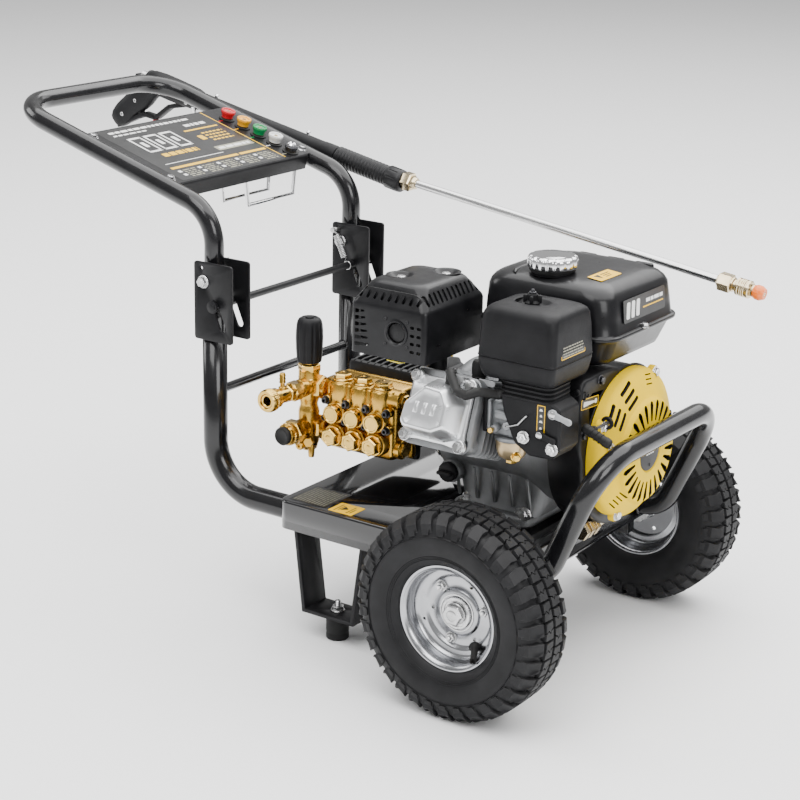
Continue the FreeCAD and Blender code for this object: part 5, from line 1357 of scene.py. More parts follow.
def crankcase():
    """The crankcase with its fittings, its plate and the drain's extension."""
    case = Shape()
    low, high = Vector((-121, -75, TRAY_TOP)), Vector((-5, 121, TRAY_TOP + 16))
    centre = middle_of(low, high)
    foot = [(0, 3), (1.5, 2), (3, 0), (11, 0), (14.5, 1.5), (16, 5), (16, 12)]
    case.loft([rounded_rectangle(high.x - low.x - 2 * inset, high.y - low.y - 2 * inset, 14, low.z + rise,
                                 centre)
               for rise, inset in foot])
    body = [(194, 112, 152, 20), (204, 118, 146, 22), (222, 130, 146, 24), (244, 150, 152, 24),
            (262, 160, 158, 22), (290, 166, 160, 18), (330, 160, 120, 22), (352, 140, 80, 18)]
    case.loft([rounded_rectangle(wide, deep, corner, z, (-57, 10 if z < 300 else 4))
               for z, wide, deep, corner in body])
    drum = [(0, 0), (70, 0), (74, 1.0), (78, 5), (80, 9), (80, 20), (76, 24), (76, 120), (80, 150),
            (80, 166), (77, 171), (60, 172), (0, 172)]
    case.lathe(drum, aim((-142, CRANK.y, CRANK.z), X), 72)
    for x in (-112, -86, -60, -34, -8):
        case.bar((4, 4, 46), (x, -70, 226), Matrix.Rotation(math.radians(14), 4, "X"), 1.4)
        case.bar((4, 5, 60), (x, 90, 232), Matrix.Rotation(math.radians(-8), 4, "X"), 1.4)
    case.rod(15, 16, (-120, -62, 236), -Y, 40, 1.2)
    for x in (-60, -4):
        case.block((x, 24, CRANK.z + 40), (x + 20, 66, 402), 3)
    for spot in round_x(-140, CRANK.yz, 70, 8, 0.2):
        case.rod(6.5, 14, spot, X, 24, 1.2)
    case.block((-100, 92, 250), (-40, 104, 300), 4)
    piece("crankcase_casting", case, ALLOY_DARK, "frame", ["crankcase"], sharp=45)

    fittings = Shape()
    for x, y, z in ((-8, -77, 204), (-112, 118, 204)):
        fittings.bolt(6.0, (x, y, z), -Y if y < 0 else Y, head=6, washer=1.4)
    for x in (-92, -48):
        fittings.bolt(4.5, (x, 104, 275), Y, head=4)
    for spot in round_x(-127, CRANK.yz, 70, 8, 0.2):
        fittings.bolt(4.6, spot, X, head=4.5, washer=0.8)
    piece("crankcase_fittings", fittings, ZINC, "frame")
    badge = Shape()
    badge.block((-96, 104.2, 292), (-66, 105, 299), 0.2)
    piece("crankcase_plate", badge, CHROME, "frame")

    drain = Shape()
    drain.rod(7, 58, (66, -66, 196), Y, 32)
    for y in (-70, -58, -44):
        drain.hexagon(10.5, 8.5, (66, y, 196), Y, bevel=0.12)
    drain.thread(7.2, 5, (66, -50, 196), Y, 1.6, 24)
    drain.tube(bent([(66, -14, 196), (66, -6, 196), (40, -2, 196), (10, 0, 200)], [6, 14], 6), 6, 20)
    piece("drain_extension", drain, BRONZE, "frame")


def cylinder():
    """The finned cylinder with its baffle and its bolts."""
    fins = Shape()
    for k in range(9):
        z = 90 + 9 * k
        squeeze = 0.92 if k < 2 else 1.0
        rings = [rounded_rectangle(104 * squeeze - 2 * i, 92 * squeeze - 2 * i, 12, h, (0, 0))
                 for h, i in ((-1.5, 1.4), (-0.8, 0), (0.8, 0), (1.5, 1.4))]
        fins.loft(rings, TILT_PLACE @ shift(z))
    fins.lathe(oblong(0, 60, 38, 176), TILT_PLACE, 48)
    fins.loft([rounded_rectangle(96 - 2 * i, 92 - 2 * i, 12, h, (0, 0))
               for h, i in ((172, 1), (173, 0), (187, 0), (188, 1))],
              TILT_PLACE)
    for x in (-38, 38):
        for y in (-34, 34):
            fins.lathe(oblong(0, 150, 9, 188), TILT_PLACE @ Matrix.Translation((x, y, 0)), 24)
    fins.tube(bent([(-40, -112, 352), (-40, -124, 366), (-40, -138, 372)], [20]), 9, 24)
    fins.rod(8.5, 12, (-44, -138, 360), Z, 28, 1)
    fins.rod(13, 26, (-40, -142, 347), X, 36, 1)
    piece("cylinder_casting", fins, ALLOY_DARK, "frame", ["cylinder"], sharp=45)

    guard = Shape()
    guard.loft([rounded_rectangle(108, 7, 3, z, (0, 44)) for z in (100, 101, 168, 169)], TILT_PLACE)
    guard.loft([rounded_rectangle(60 - i, 5 - i / 2, 2, z, (22, 51))
                for z, i in ((112, 1), (113, 0), (158, 0), (159, 1))], TILT_PLACE)
    piece("cylinder_baffle", guard, ALLOY, "frame")
    hardware = Shape()
    for x, z in ((-36, 118), (6, 126), (38, 150), (44, 122)):
        spot = TILT_PLACE @ Vector((x, 47.5, z))
        up = TILT_PLACE.to_3x3() @ Y
        hardware.bolt(4.6, spot, up, head=4.2, washer=1.0)
    piece("cylinder_bolts", hardware, ZINC, "frame")


def head_cover():
    """The die-cast cover over the engine's valves, with its bolts and the head's gasket."""
    cover = Shape()
    corners = ((-38, -36), (39, -37), (38, 36), (-38, 36))
    ears = [(-43, -41), (-22, -38.5), (18, -38.5), (44, -42), (42, -20), (42, 20), (43, 41), (20, 38.5),
            (-20, 38.5), (-43, 41), (-42, 18), (-42, -18)]
    bends = [9.5, 16, 16, 10.5, 16, 16, 9.5, 16, 16, 9.5, 16, 16]
    outline = rounded_polygon(ears, bends, 5)
    cover.prism(outline, 6.5, TILT_PLACE @ shift(188.2), edge=1.2)
    foot = rounded_polygon([(-38, -25), (-31, -33), (16, -34), (36, -27), (38, 12), (26, 34), (-10, 35),
                            (-37, 4)], [6, 6, 8, 9, 9, 8, 9, 9], 6)
    face = rounded_polygon([(-33, -20), (-28, -26), (13, -27), (27, -20), (28, 8), (18, 24), (-8, 26),
                            (-31, 2)], [5, 5, 6, 7, 7, 6, 7, 7], 6)
    dome = []
    for z, blend, grow in ((193, 0, 1.08), (195.4, 0, 1.05), (196.8, 0, 1.01), (199, 0, 1.0),
                           (204, 0.10, 1.0), (218, 0.78, 1.0), (220.8, 0.96, 0.995), (222.4, 1, 0.965),
                           (223.2, 1, 0.91), (223.2, 1, 0.84), (222.4, 1, 0.80), (222.4, 1, 0.4)):
        dome.append([Vector(((p[0] * (1 - blend) + q[0] * blend) * grow,
                             (p[1] * (1 - blend) + q[1] * blend) * grow, z)) for p, q in zip(foot, face)])
    cover.loft(dome, TILT_PLACE)
    for k in range(3):
        bar_outline = rounded_polygon([(-18 + 12 * k, -8), (-12 + 12 * k, -8), (-10 + 12 * k, 6),
                                       (-16 + 12 * k, 6)], 1.4, 3)
        cover.prism(bar_outline, 1.3, TILT_PLACE @ shift(222.0), edge=0.4)
    for x, y in corners:
        cover.lathe([(0, 192), (8.2, 192), (8.2, 196.4), (7.4, 197.2), (0, 197.2)],
                    TILT_PLACE @ Matrix.Translation((x, y, 0)), 32)
    cover.loft([rounded_rectangle(26, 11, 5, z, (20, 40)) for z in (190, 191, 206, 207)], TILT_PLACE)
    piece("head_cover_casting", cover, COVER_ALLOY, "frame", ["head_cover"], sharp=50)
    bolts = Shape()
    for x, y in corners:
        bolts.bolt(4.9, TILT_PLACE @ Vector((x, y, 197.2)), OUTWARD, head=4.6, washer=1.1)
    piece("head_cover_bolts", bolts, ZINC, "frame")
    gasket = Shape()
    gasket.prism(rounded_polygon([(x * 1.01, y * 1.01) for x, y in ears], bends, 5), 0.8,
                 TILT_PLACE @ shift(187.4))
    piece("head_gasket", gasket, RUBBER, "frame")


def spark_plug():
    """The plug's insulated cap with its lead to the ignition coil, and the breather hose beside it."""
    cap = Shape()
    top = (-44, -138, 387)
    cap.lathe([(0, 0), (8.0, 0), (8.5, 0.6), (8.5, 3), (7.9, 3.6), (7.9, 5.4), (8.5, 6), (8.5, 14),
               (8.2, 19), (6.4, 22.5), (3, 23), (0, 23)],
              aim(top), 40)
    route = [(-37, -138, 402), (-22, -137, 396), (-18, -113, 389), (4, -101, 387), (35.7, -101, 387)]
    cap.tube(bent(route, [8, 10, 14], 10), 2.6, 20)
    for k in range(4):
        ring = Vector(route[0]) + Vector((1 + 2.6 * k, 0, -0.9 * k))
        cap.lathe([(2.5, 0), (4.6 - 0.4 * k, 0.4), (4.6 - 0.4 * k, 1.8), (2.5, 2.2)],
                  aim(ring, Vector((15, 1, -6))), 24)
    piece("spark_cap_lead", cap, RUBBER, "frame", ["spark_lead"])
    plug = Shape()
    plug.hexagon(8.2, 7, (-44, -138, 372), Z)
    plug.rod(4.5, 12, (-44, -138, 376), Z, 24)
    piece("spark_plug", plug, CHROME, "frame")
    hose = Shape()
    start, top = tilted(12, 201, 33), tilted(12, 201, 56)
    line = bent([start, top, top + Vector((4, -17, -3)), (-42, -203, 381), (-24, -201, 376),
                 (-8, -189, 377), (8, -172, 383), (22, -150, 389)],
                [6, 7, 10, 12, 14, 14], 8)
    hose.tube(line, 5.6, 24)
    for t in (2, len(line) - 3):
        way = (line[t + 1] - line[t]).normalized()
        hose.lathe([(5.5, 0), (6.6, 0.3), (6.6, 3.6), (5.5, 3.9)], aim(line[t], way), 32)
    piece("breather_hose", hose, RUBBER, "frame")


def oil_cap():
    """The oil filler's cap."""
    shape = Shape()
    place = aim((-120, -78, 236), -Y, X)
    shape.lathe([(0, -9.9), (8.6, -9.9), (8.9, -9), (8.9, 0.4), (12.6, 0.4), (13, 0.9), (13, 6.6),
                 (12.2, 7.8), (10, 8.6), (0, 8.6)], place, 60,
                grooved(20, 0.035, lambda r, h: r > 12))
    shape.block((-10.5, -2.4, 7.5), (10.5, 2.4, 16), 1.6, place)
    piece("oil_cap_body", shape, PLASTIC, "oil_filler_cap", ["oil_filler_cap"])


FAN = Vector((0, 1.0, 292.0))
COVER = Vector((80.0, 4.0, 297.0))
VENTS = (5.0, -8.0)


def fan_outline():
    """The fan housing seen from the front: a drum joined to the cooling shroud, as (Y, Z) points."""
    points = [(FAN.y + 100 * math.cos(a), FAN.z + 100 * math.sin(a))
              for a in (math.radians(92 - 6.1 * k) for k in range(46))]
    return points + [(-104, 306), (-108, 318), (-108, 384), (-105, 393), (-98, 398), (-60, 400), (-34, 399),
                     (-18, 395)]


def fan_housing():
    """The black sheet housing: a drum and shroud closed at the front except where the cover sits."""
    shell = Shape()
    outline = fan_outline()
    centre = (-20, 310)

    def ring(x, inset):
        points = []
        for y, z in outline:
            away = Vector((y - centre[0], z - centre[1]))
            away *= 1 - inset / away.length
            points.append(Vector((x, centre[0] + away.x, centre[1] + away.y)))
        return points

    shell.loft([ring(34, 6), ring(32.2, 3), ring(32.6, 1), ring(34, 0), ring(75, 0), ring(77.4, 0.5),
                ring(79.2, 2.2), ring(79.8, 5), ring(79.8, 26), ring(76.4, 26), ring(76.4, 6),
                ring(74, 3.5), ring(40, 3.5), ring(35.5, 7), ring(35, 30), ring(34, 30)],
               closed=True)
    shell.lathe(oblong(14.5, 0, 80, 2.2), aim((33.2, CRANK.y, CRANK.z), X), 64)
    shell.pipe(97, 80, 1.2, (78.4, COVER.y, COVER.z), X, 96)
    shell.tube(bent([(79.6, -103, 376), (82.6, -103, 376), (82.6, -103, 384), (82.6, -95, 384),
                     (82.6, -95, 378), (79.6, -95, 378)],
                    [1.2, 1.6, 1.6, 1.2], 4), 1.1, 12)
    piece("fan_shroud", shell, SATIN, "frame", ["fan_housing"], sharp=40)
    bolts = Shape()
    for y, z in ((-98, 330), (-62, 390)):
        bolts.bolt(4.4, (79.6, y, z), X, head=3.6, washer=1)
    piece("shroud_bolts", bolts, BLUED, "frame")
    lean = Matrix.Rotation(math.radians(-4), 4, "Z")
    for name, outline, lift, material in (
            ("edge", rounded_rectangle(41, 13, 2), 0.00, PRINT_YELLOW),
                                          ("ground", rounded_rectangle(39.4, 11.4, 1.6), 0.06, PRINT_BLACK),
            ("wedge", rounded_polygon([(-15, -3.4), (12, -1.2), (12, 1.2), (-15, 3.0)], 0.9), 0.12,
             PRINT_WHITE)):
        mark = Shape()
        mark.prism([(q[0], q[1]) for q in outline], 0.2, aim((79.75 + lift, -86, 368), X, Y) @ lean)
        if name == "wedge":
            mark.lathe(oblong(0, 0, 3.0, 0.22), aim((79.87, -72, 367.4), X), 24)
        piece(f"throttle_mark_{name}", mark, material, "frame")


def tangent_slots(cuts, angle, radii, length, width, place):
    """Slots along the rim's direction, one above the other."""
    for radius in radii:
        slot = rounded_rectangle(length, width, width * 0.49)
        spot = Matrix.Rotation(math.radians(angle), 4,
                               "Z") @ Matrix.Translation((radius, 0, 0)) @ Matrix.Rotation(math.radians(94),
                                                                                           4, "Z")
        cuts.prism([(q.x, q.y) for q in slot], 40, place @ spot)


COVER_PLACE = aim(COVER, X, Y)
VENTS_PLACE = COVER_PLACE @ Matrix.Translation((*VENTS, 0))


def starter_cover():
    """The yellow starter cover: a domed shell with radial vents, two groups of slots and rim louvres; the
    walls of its openings and its inside are painted black as shade.
    """
    place, vents = COVER_PLACE, VENTS_PLACE
    outer = [(94, 0.2, 0), (94, 9.5, 0), (93.3, 12.5, 0), (91.2, 15.6, 0), (87.5, 18.4, 0.05),
             (78, 22.8, 0.4), (70, 26.0, 0.8), (67.4, 27.4, 1), (66.4, 28.6, 1), (65.4, 31.4, 1),
             (63.6, 33.2, 1), (59, 34.2, 1), (30, 35.6, 1), (26.6, 35.4, 1), (25.6, 34.2, 1),
             (24.4, 33.8, 1)]
    inner = [(24.4, 31.6, 1), (27, 32.0, 1), (58, 31.0, 1), (62, 29.6, 1), (63, 27, 1), (66, 24.6, 0.9),
             (78, 19.8, 0.4), (86.6, 15.4, 0), (90.2, 12, 0), (91, 0.2, 0)]
    dome = Shape()
    dome.loft([[p + Vector((VENTS[0] * t, VENTS[1] * t, 0)) for p in circle(r, 144, z=z)]
               for r, z, t in outer + inner], place, closed=True)
    cuts = Shape()
    # Painted shade: the walls that the vents and slots cut take the second, black slot.
    cuts.paint = 1
    for k in range(25):
        blade = rounded_polygon([(38, -1.1), (57, -3.4), (63, -2.6), (64.4, 1.0), (60, 4.0), (39, 1.7)],
                                [1.0, 3, 2, 2.2, 3, 1.2], 3)
        cuts.prism(blade, 16, vents @ Matrix.Rotation(TURN * k / 25 + 0.08, 4, "Z") @ shift(25))
    tangent_slots(cuts, 115, (86.5, 76, 65.5), 26, 4.6, place)
    tangent_slots(cuts, 141, (87.5, 77, 66.5), 24, 4.6, place)
    tangent_slots(cuts, 78, (86, 80.5, 75), 15, 1.5, place)
    tangent_slots(cuts, 229, (86, 80.5, 75, 69.5), 17, 1.5, place)
    tangent_slots(cuts, 310, (88, 77), 24, 4.4, place)
    cuts.rod(4, 40, (ROPE_X, -66, ROPE_Z), -Y, 24)
    skin, tools = dome.mesh("recoil_cover"), cuts.mesh("cuts")
    for mesh in (skin, tools):
        mesh.materials.append(YELLOW)
        mesh.materials.append(PUMP_BLACK_AND_VENT_SHADE)
    body = carve(skin, tools)
    # Painted shade: the faces that look back towards the engine, the dome's inside, take the black slot too.
    for face in body.polygons:
        if face.normal.x < -0.2:
            face.material_index = 1
    piece("starter_cover", body, [], "frame", ["recoil_cover"], sharp=32)


def starter_hub():
    """The black disc in the middle of the vents, with a plain mark."""
    vents = VENTS_PLACE
    hub = Shape()
    hub.lathe([(0, 30), (25.4, 30), (25.4, 33.6), (24.6, 34.6), (22, 34.9), (0, 34.9)], vents, 72)
    for k in range(3):
        a = TURN * k / 3 + 0.6
        hub.lathe(oblong(0, 34, 2.2, 35.5),
                  vents @ Matrix.Translation((18 * math.cos(a), 18 * math.sin(a), 0)), 20)
    piece("starter_hub", hub, SATIN, "frame")
    print_hub = Shape()
    for k in range(4):
        print_hub.prism([(-9 + 5 * k, -4), (-6 + 5 * k, -4), (-5 + 5 * k, 4), (-8 + 5 * k, 4)], 0.2,
                        vents @ shift(34.85))
    piece("starter_hub_mark", print_hub, PRINT_WHITE, "frame")


def starter_ears():
    """The cover's four ears with their screws, and the rope's guide."""
    place = COVER_PLACE
    ears, screws = Shape(), Shape()
    for angle in (153, 62, 334, 246):
        a = math.radians(angle)
        spot = place @ Vector((91.5 * math.cos(a), 91.5 * math.sin(a), 0))
        ears.lathe([(0, 8), (8.2, 8), (8.4, 13), (7.6, 15.4), (0, 15.6)], aim(spot, X), 36)
        screws.bolt(4.8, spot + X * 15.4, X, head=3.8, washer=1.2)
    screws.bolt(4.4, place @ Vector((-76, 15, 23.6)), X, head=3.4, washer=1)
    piece("starter_cover_ears", ears, YELLOW, "frame")
    piece("starter_screws", screws, ZINC, "frame")
    guide = Shape()
    guide.lathe([(4.1, 0), (8.0, 0), (8.4, 1), (7.4, 3.2), (4.6, 3.6), (4.1, 3.2)],
                aim((ROPE_X, -76.5, ROPE_Z), -Y), 36)
    piece("rope_guide", guide, PLASTIC, "frame")


def recoil_cover():
    starter_cover()
    starter_hub()
    starter_ears()


def starter():
    """The crankshaft with the flywheel's vanes, and the starter's pulley, grip and rope."""
    dress("crankshaft", IRON, soften=0.6)
    vanes = Shape()
    for k in range(20):
        angle = TURN * k / 20
        place = aim((46, CRANK.y, CRANK.z), X, Y) @ Matrix.Rotation(angle, 4, "Z")
        vanes.block((62, -1.2, 0), (84, 1.2, 26), 0.6, place)
    piece("flywheel_vanes", vanes, PLASTIC, "crankshaft")
    dress("starter_pulley", PLASTIC, soften=0.5)
    grip = Shape()
    bar = aim((109, -118.5, 341), Vector((math.cos(math.radians(22)), 0, -math.sin(math.radians(22)))), Y)
    for k in range(5):
        t = -12.6 + 6.3 * k
        grip.loft([rounded_rectangle(11.2 - i, 12.2 - i, 4.2, h, (0, 0), 5)
                   for h, i in ((t - 1, 1.4), (t - 0.4, 0), (t + 0.4, 0), (t + 1, 1.4))],
                  bar)
    ends = ((-20, 3.4), (-19.4, 1.6), (-17.6, 0.4), (-14, 0), (-7, 1.1), (7, 1.1), (14, 0), (17.6, 0.4),
            (19.4, 1.6), (20, 3.4))
    grip.loft([rounded_rectangle(11 - i, 12 - i, 4.2, t, (0, 0), 5) for t, i in ends], bar)
    grip.lathe([(0, 0), (5, 0), (5.2, 1), (4.6, 5), (3.0, 6.6), (0, 6.6)], aim((ROPE_X, -113.2, ROPE_Z), Y),
               28)
    piece("pull_grip", grip, RUBBER, "starter_grip", ["starter_grip"])
    rope = Shape()
    for strand in range(3):
        turns = [TURN * (k / 16 + strand / 3) for k in range(61)]
        rope.tube([(ROPE_X + 0.95 * math.cos(a), -68.4 - 38.4 * k / 60, ROPE_Z + 0.95 * math.sin(a))
                   for k, a in enumerate(turns)], 1.05, 8)
    cord = stretched("pull_rope", rope, ROPE, "starter_rope")


# ---------------------------------------------------------------- muffler, air cleaner, tank and controls

GUARD_LOW, GUARD_HIGH = local_box("muffler_shield")
GUARD_VENT_X, GUARD_VENT_Z = GUARD_HIGH.x - 42, 436
GUARD_DISHES = ((GUARD_LOW.x + 38, GUARD_LOW.y + 52), (GUARD_LOW.x + 72, GUARD_LOW.y + 100))


def guard_skin(inset):
    """The guard's outer or inner skin, from its open foot to its domed roof."""
    foot, roof = GUARD_LOW.z, GUARD_HIGH.z
    size = GUARD_HIGH - GUARD_LOW
    levels = [(foot, 0, 7), (roof - 31, 0, 8), (roof - 28.6, 0.5, 9), (roof - 26.4, 1.6, 9),
              (roof - 5.6, 14.4, 13), (roof - 3.4, 16.6, 14), (roof - 1.8, 20, 15),
              (roof - 0.8, 26, 16), (roof - 0.2, 38, 12), (roof, 50, 3)]
    rings = []
    for z, shrink, corner in levels:
        drop = inset if z > roof - 27 else 0
        rings.append(rounded_rectangle(size.x - 2 * (shrink + inset), size.y - 2 * (shrink + inset),
                                       max(1.0, corner - inset), z - drop, middle_of(GUARD_LOW, GUARD_HIGH),
                                       6))
    return rings


def guard_shell():
    """The guard without its openings: a sheet box that is open below."""
    faces, hollow = Shape(), Shape()
    faces.loft(guard_skin(0))
    rings = guard_skin(1.4)
    rings[0] = [p - Z * 4 for p in rings[0]]
    hollow.loft(rings)
    return carve(faces.mesh("shield"), hollow.mesh("hollow"))


def guard_openings():
    """The guard's slots, louvres and holes, as solids to take away."""
    low, high = GUARD_LOW, GUARD_HIGH
    near, front = low.y, high.x
    cuts = Shape()
    lean = Matrix.Rotation(math.radians(-14), 4, "Z")
    slot = rounded_polygon(oblong(-2.3, -8, 2.3, 8), 2.2, 4)
    near_slope, front_slope = Vector((0, -0.85, 0.53)), Vector((0.85, 0, 0.53))
    for k in range(9):
        cuts.prism(slot, 14, aim((low.x + 13 + 10.4 * k, near + 8, high.z - 16), near_slope,
                                 X) @ shift(-8) @ lean)
    for k in range(12):
        cuts.prism(slot, 14, aim((front - 8, near + 14 + 9.6 * k, high.z - 16), front_slope, Y) @ shift(-8))
    for row in range(6):
        z = low.z + 10 + 8.2 * row
        reach = 21 - 1.4 * row
        wedge = [(0, -1.8), (reach, 1.6), (reach, 4.0), (0, 3.8)]
        cuts.prism(rounded_polygon(wedge, 0.7, 3), 10,
                   aim((low.x + 7, near - 4, z), Y, X) @ Matrix.Rotation(math.pi, 4, "X") @ shift(-9))
    for column in range(2):
        for row in range(4):
            hole = rounded_polygon(oblong(-3.2, -2, 3.2, 2), 1.8, 4)
            cuts.prism(hole, 10, aim((front - 19 + 9.5 * column, near - 5, low.z + 14 + 10.0 * row), Y, X))
    cuts.rod(14.2, 12, (GUARD_VENT_X, near - 6, GUARD_VENT_Z), Y, 48, 0.3)
    for k in range(9):
        cuts.block((low.x - 4, near + 16 + 13 * k, low.z + 16),
                   (low.x + 5, near + 21 + 13 * k, high.z - 26), 1.6)
    for k in range(7):
        cuts.block((low.x + 16 + 11.5 * k, high.y - 5, low.z + 16),
                   (low.x + 21 + 11.5 * k, high.y + 4, high.z - 28), 1.6)
    for x, y in GUARD_DISHES:
        cuts.rod(16.5, 14, (x, y, high.z - 8), Z, 48, 0.1)
    return cuts


def guard_trim():
    """The rim of the exhaust's opening, the two dishes in the roof with their bolts, and a torn gasket."""
    low, roof, near = GUARD_LOW, GUARD_HIGH.z, GUARD_LOW.y
    rims = Shape()
    rims.lathe([(12.4, -1.6), (14.4, -1.6), (15.8, -0.6), (16.4, 1.2), (14.4, 1.6), (13.0, 0.8),
                (12.4, -0.4)],
               aim((GUARD_VENT_X, near, GUARD_VENT_Z), -Y), 64)
    for k in range(4):
        a = TURN * (k + 0.5) / 4
        spot = (GUARD_VENT_X + 22 * math.cos(a), near + 0.4, GUARD_VENT_Z + 22 * math.sin(a))
        rims.rod(2.2, 1.6, spot, -Y, 20, 0.5)
    for x, y in GUARD_DISHES:
        rims.lathe([(0, -7.2), (7.4, -7.0), (11.6, -5.4), (15, -2.2), (16.8, -0.6), (18.8, -0.2),
                    (18.8, 0.1), (16.4, 0.3), (14.0, -0.8), (11.0, -4.0), (7.0, -5.6), (0, -5.8)],
                   aim((x, y, roof - 0.5)), 56)
    piece("muffler_dishes", rims, SHIELD, "frame")
    bolts = Shape()
    for x, y in GUARD_DISHES:
        bolts.bolt(5.2, (x, y, roof - 6.3), Z, head=3.6, washer=0.8)
    piece("muffler_bolts", bolts, ZINC, "frame")
    seal = Shape()
    seal.prism(rounded_polygon([(-18, -4), (12, -5), (20, 0), (10, 4), (-16, 5)], 1.5), 0.8,
               aim((low.x + 30, near + 6, low.z + 3), Z, X))
    seal.prism(rounded_polygon([(-13, -3), (8, -6), (14, 2), (-8, 5)], 1.5), 0.8,
               aim((low.x + 66, near + 4, low.z - 2.4), Z, X))
    piece("muffler_gasket", seal, GASKET, "frame")


def muffler():
    dress("muffler", IRON, soften=0.8)
    body = carve(guard_shell(), guard_openings().mesh("cuts"))
    piece("muffler_guard", body, SHIELD, "frame", ["muffler_shield"], sharp=34)
    guard_trim()


AIR_LOW, AIR_HIGH = local_box("air_cleaner_cover")
AIR_FRONT, AIR_TOP = AIR_HIGH.x, AIR_HIGH.z
AIR_TAG_Y = -134
KNOB_X, KNOB_Y = 22, -131


def air_level(z, shrink, corner, wall=0.0):
    """One section of the air cleaner's box, drawn in by shrink and by its wall."""
    size = AIR_HIGH - AIR_LOW
    return rounded_rectangle(size.x - 2 * (shrink + wall), size.y - 2 * (shrink + wall),
                             max(2.0, corner - wall), z, middle_of(AIR_LOW, AIR_HIGH), 8)


def air_cover():
    """The cover: a box with a soft roof, and an oval dish where its knob sits."""
    low, top = AIR_LOW, AIR_TOP

    def oval(z, a, b):
        return [Vector((KNOB_X + a * math.cos(t), KNOB_Y + b * math.sin(t), z))
                for t in ((i + 0.5) / 36 * TURN for i in range(36))]

    outer = [air_level(low.z, 0.5, 8), air_level(low.z + 0.7, 0, 8.5), air_level(low.z + 2, 0.3, 9),
             air_level(low.z + 16, 0.9, 9.5), air_level(low.z + 36, 1.7, 10.5), air_level(top - 11, 3.0, 12),
             air_level(top - 6.5, 4.6, 14), air_level(top - 3.6, 7.4, 17), air_level(top - 1.7, 12, 20),
             air_level(top - 0.6, 18, 22), air_level(top, 26, 23), oval(top, 25, 17.5),
             oval(top - 0.8, 23.4, 15.9), oval(top - 4.2, 20.4, 13.2), oval(top - 5.2, 18, 11),
             oval(top - 5.2, 3.6, 3.6)]
    inner = [oval(top - 7.4, 3.6, 3.6), oval(top - 7.4, 20, 13), oval(top - 4, 26, 19),
             air_level(top - 3, 26, 22, 0), air_level(top - 6, 11, 20, 1), air_level(top - 13, 4, 12, 2),
             air_level(low.z + 10, 1.6, 10, 2.2), air_level(low.z + 0.2, 0.6, 8, 2.2)]
    cover = Shape().loft(outer + inner, closed=True)
    piece("air_cover_shell", cover, PLASTIC, "air_cleaner_cover", ["air_cleaner_cover"],
          sharp=48)


def air_notice():
    """A plain label on the cover's front: a yellow edge, a dark ground and lines that spell nothing."""
    low, front, lean = AIR_LOW, AIR_FRONT, Vector((1, 0, 0.07))
    marks = (("edge", 27, 11, 0.00, PRINT_YELLOW), ("ground", 26, 7.4, 0.08, PRINT_BLACK))
    for name, wide, tall, lift, material in marks:
        drop = -2.6 if name == "ground" else 0
        tag = Shape()
        tag.prism(rounded_polygon(oblong(-wide, -tall, wide, tall), 1.0), 0.14,
                  aim((front - 1.3 + lift - 0.065 * drop, AIR_TAG_Y, low.z + 18 + drop), lean, Y))
        piece(f"air_notice_{name}", tag, material, "air_cleaner_cover")
    lines = Shape()
    for row in range(4):
        start = -23.0
        while start < 20:
            run = min(random.uniform(3, 10), 23 - start)
            place = aim((front - 1.15 + 0.22 * row, AIR_TAG_Y, low.z + 20.4 - 3.4 * row), lean, Y)
            lines.prism(oblong(start, -0.7, start + run, 0.7), 0.12, place)
            start += run + 1.2
    piece("air_notice_lines", lines, PRINT_GREY, "air_cleaner_cover")


def air_knob():
    """The cover's star knob with its threaded insert."""
    turn = Shape()
    place = aim((KNOB_X, KNOB_Y, AIR_TOP + 0.3))
    turn.lathe([(0, -4.8), (8.6, -4.8), (9.2, -4), (9.2, -1.4), (7.4, -0.2), (6.4, 1), (6.4, 7.8),
                (5.6, 8.8), (0, 8.8)], place, 36)
    for k in range(4):
        spin = Matrix.Rotation(TURN * k / 4 + 0.4, 4, "Z")
        turn.block((3.5, -2.1, -2.6), (11.0, 2.1, 7.4), 1.4, place @ spin)
    piece("air_knob_body", turn, PLASTIC, "air_cleaner_knob", ["air_cleaner_knob"])
    stud = Shape()
    stud.hexagon(4.2, 2.4, (KNOB_X, KNOB_Y, AIR_TOP + 9.0), Z)
    stud.thread(2.4, 2.6, (KNOB_X, KNOB_Y, AIR_TOP + 11.3), Z, 0.9)
    piece("air_knob_insert", stud, BLUED, "air_cleaner_knob")


def air_base():
    """The pan under the filter, the bellows below it and the stud that the knob turns on."""
    base = Shape()
    pan = ((404, 8), (404.8, 6.4), (407, 4.8), (412, 3.0), (422, 1.2), (427, 0.5), (429.2, 0.8))
    base.loft([air_level(z, shrink, 8.5) for z, shrink in pan])
    folds = [(381, 3.5)]
    for k in range(4):
        folds += [(382 + 5.6 * k, 3.0), (383.4 + 5.6 * k, 0.4), (385.4 + 5.6 * k, 0), (386.6 + 5.6 * k, 2.6)]
    base.loft([rounded_rectangle(72 - 2 * inset, 54 - 2 * inset, 12, z, (38, -142), 8)
               for z, inset in folds + [(405, 2)]])
    base.lathe([(0, 0), (3.0, 0), (3.0, 69), (2.4, 70), (0, 70)], aim((KNOB_X, KNOB_Y, 426)), 24)
    piece("air_base_bellows", base, PLASTIC, "frame", ["air_cleaner_base"], sharp=40)


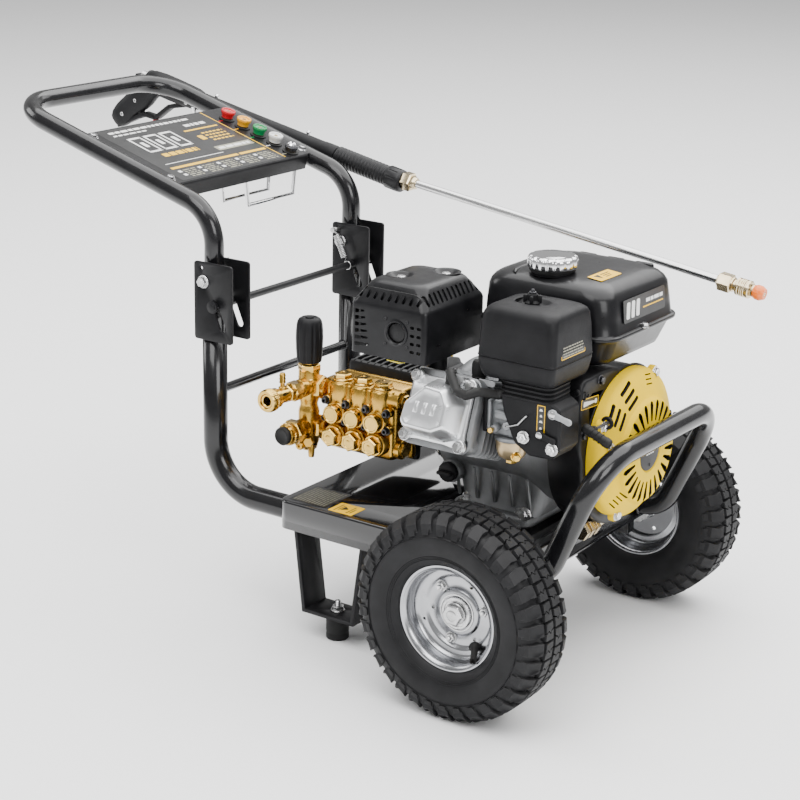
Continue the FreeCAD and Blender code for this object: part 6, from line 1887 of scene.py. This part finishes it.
def intake_case():
    """The moulded case under the air cleaner that carries the levers."""
    case = Shape()
    outline = rounded_polygon([(4, 385), (75, 385), (86, 378), (87, 330), (77, 317), (46, 316), (25, 328),
                               (10, 360)], [3, 5, 6, 7, 7, 9, 12, 9], 5)
    place = aim((0, -121, 0), -Y, X)
    case.prism(outline, 46.0, place, edge=2.2)
    for x, z, r in ((39, 338, 7.6), (78, 331, 7.2)):
        case.rod(r, 2.6, (x, -165.6, z), -Y, 36, 0.9)
    for x, z in ((78, 374), (62, 346)):
        case.rod(2.5, 6.2, (x, -166.8, z), -Y, 20, 0.3)
    piece("intake_case", case, PLASTIC, "frame", ["air_cleaner_base"], sharp=40)
    bolts = Shape()
    for x, z in ((39, 338), (78, 331)):
        bolts.bolt(5.4, (x, -168.0, z), -Y, head=5, washer=1.4, tip=1.5)
    piece("intake_bolts", bolts, ZINC, "frame")


def choke_mark():
    """A plain upright label beside the choke lever."""
    for name, wide, tall, lift, material in (("edge", 5.4, 17, 0.0, PRINT_YELLOW),
                                             ("ground", 4.4, 16, 0.07, PRINT_BLACK)):
        tag = Shape()
        tag.prism(rounded_polygon(oblong(-wide, -tall, wide, tall), 0.8), 0.14,
                  aim((61, -166.95 - lift, 364), -Y, X))
        piece(f"choke_mark_{name}", tag, material, "frame")
    symbols = Shape()
    for z, wide in ((375, 2.4), (368, 1.6), (361, 2.4), (353, 1.8)):
        symbols.prism([(-wide, -1.0), (wide, -1.0), (wide * 0.5, 1.6), (-wide * 0.5, 1.6)], 0.12,
                      aim((61, -167.1, z), -Y, X))
    piece("choke_mark_symbols", symbols, PRINT_WHITE, "frame")


def air_cleaner():
    air_cover()
    air_notice()
    air_knob()
    air_base()
    intake_case()
    choke_mark()
    dress("air_filter", FOAM, soften=2.0)


def carburettor():
    """The carburettor with its bowl, jets and linkage, its insulator and the fuel hose."""
    body = Shape()
    body.block((-13, -158, 328), (27, -124, 372), 5)
    body.rod(13.5, 46, (-14, -141, 352), X, 40, 2)
    body.block((-16, -162, 334), (-11, -120, 372), 1.6)
    body.block((22, -162, 332), (28, -120, 374), 1.6)
    body.rod(8, 10, (CARB_X, CARB_Y, 370), Z, 32, 1.4)
    body.rod(4.6, 12, (-2, -158, 340), -Y, 24, 1)
    body.rod(5.4, 9, (14, -158, 346), -Y, 24, 1)
    body.block((-4, -166, 352), (18, -157, 362), 2)
    for x in (-6, 20):
        body.rod(4.4, 46, (x, -146, 328), Z, 24, 0.6)
    body.lathe([(0, 0), (21, 0), (21.6, 0.8), (21.6, 4.6), (20.4, 5.6), (0, 5.6)],
               aim((CARB_X, CARB_Y, 323)), 48)
    piece("carburettor_body", body, CARB, "frame", ["carburettor"], sharp=45)
    bowl = Shape()
    bowl.lathe([(0, -2), (5, -1.6), (11, 0), (15.5, 3), (18, 8), (19.2, 14), (19.4, 22), (20.6, 22.6),
                (20.8, 24), (0, 24)],
               aim((CARB_X, CARB_Y, 299)), 56)
    piece("carburettor_bowl", bowl, BOWL, "frame", ["carburettor"])
    brass = Shape()
    brass.hexagon(6.2, 6, (CARB_X, CARB_Y, 298.6), -Z)
    brass.bolt(4.4, (21, -153, 306), Vector((0.7, -0.7, -0.2)), head=4, washer=1)
    brass.rod(1.6, 9, (-2, -168, 340), -Y, 16)
    brass.lathe([(0, 0), (3.2, 0), (3.4, 0.6), (3.4, 3.2), (2.8, 3.8), (0, 3.8)], aim((-2, -173, 340), -Y),
                24)
    piece("carburettor_jets", brass, BRASS_TURNED, "frame")
    steel = Shape()
    steel.tube(bent([(14, -167, 346), (14, -171, 346), (34, -171, 350), (44, -171, 366)], [3, 4], 5), 1.1,
               10)
    coil = [Vector((-2 + 2.6 * math.cos(TURN * k / 12), -160 - 9.0 * k / 96,
                    340 + 2.6 * math.sin(TURN * k / 12))) for k in range(97)]
    steel.tube(coil, 0.45, 8)
    steel.strip(bent([(CARB_X, CARB_Y, 381), (8, -150, 381), (20, -163, 381)], [5], 5), Z, 1.6, 6)
    steel.thread(3, 12, (-12, -123, 366), X)
    piece("carburettor_linkage", steel, ZINC, "frame")
    spacer = Shape()
    spacer.block((-21, -162, 332), (-16, -120, 374), 1.0)
    piece("carburettor_insulator", spacer, PLASTIC, "frame")
    hose = Shape()
    hose.tube(bent([(20, -124, 340), (26, -112, 342), (28, -100, 372), (24, -84, 404)], [12, 16], 8), 3.6,
              20)
    piece("fuel_hose", hose, RUBBER, "frame")


TANK_LOW, TANK_HIGH = Vector((-88, -75, 404)), Vector((94, 104, 505))
TANK_SEAM = 440.0


def tank_shell():
    """The tank: two pressed halves with a flange round their seam, a soft roof and a filler bore."""
    low, high, seam = TANK_LOW, TANK_HIGH, TANK_SEAM
    centre = middle_of(low, high)
    width, depth = high.x - low.x, high.y - low.y

    def level(z, side, front, corner):
        """One section, drawn in by side all round and by front at its front end."""
        return rounded_rectangle(width - 2 * side - front, depth - 2 * side, corner, z,
                                 (centre[0] - front / 2, centre[1]), 9)

    levels = [(low.z, 20, 3, 20), (low.z + 1.0, 15, 3, 22), (low.z + 4, 11.6, 2, 24),
              (low.z + 10, 9, 2, 25), (seam - 6, 3.2, 0, 26), (seam - 3.4, 1.4, 0, 26),
              (seam - 1.6, 0.4, 0, 26), (seam - 0.6, -4.2, 0, 29), (seam + 0.4, -5.0, 0, 30),
              (seam + 3.0, -5.0, 0, 30), (seam + 4.0, -4.2, 0, 29), (seam + 4.6, -0.6, 0, 26),
              (seam + 6.4, 0.2, 0, 26), (seam + 24, 0.8, 2, 26), (high.z - 20, 2.0, 4, 27),
              (high.z - 14, 3.6, 6, 28), (high.z - 9.4, 6.4, 8, 30), (high.z - 6, 10.6, 10, 32),
              (high.z - 3.4, 17, 12, 34), (high.z - 1.6, 26, 14, 34), (high.z - 0.5, 38, 14, 28),
              (high.z, 52, 14, 22)]
    tank = Shape().loft([level(*row) for row in levels])
    bore = Shape()
    bore.rod(21, 40, (FILLER_X, FILLER_Y, high.z - 26), Z, 56, 0.1)
    body = carve(tank.mesh("fuel_tank"), bore.mesh("bore"))
    piece("tank_shell", body, TANK, "frame", ["fuel_tank"], sharp=50)


def tank_trim():
    """The filler's neck, the pressed rib round it, three small pads and the bolts."""
    high, seam = TANK_HIGH, TANK_SEAM
    trim = Shape()
    trim.lathe([(21, -8), (24.6, -3), (27, -2.6), (27.6, -1.6), (24.6, -0.6), (24.2, 1), (24.2, 14),
                (23.4, 15), (21.8, 15), (21, 14)],
               aim((FILLER_X, FILLER_Y, high.z)), 64)
    arc = [Vector((FILLER_X + 45 * math.cos(a), FILLER_Y + 45 * math.sin(a),
                   high.z - 1.2 - 2.2 * max(0, -math.cos(a) * 45 - 20) / 25))
           for a in (math.radians(78 + 9 * k) for k in range(16))]
    trim.tube(arc, [3.4 if 0 < k < 15 else 0.6 for k in range(16)], 16)
    for k in range(3):
        trim.loft([rounded_rectangle(26 - i, 9 - i, 4, z, (-28 + 40 * k, 86), 4) for z, i in
                   ((high.z - 12, 0), (high.z - 5.4, 0), (high.z - 3.6, 1.2), (high.z - 3.0, 3.6))])
    piece("tank_trim", trim, TANK, "frame")
    bolts = Shape()
    for x, y in ((-90, 10), (96, 10)):
        bolts.bolt(4.6, (x, y, seam + 3), Z, head=4, washer=1.2)
    for x in (-50, 6):
        bolts.bolt(5, (x, 95, 416), Y, head=4)
    piece("tank_bolts", bolts, ZINC, "frame")


def tank_notice():
    """A plain label on the tank's roof."""
    high = TANK_HIGH
    notice = Shape()
    notice.prism(rounded_polygon(oblong(-10, -25, 10, 25), 1.6), 0.3,
                 aim((50, -11, high.z - 1.2), Vector((0.11, 0, 1)), X))
    piece("tank_notice", notice, PRINT_YELLOW, "frame")
    marks = Shape()
    place = aim((50, -11, high.z - 0.9), Vector((0.11, 0, 1)), X)
    marks.prism(rounded_polygon([(-6, -17), (6, -12), (-6, -7)], 0.8), 0.1, place)
    for row in range(3):
        marks.prism(oblong(-5 + 4 * row, -3, -3.4 + 4 * row, 16 - 3 * row), 0.1, place)
    piece("tank_notice_marks", marks, PRINT_BLACK, "frame")


def tank_front():
    """Three slanted blocks, dashes and a rule on the tank's front, where a maker would print a name."""
    emblem, rule, panel = Shape(), Shape(), Shape()
    place = aim((92.6, 14, 470), Vector((1, 0, 0.10)), Y)
    panel.prism(rounded_polygon(oblong(-52, -14, 52, 14), 3), 0.5, place @ shift(-0.2))
    for k in range(3):
        emblem.prism(rounded_polygon([(-46 + 12 * k, -10), (-38 + 12 * k, -10), (-35 + 12 * k, 10),
                                      (-43 + 12 * k, 10)], 2.2), 0.24, place @ shift(0.2))
    start = 4.0
    for run in (10, 7, 12, 8):
        emblem.prism(oblong(start, 2, start + run, 6.4), 0.24, place @ shift(0.2))
        start += run + 1.8
    rule.prism(oblong(-4, -3.4, 47, -1.8), 0.24, place @ shift(0.2))
    piece("tank_front_panel", panel, PRINT_BLACK, "frame")
    piece("tank_front_marks", emblem, PRINT_WHITE, "frame")
    piece("tank_front_rule", rule, PRINT_YELLOW, "frame")


def fuel_cap():
    """The chromed cap with its fluted rim, and the seal under it."""
    cap = Shape()
    place = aim((FILLER_X, FILLER_Y, TANK_HIGH.z))
    outline = [(0, 15.6), (24.6, 15.6), (24.6, 5.4), (29.4, 5.4), (30.4, 6.2), (30.9, 8), (30.9, 15.5),
               (30.2, 18.0), (28.4, 19.8), (26, 20.4), (22.6, 19.8), (20.6, 20.4), (12, 21.4), (0, 21.8)]
    cap.lathe(outline, place, 144, grooved(14, 0.055, lambda r, h: r > 28 and h > 5, 0.6))
    piece("fuel_cap_top", cap, CHROME, "fuel_cap", ["fuel_cap"], sharp=50)
    seal = Shape()
    seal.lathe([(24.7, 1.4), (27.6, 1.4), (28.2, 2.2), (28.2, 5.2), (24.7, 5.2)], place, 64)
    piece("fuel_cap_seal", seal, RUBBER, "fuel_cap")


def fuel_tank():
    tank_shell()
    tank_trim()
    tank_notice()
    tank_front()
    fuel_cap()


def lever(name, body, x, z, front, reach, rise, material):
    """A pressed control lever: a hub, a tapered arm and a rounded tab."""
    shape = Shape()
    place = aim((x, front, z), -Y, X) @ Matrix.Rotation(math.radians(rise), 4, "Z")
    shape.pipe(6, 2.55, 3.4, (x, front, z), -Y, 36, 0.6)
    arm = rounded_polygon([(3.5, -4), (reach * 0.55, -3.2), (reach, -4.2), (reach, 4.2),
                           (reach * 0.55, 3.2), (3.5, 4)],
                          [1, 6, 3.6, 3.6, 6, 1], 4)
    shape.prism(arm, 3.0, place @ shift(0.2), edge=0.6)
    shape.prism(rounded_polygon(oblong(reach - 7, -3.4, reach - 1.2, 3.4), 2), 1.1, place @ shift(2.6),
                edge=0.4)
    piece(name, shape, material, body, [body])


def controls():
    """The three levers of the engine and their screws."""
    specs = (("choke_arm", "choke_lever", 78, 374, -168.3, 26, LEVER_GREY, "grey_plastic"),
             ("fuel_arm", "fuel_lever", 62, 346, -168.3, 22, PLASTIC, "black_plastic"),
             ("throttle_arm", "throttle_lever", 58, 372, -108.3, 26, PLASTIC, "black_plastic"))
    for name, node, x, z, front, reach, material, slot in specs:
        low, high = local_box(node)
        far = Vector(((low.x if abs(low.x - x) > abs(high.x - x) else high.x) - x,
                      (low.z if abs(low.z - z) > abs(high.z - z) else high.z) - z))
        rise = math.degrees(math.atan2(far.y, far.x))
        lever(name, node, x, z, front, reach, rise, material)
    caps = Shape()
    for x, y, z in ((78, -171.9, 374), (62, -171.9, 346), (58, -111.9, 372)):
        caps.lathe([(0, 0), (4.2, 0), (4.2, 0.6), (3.0, 1.4), (0, 1.4)], aim((x, y, z), -Y), 28)
    piece("lever_screws", caps, ZINC, "frame")


# ---------------------------------------------------------------- pump

def column_places():
    """The three plungers' places along X."""
    return [PUMP_X + step * PUMP_PITCH for step in (-1, 0, 1)]


def pump_crankcase():
    """The pump's black crankcase with slanted fins, side cover, sight glass and engine flange."""
    block = Shape()
    centre_x = PUMP_X
    levels = [(-55.0, 4), (-54, 1.2), (-50, 0), (10, 0), (54, 0), (60, 1.6), (62, 5)]
    rings = []
    for y, inset in levels:
        outline = rounded_rectangle(PUMP_W - 2 * inset, 97 - 2 * inset, 14, 0, (0, 0), 6)
        rings.append([Vector((centre_x + p.x, y, 287.5 + p.y)) for p in outline])
    block.loft(rings)
    block.block((-297, -55, 228), (-185, -44, 346), 5)
    for k in range(10):
        x = centre_x + (k - 4.5) * 10.5
        profile = [(-54, 333), (-54, 346.4), (-46, 348.4), (30, 348.4), (52, 342), (58, 330)]
        block.prism(rounded_polygon(profile, [1, 5, 8, 14, 8, 1], 4), 3.0, aim((x - 1.5, 0, 0), X, Y),
                    edge=0.8)
    for z in (262, 287, 312):
        block.block((-299.4, -40, z - 1.6), (-294, 50, z + 1.6), 1.2)
    piece("pump_case", block, PUMP_BLACK_AND_VENT_SHADE, "frame", ["pump_crankcase"], sharp=36)
    flange = Shape()
    flange.lathe([(0, 0), (46, 0), (48, 2), (54, 26), (56, 30), (64.6, 32), (66, 33.4), (66, 41.6),
                  (65, 43), (0, 43)], aim(PUMP_FACE, X), 96)
    for k in range(8):
        a = TURN * (k + 0.5) / 8
        place = aim(PUMP_FACE, X) @ Matrix.Rotation(a, 4, "Z")
        flange.prism([(44, 4), (62, 30), (44, 34)], 5,
                     place @ Matrix.Translation((0, 2.5, 0)) @ Matrix.Rotation(math.pi / 2, 4, "X"),
                     edge=0.8)
    piece("pump_flange", flange, PUMP_BLACK_AND_VENT_SHADE, "frame", ["pump_crankcase"], sharp=36)
    side = Shape()
    side.lathe([(0, 0), (33, 0), (34, 1), (34, 3.4), (32, 4.4), (25, 4.8), (23, 3.6), (0, 3.6)],
               aim((-296.4, 4, 287), -X), 64)
    piece("pump_side_cover", side, PUMP_BLACK_AND_VENT_SHADE, "frame")
    screws = Shape()
    for spot in round_x(-300.4, (4, 287), 28.6, 6):
        screws.socket_screw(3.4, 3.6, spot, -X)
    for spot in round_x(-151.6, (-2, 287), 58, 4, TURN / 8):
        screws.bolt(5.6, spot, -X, head=6, washer=1.4)
    piece("pump_case_screws", screws, ZINC, "frame")
    rear = Shape()
    rear.lathe([(0, 0), (15, 0), (16, 0.8), (16, 3), (14.6, 3.8), (11, 3.8), (10.4, 2.6), (0, 2.6)],
               aim((-268, 62, 287), Y), 48)
    piece("pump_sight_ring", rear, BRASS_TURNED, "frame")
    glass = Shape()
    glass.lathe([(0, 0), (10, 0), (10, 0.8), (8, 1.4), (0, 1.6)], aim((-268, 64.4, 287), Y), 40)
    piece("pump_sight_glass", glass, RED, "frame")
    filler = Shape()
    filler.lathe([(0, 0), (9, 0), (9, 4), (11.5, 4.6), (12, 6), (12, 11), (10.6, 12.6), (0, 13)],
                 aim((-212, 44, 336), Z), 36, lambda p, r,
                 h: p * (1 - 0.05 * (0.5 + 0.5 * math.cos(12 * math.atan2(p.y, p.x))))
                 if r > 10.5 else p)
    piece("pump_oil_cap", filler, YELLOW, "frame")


def bulge(shape, x, low, high, front, radius, back):
    """One upright half-round column on the face of the pump's head, with soft ends."""
    rings = []
    for z, grow in ((low, -4), (low + 1.6, -1.2), (low + 4, 0), (high - 4, 0), (high - 1.6, -1.2),
                    (high, -4)):
        arc = [Vector((x + (radius + grow) * math.sin(a), front + radius - (radius + grow) * math.cos(a), z))
               for a in (math.radians(-90 + 12 * k) for k in range(16))]
        arc += [Vector((x + radius + grow, back, z)), Vector((x - radius - grow, back, z))]
        rings.append(arc)
    return shape.loft(rings)


def pump_casting():
    """The forged brass head: three upright columns, round bosses, a waist and a lower row of necks."""
    head = Shape()
    front, back = HEAD_Y, -55.0
    low, high = 237.0, 333.0
    waist = front + 9
    levels = [(low + 2, 9), (low + 5, 5), (low + 9, 3), (high - 40, 1.5), (high - 14, 0), (high - 3, 0),
              (high - 1, 1.2), (high, 3)]
    head.loft([rounded_rectangle(PUMP_W - 2 * shrink, (back - waist) - shrink, 8, z,
                                 (PUMP_X, (waist + back) / 2 + shrink / 2), 5)
               for z, shrink in levels])
    for x in column_places():
        bulge(head, x, 300, high - 0.6, front + 0.2, 15.7, back - 6)
        head.lathe([(0, -3), (15.5, -3), (15.8, -1), (15.8, 1.2), (14.4, 2.2), (0, 2.2)],
                   aim((x, -99, high - 2.2)), 48)
        head.lathe([(0, 0), (15.4, 0), (15.4, 13), (14.2, 15.2), (12.6, 15.6), (0, 15.6)],
                   aim((x, front + 15.8, 292), -Y), 48)
        head.lathe([(0, 0), (16.2, 0), (16.2, 12), (15.2, 15), (13.8, 15.8), (0, 15.8)],
                   aim((x, front + 16, 262), -Y), 48)
        head.rod(11.4, 30, (x, front + 12, 278), Y, 32, 2)
    for k in (-0.5, 0.5):
        x = PUMP_X + k * PUMP_PITCH
        head.block((x - 4, front + 6, 250), (x + 4, front + 20, 330), 2.5)
        for z in SCREW_ROWS:
            head.rod(6.6, 8, (x, front + 11.5, z), -Y, 28, 1.4)
    for x in (PUMP_X - 1.5 * PUMP_PITCH, PUMP_X + 1.5 * PUMP_PITCH):
        for z in SCREW_ROWS:
            head.rod(6.6, 10, (x, front + 13, z), -Y, 28, 1.4)
    head.block((-297, -66, 233), (-185, -55.3, 334), 5)
    head.rod(13, 20, (-199, -97, 321), X, 40, 2)
    head.rod(13, 22, (-203, -90, 254), X, 40, 2)
    piece("pump_head_casting", head, BRASS, "frame", ["pump_head"], soften=0.9, sharp=30)
    plug = Shape()
    plug.nut(8, 9, (-184.8, -97, 321), X, washer=1.2)
    plug.lathe(oblong(0, 0, 5, 2.4), aim((-175, -97, 321), X), 28)
    plug.nut(9, 6, (-184.8, -90, 254), X, washer=1.2)
    piece("pump_head_plugs", plug, BRASS_TURNED, "frame", ["pump_head"])


def pump_caps():
    """The hexagonal valve caps over, in front of and below each plunger, and the screws between them."""
    caps = Shape()
    for k, x in enumerate(column_places()):
        turn = Matrix.Rotation(0.35 + 0.2 * k, 4, "Z")
        side = turn @ Vector((1, 0, 0))
        caps.lathe([(0, -2), (12.4, -2), (12.8, -1), (12.8, 2.2), (12.0, 3.0), (0, 3.0)],
                   aim((x, -99, 333)), 44)
        hexed = [circle(11.2, 6, 0.3 + 0.2 * k, 2.6), circle(11.5, 6, 0.3 + 0.2 * k, 3.2),
                 circle(11.5, 6, 0.3 + 0.2 * k, 7.6), circle(10.2, 6, 0.3 + 0.2 * k, 9.0)]
        caps.loft(hexed, aim((x, -99, 333)))
        caps.lathe([(3.4, 8.8), (8.6, 8.8), (8.4, 9.4), (3.8, 9.4)], aim((x, -99, 333)), 32)
        caps.lathe([(0, -1), (12, -1), (12, 8.4), (11.2, 9.8), (9.6, 10.0), (8.8, 9.2), (0, 8.8)],
                   aim((x, HEAD_Y, 292), -Y), 44)
        place = aim((x, HEAD_Y, 262), -Y, side + Vector((0, 0, 0.4)))
        caps.lathe([(0, -1), (13.4, -1), (13.8, 0), (13.8, 3.2), (13.0, 4.0), (0, 4.0)], place, 44)
        hexed = [circle(12.4, 6, 0, 3.8), circle(12.5, 6, 0, 4.4), circle(12.5, 6, 0, 12.2),
                 circle(10.9, 6, 0, 13.6)]
        caps.loft(hexed, place)
        caps.lathe([(4.4, 13.2), (9.4, 13.2), (9.2, 14), (7.4, 14), (5.6, 12.2), (4.4, 12.2)], place, 40)
        caps.lathe([(0, 11), (5.0, 11), (5.0, 13.1), (3.2, 13.8), (0, 14.0)], place, 32)
    piece("pump_valve_caps", caps, BRASS_TURNED, "frame", ["pump_caps"], sharp=34)
    screws = Shape()
    for k in (-1.5, -0.5, 0.5, 1.5):
        x = PUMP_X + k * PUMP_PITCH
        for z in SCREW_ROWS:
            screws.lathe(oblong(0, 0, 5.6, 0.8), aim((x, HEAD_Y + 3.4, z), -Y), 28)
            screws.socket_screw(4.2, 5.2, (x, HEAD_Y + 2.8, z), -Y)
    piece("pump_head_screws", screws, BLUED, "frame")


def pump_head():
    pump_casting()
    pump_caps()


def unloader_column():
    """The unloader's column, its two arms, the outlet's and the inlet's necks, and their nuts."""
    vx, vy = VALVE.xy
    body = Shape()
    body.lathe([(0, 0), (9, 0), (11, 2), (12.4, 8), (13.8, 12), (13.8, 52), (13.0, 56), (11.6, 60),
                (11.6, 64), (13.0, 68), (13.8, 72), (13.8, 106), (12.6, 110), (10.6, 111), (10.6, 118),
                (0, 118)],
               aim((vx, vy, 232)), 56)
    for z, r in ((OUTLET_Z - 1, 12.6), (INLET_Z, 12.6)):
        body.lathe([(0, 0), (r, 0), (r + 0.8, 2), (r + 0.8, 9), (r - 1.2, 11), (r - 1.2, 23)],
                   aim((vx + 2, vy + 6, z), X), 44)
    body.lathe([(0, 0), (12.2, 0), (12.2, 13), (11, 15.6), (0, 15.6)], aim((vx, vy - 6, OUTLET_Z), -Y), 48)
    body.lathe([(8, 10), (12, 10), (13, 12), (13, 24), (12.2, 26), (12.2, 29), (13, 31), (13, 50.6),
                (12.2, 51.8), (9, 52), (8, 51.2)],
               aim((vx, vy, INLET_Z), -Y), 56)
    body.lathe([(0, 0), (6, 0), (6, 12.6), (5, 14), (2.2, 14), (2.2, 11.6), (0, 11.6)],
               aim((vx, vy - 8, 241), -Y), 32)
    body.nut(6.4, 5, (vx + 9, vy - 11.5, 246), Vector((0.4, -1, 0)))
    body.tube([(vx + 12, vy - 10, 241), (vx + 14, vy - 13, 233), (vx + 14, vy - 13, 227)], [4.6, 4.4, 3.8],
              20)
    piece("unloader_valve", body, BRASS, "frame", ["unloader_body"], soften=0.5, sharp=34)
    collars = Shape()
    collars.nut(13.2, 9, (vx, vy, 322), Z, side=(1, 0.3, 0))
    collars.hexagon(12.8, 10, (vx, vy, 338.5), Z, (1, 0.5, 0))
    for z in (OUTLET_Z - 1, INLET_Z):
        collars.hexagon(14.4, 8, (vx + 12.5, vy + 6, z), X, (0, 0, 1))
    collars.hexagon(14.6, 14, (vx, vy - 26, INLET_Z), -Y)
    collars.lathe([(8, 40), (14.6, 40), (15, 40.8), (15, 46.4), (14.2, 47.4), (8, 47.4)],
                  aim((vx, vy, INLET_Z), -Y), 56, knurled(56, 0.965, lambda r, h: r > 14))
    piece("unloader_nuts", collars, BRASS_TURNED, "frame", ["unloader_body"], sharp=34)


def pressure_knob():
    """The fluted knob on the column's top."""
    knob = Shape()
    place = aim((*VALVE.xy, 350))
    ribs = grooved(10, 0.075, lambda r, h: 3 < h < 51 and r > 14, 2.0)
    knob.lathe([(0, 0.4), (14.6, 0.4), (15.6, 1.0), (16.2, 3.2), (16.8, 8), (17.5, 18), (17.9, 32),
                (17.7, 42), (17.0, 49), (15.8, 54), (13.8, 57.2), (11, 59), (10.2, 59.2), (9.2, 58.2),
                (0, 57.6)], place, 120, ribs)
    knob.lathe([(0, 57.4), (5.4, 57.4), (5.4, 59.2), (4.8, 60), (0, 60)], place, 32)
    piece("pressure_knob", knob, PLASTIC, "unloader_knob", ["unloader_knob"], sharp=40)


def outlet():
    """The outlet with its injector, the coupling's barrel and its sliding collar, and a dark disc painted as
    shade at the bottom of the barrel's bore.
    """
    vx, vy = VALVE.xy
    out = Shape()
    y = vy - 22
    out.lathe(oblong(0, 0, 10.8, 3), aim((vx, y + 1, OUTLET_Z), -Y), 40)
    out.hexagon(11.3, 18, (vx, y - 1, OUTLET_Z), -Y)
    out.hexagon(10.4, 10, (vx, y - 17, OUTLET_Z), -Y, (1, 0, 0.5))
    piece("injector_hexes", out, BRASS_TURNED, "frame", ["outlet_coupler"], sharp=34)
    barrel = Shape()
    barrel.lathe([(6.1, 38), (6.1, 65.4), (6.7, 66), (8.4, 66), (9, 65.4), (9, 40), (9.8, 38), (9.8, 27),
                  (9, 26), (0, 26), (0, 38)],
                 aim((vx, y, OUTLET_Z), -Y), 48)
    piece("coupling_barrel", barrel, BRASS_TURNED, "frame", ["outlet_coupler"], sharp=34)
    barb = Shape()
    barb.lathe([(0, 0), (5.2, 0), (5.2, 3), (3.2, 4.4), (3.2, 9), (4.5, 9.4), (3.4, 13.2), (4.5, 13.6),
                (3.4, 17.4), (4.5, 17.8), (3.2, 21.6), (2.7, 22), (1.4, 22), (1.4, 20), (0, 20)],
               aim((vx, vy - 56, OUTLET_Z + 8)), 32)
    piece("injector_barb", barb, BRASS, "frame", ["outlet_coupler"], sharp=34)
    # Painted shade: a dark disc laid on the bottom of the coupling's bore; the locking balls share its dark
    # finish.
    inner = Shape()
    inner.lathe(oblong(0, 0, 5.9, 0.6), aim((vx, vy - 59.4, OUTLET_Z), -Y), 32)
    for k in range(6):
        a = TURN * k / 6
        inner.ball(1.2, (vx + 6.6 * math.cos(a), vy - 78, OUTLET_Z + 6.6 * math.sin(a)), 8)
    piece("coupling_balls_and_bore_shade", inner, DARK_BALLS_AND_BORE_SHADE, "frame")

    collar = Shape()
    place = aim((vx, vy - 69, OUTLET_Z), -Y)
    grip = knurled(72, 0.972, lambda r, h: r > 14.6 and 10 < h < 18)
    collar.lathe([(9.3, 0.6), (10, 0), (12.4, 0), (13, 0.8), (13, 8), (14.2, 9), (15, 10.2), (15, 12.4),
                  (14.2, 12.9), (14.2, 13.5), (15, 14), (15, 17.6), (14.4, 18.6), (13.9, 20.2), (13.2, 21),
                  (10, 21), (9.3, 20.4)], place, 144,
                 grip)
    piece("release_collar", collar, BRASS_TURNED, "coupler_collar", ["coupler_collar"], sharp=34)


def inlet_cap():
    """The transport plug in the water inlet."""
    plug = Shape()
    place = aim((VALVE.x, VALVE.y - 52, INLET_Z), -Y)
    plug.lathe([(0, -14), (7.0, -14), (7.9, -13), (7.9, 0.35), (11.6, 0.35), (12, 1.0), (12, 4.6),
                (10.6, 6.4), (9.6, 6.9), (8.8, 6.2), (0, 5.6)],
               place, 56, grooved(16, 0.03, lambda r, h: r > 11 and h > 0.5))
    piece("inlet_cap", plug, RUBBER, "inlet_plug", ["inlet_plug"])


def unloader():
    unloader_column()
    pressure_knob()
    outlet()
    inlet_cap()


# ---------------------------------------------------------------- floor, light and camera

def stage():
    plain = bpy.data.materials.new("floor")
    plain.use_nodes = True
    shader = plain.node_tree.nodes["Principled BSDF"]
    shader.inputs["Base Color"].default_value = (0.93, 0.93, 0.93, 1)
    shader.inputs["Roughness"].default_value = 0.75
    mesh = bpy.data.meshes.new("floor")
    reach, back = 30.0, 27.0
    mesh.from_pydata([(-reach, -reach, 0), (reach, -reach, 0), (reach, back + 3, 0), (-reach, back + 3, 0)],
                     [], [(0, 1, 2, 3)])
    mesh.materials.append(plain)
    floor = bpy.data.objects.new("floor", mesh)
    bpy.context.scene.collection.objects.link(floor)

    world = bpy.data.worlds.new("studio")
    bpy.context.scene.world = world
    world.use_nodes = True
    world.node_tree.nodes["Background"].inputs["Color"].default_value = (1, 1, 1, 1)
    world.node_tree.nodes["Background"].inputs["Strength"].default_value = 0.50
    lamps = (("sky", (0.3, 1.0, 4.5), 7.0, 700), ("key", (0.1, -1.8, 2.6), 1.6, 48),
             ("left", (-2.6, -0.8, 1.6), 1.2, 22), ("right", (2.6, -1.2, 1.8), 1.4, 44),
             ("back", (0.4, 2.6, 2.2), 1.8, 26))
    target = Vector((0, 0, 0.3))
    for name, spot, size, power in lamps:
        data = bpy.data.lights.new(name, "AREA")
        data.energy, data.size, data.shape = power, size, "SQUARE"
        lamp = bpy.data.objects.new(name, data)
        bpy.context.scene.collection.objects.link(lamp)
        lamp.location = spot
        lamp.rotation_mode = "QUATERNION"
        lamp.rotation_quaternion = (target - Vector(spot)).to_track_quat("-Z", "Y")


def camera():
    azimuth, elevation, roll = math.radians(34.4), math.radians(17.6), math.radians(1.2)
    distance = 2.6296
    target = to_frame((-251.5, 0, 284.5))
    back = Vector((math.sin(azimuth) * math.cos(elevation), -math.cos(azimuth) * math.cos(elevation),
                   math.sin(elevation)))
    right = Vector((math.cos(azimuth), math.sin(azimuth), 0))
    up = back.cross(right)
    turned_right = right * math.cos(roll) + up * math.sin(roll)
    turned_up = up * math.cos(roll) - right * math.sin(roll)
    data = bpy.data.cameras.new("camera")
    data.sensor_width, data.lens = 36, 89.65
    data.clip_start, data.clip_end = 0.05, 60
    obj = bpy.data.objects.new("camera", data)
    bpy.context.scene.collection.objects.link(obj)
    turn = Matrix((turned_right, turned_up, back)).transposed().to_4x4()
    obj.matrix_world = Matrix.Translation(target + back * distance) @ turn
    bpy.context.scene.camera = obj


for build in (frame_tubes, tray, stand, axle, bolts, fold_brackets, wheels, handle, gun, lance, crankcase,
              cylinder, head_cover, spark_plug, oil_cap, fan_housing, recoil_cover, starter, muffler,
              air_cleaner, carburettor, fuel_tank, controls, pump_crankcase, pump_head, unloader, stage,
              camera):
    build()
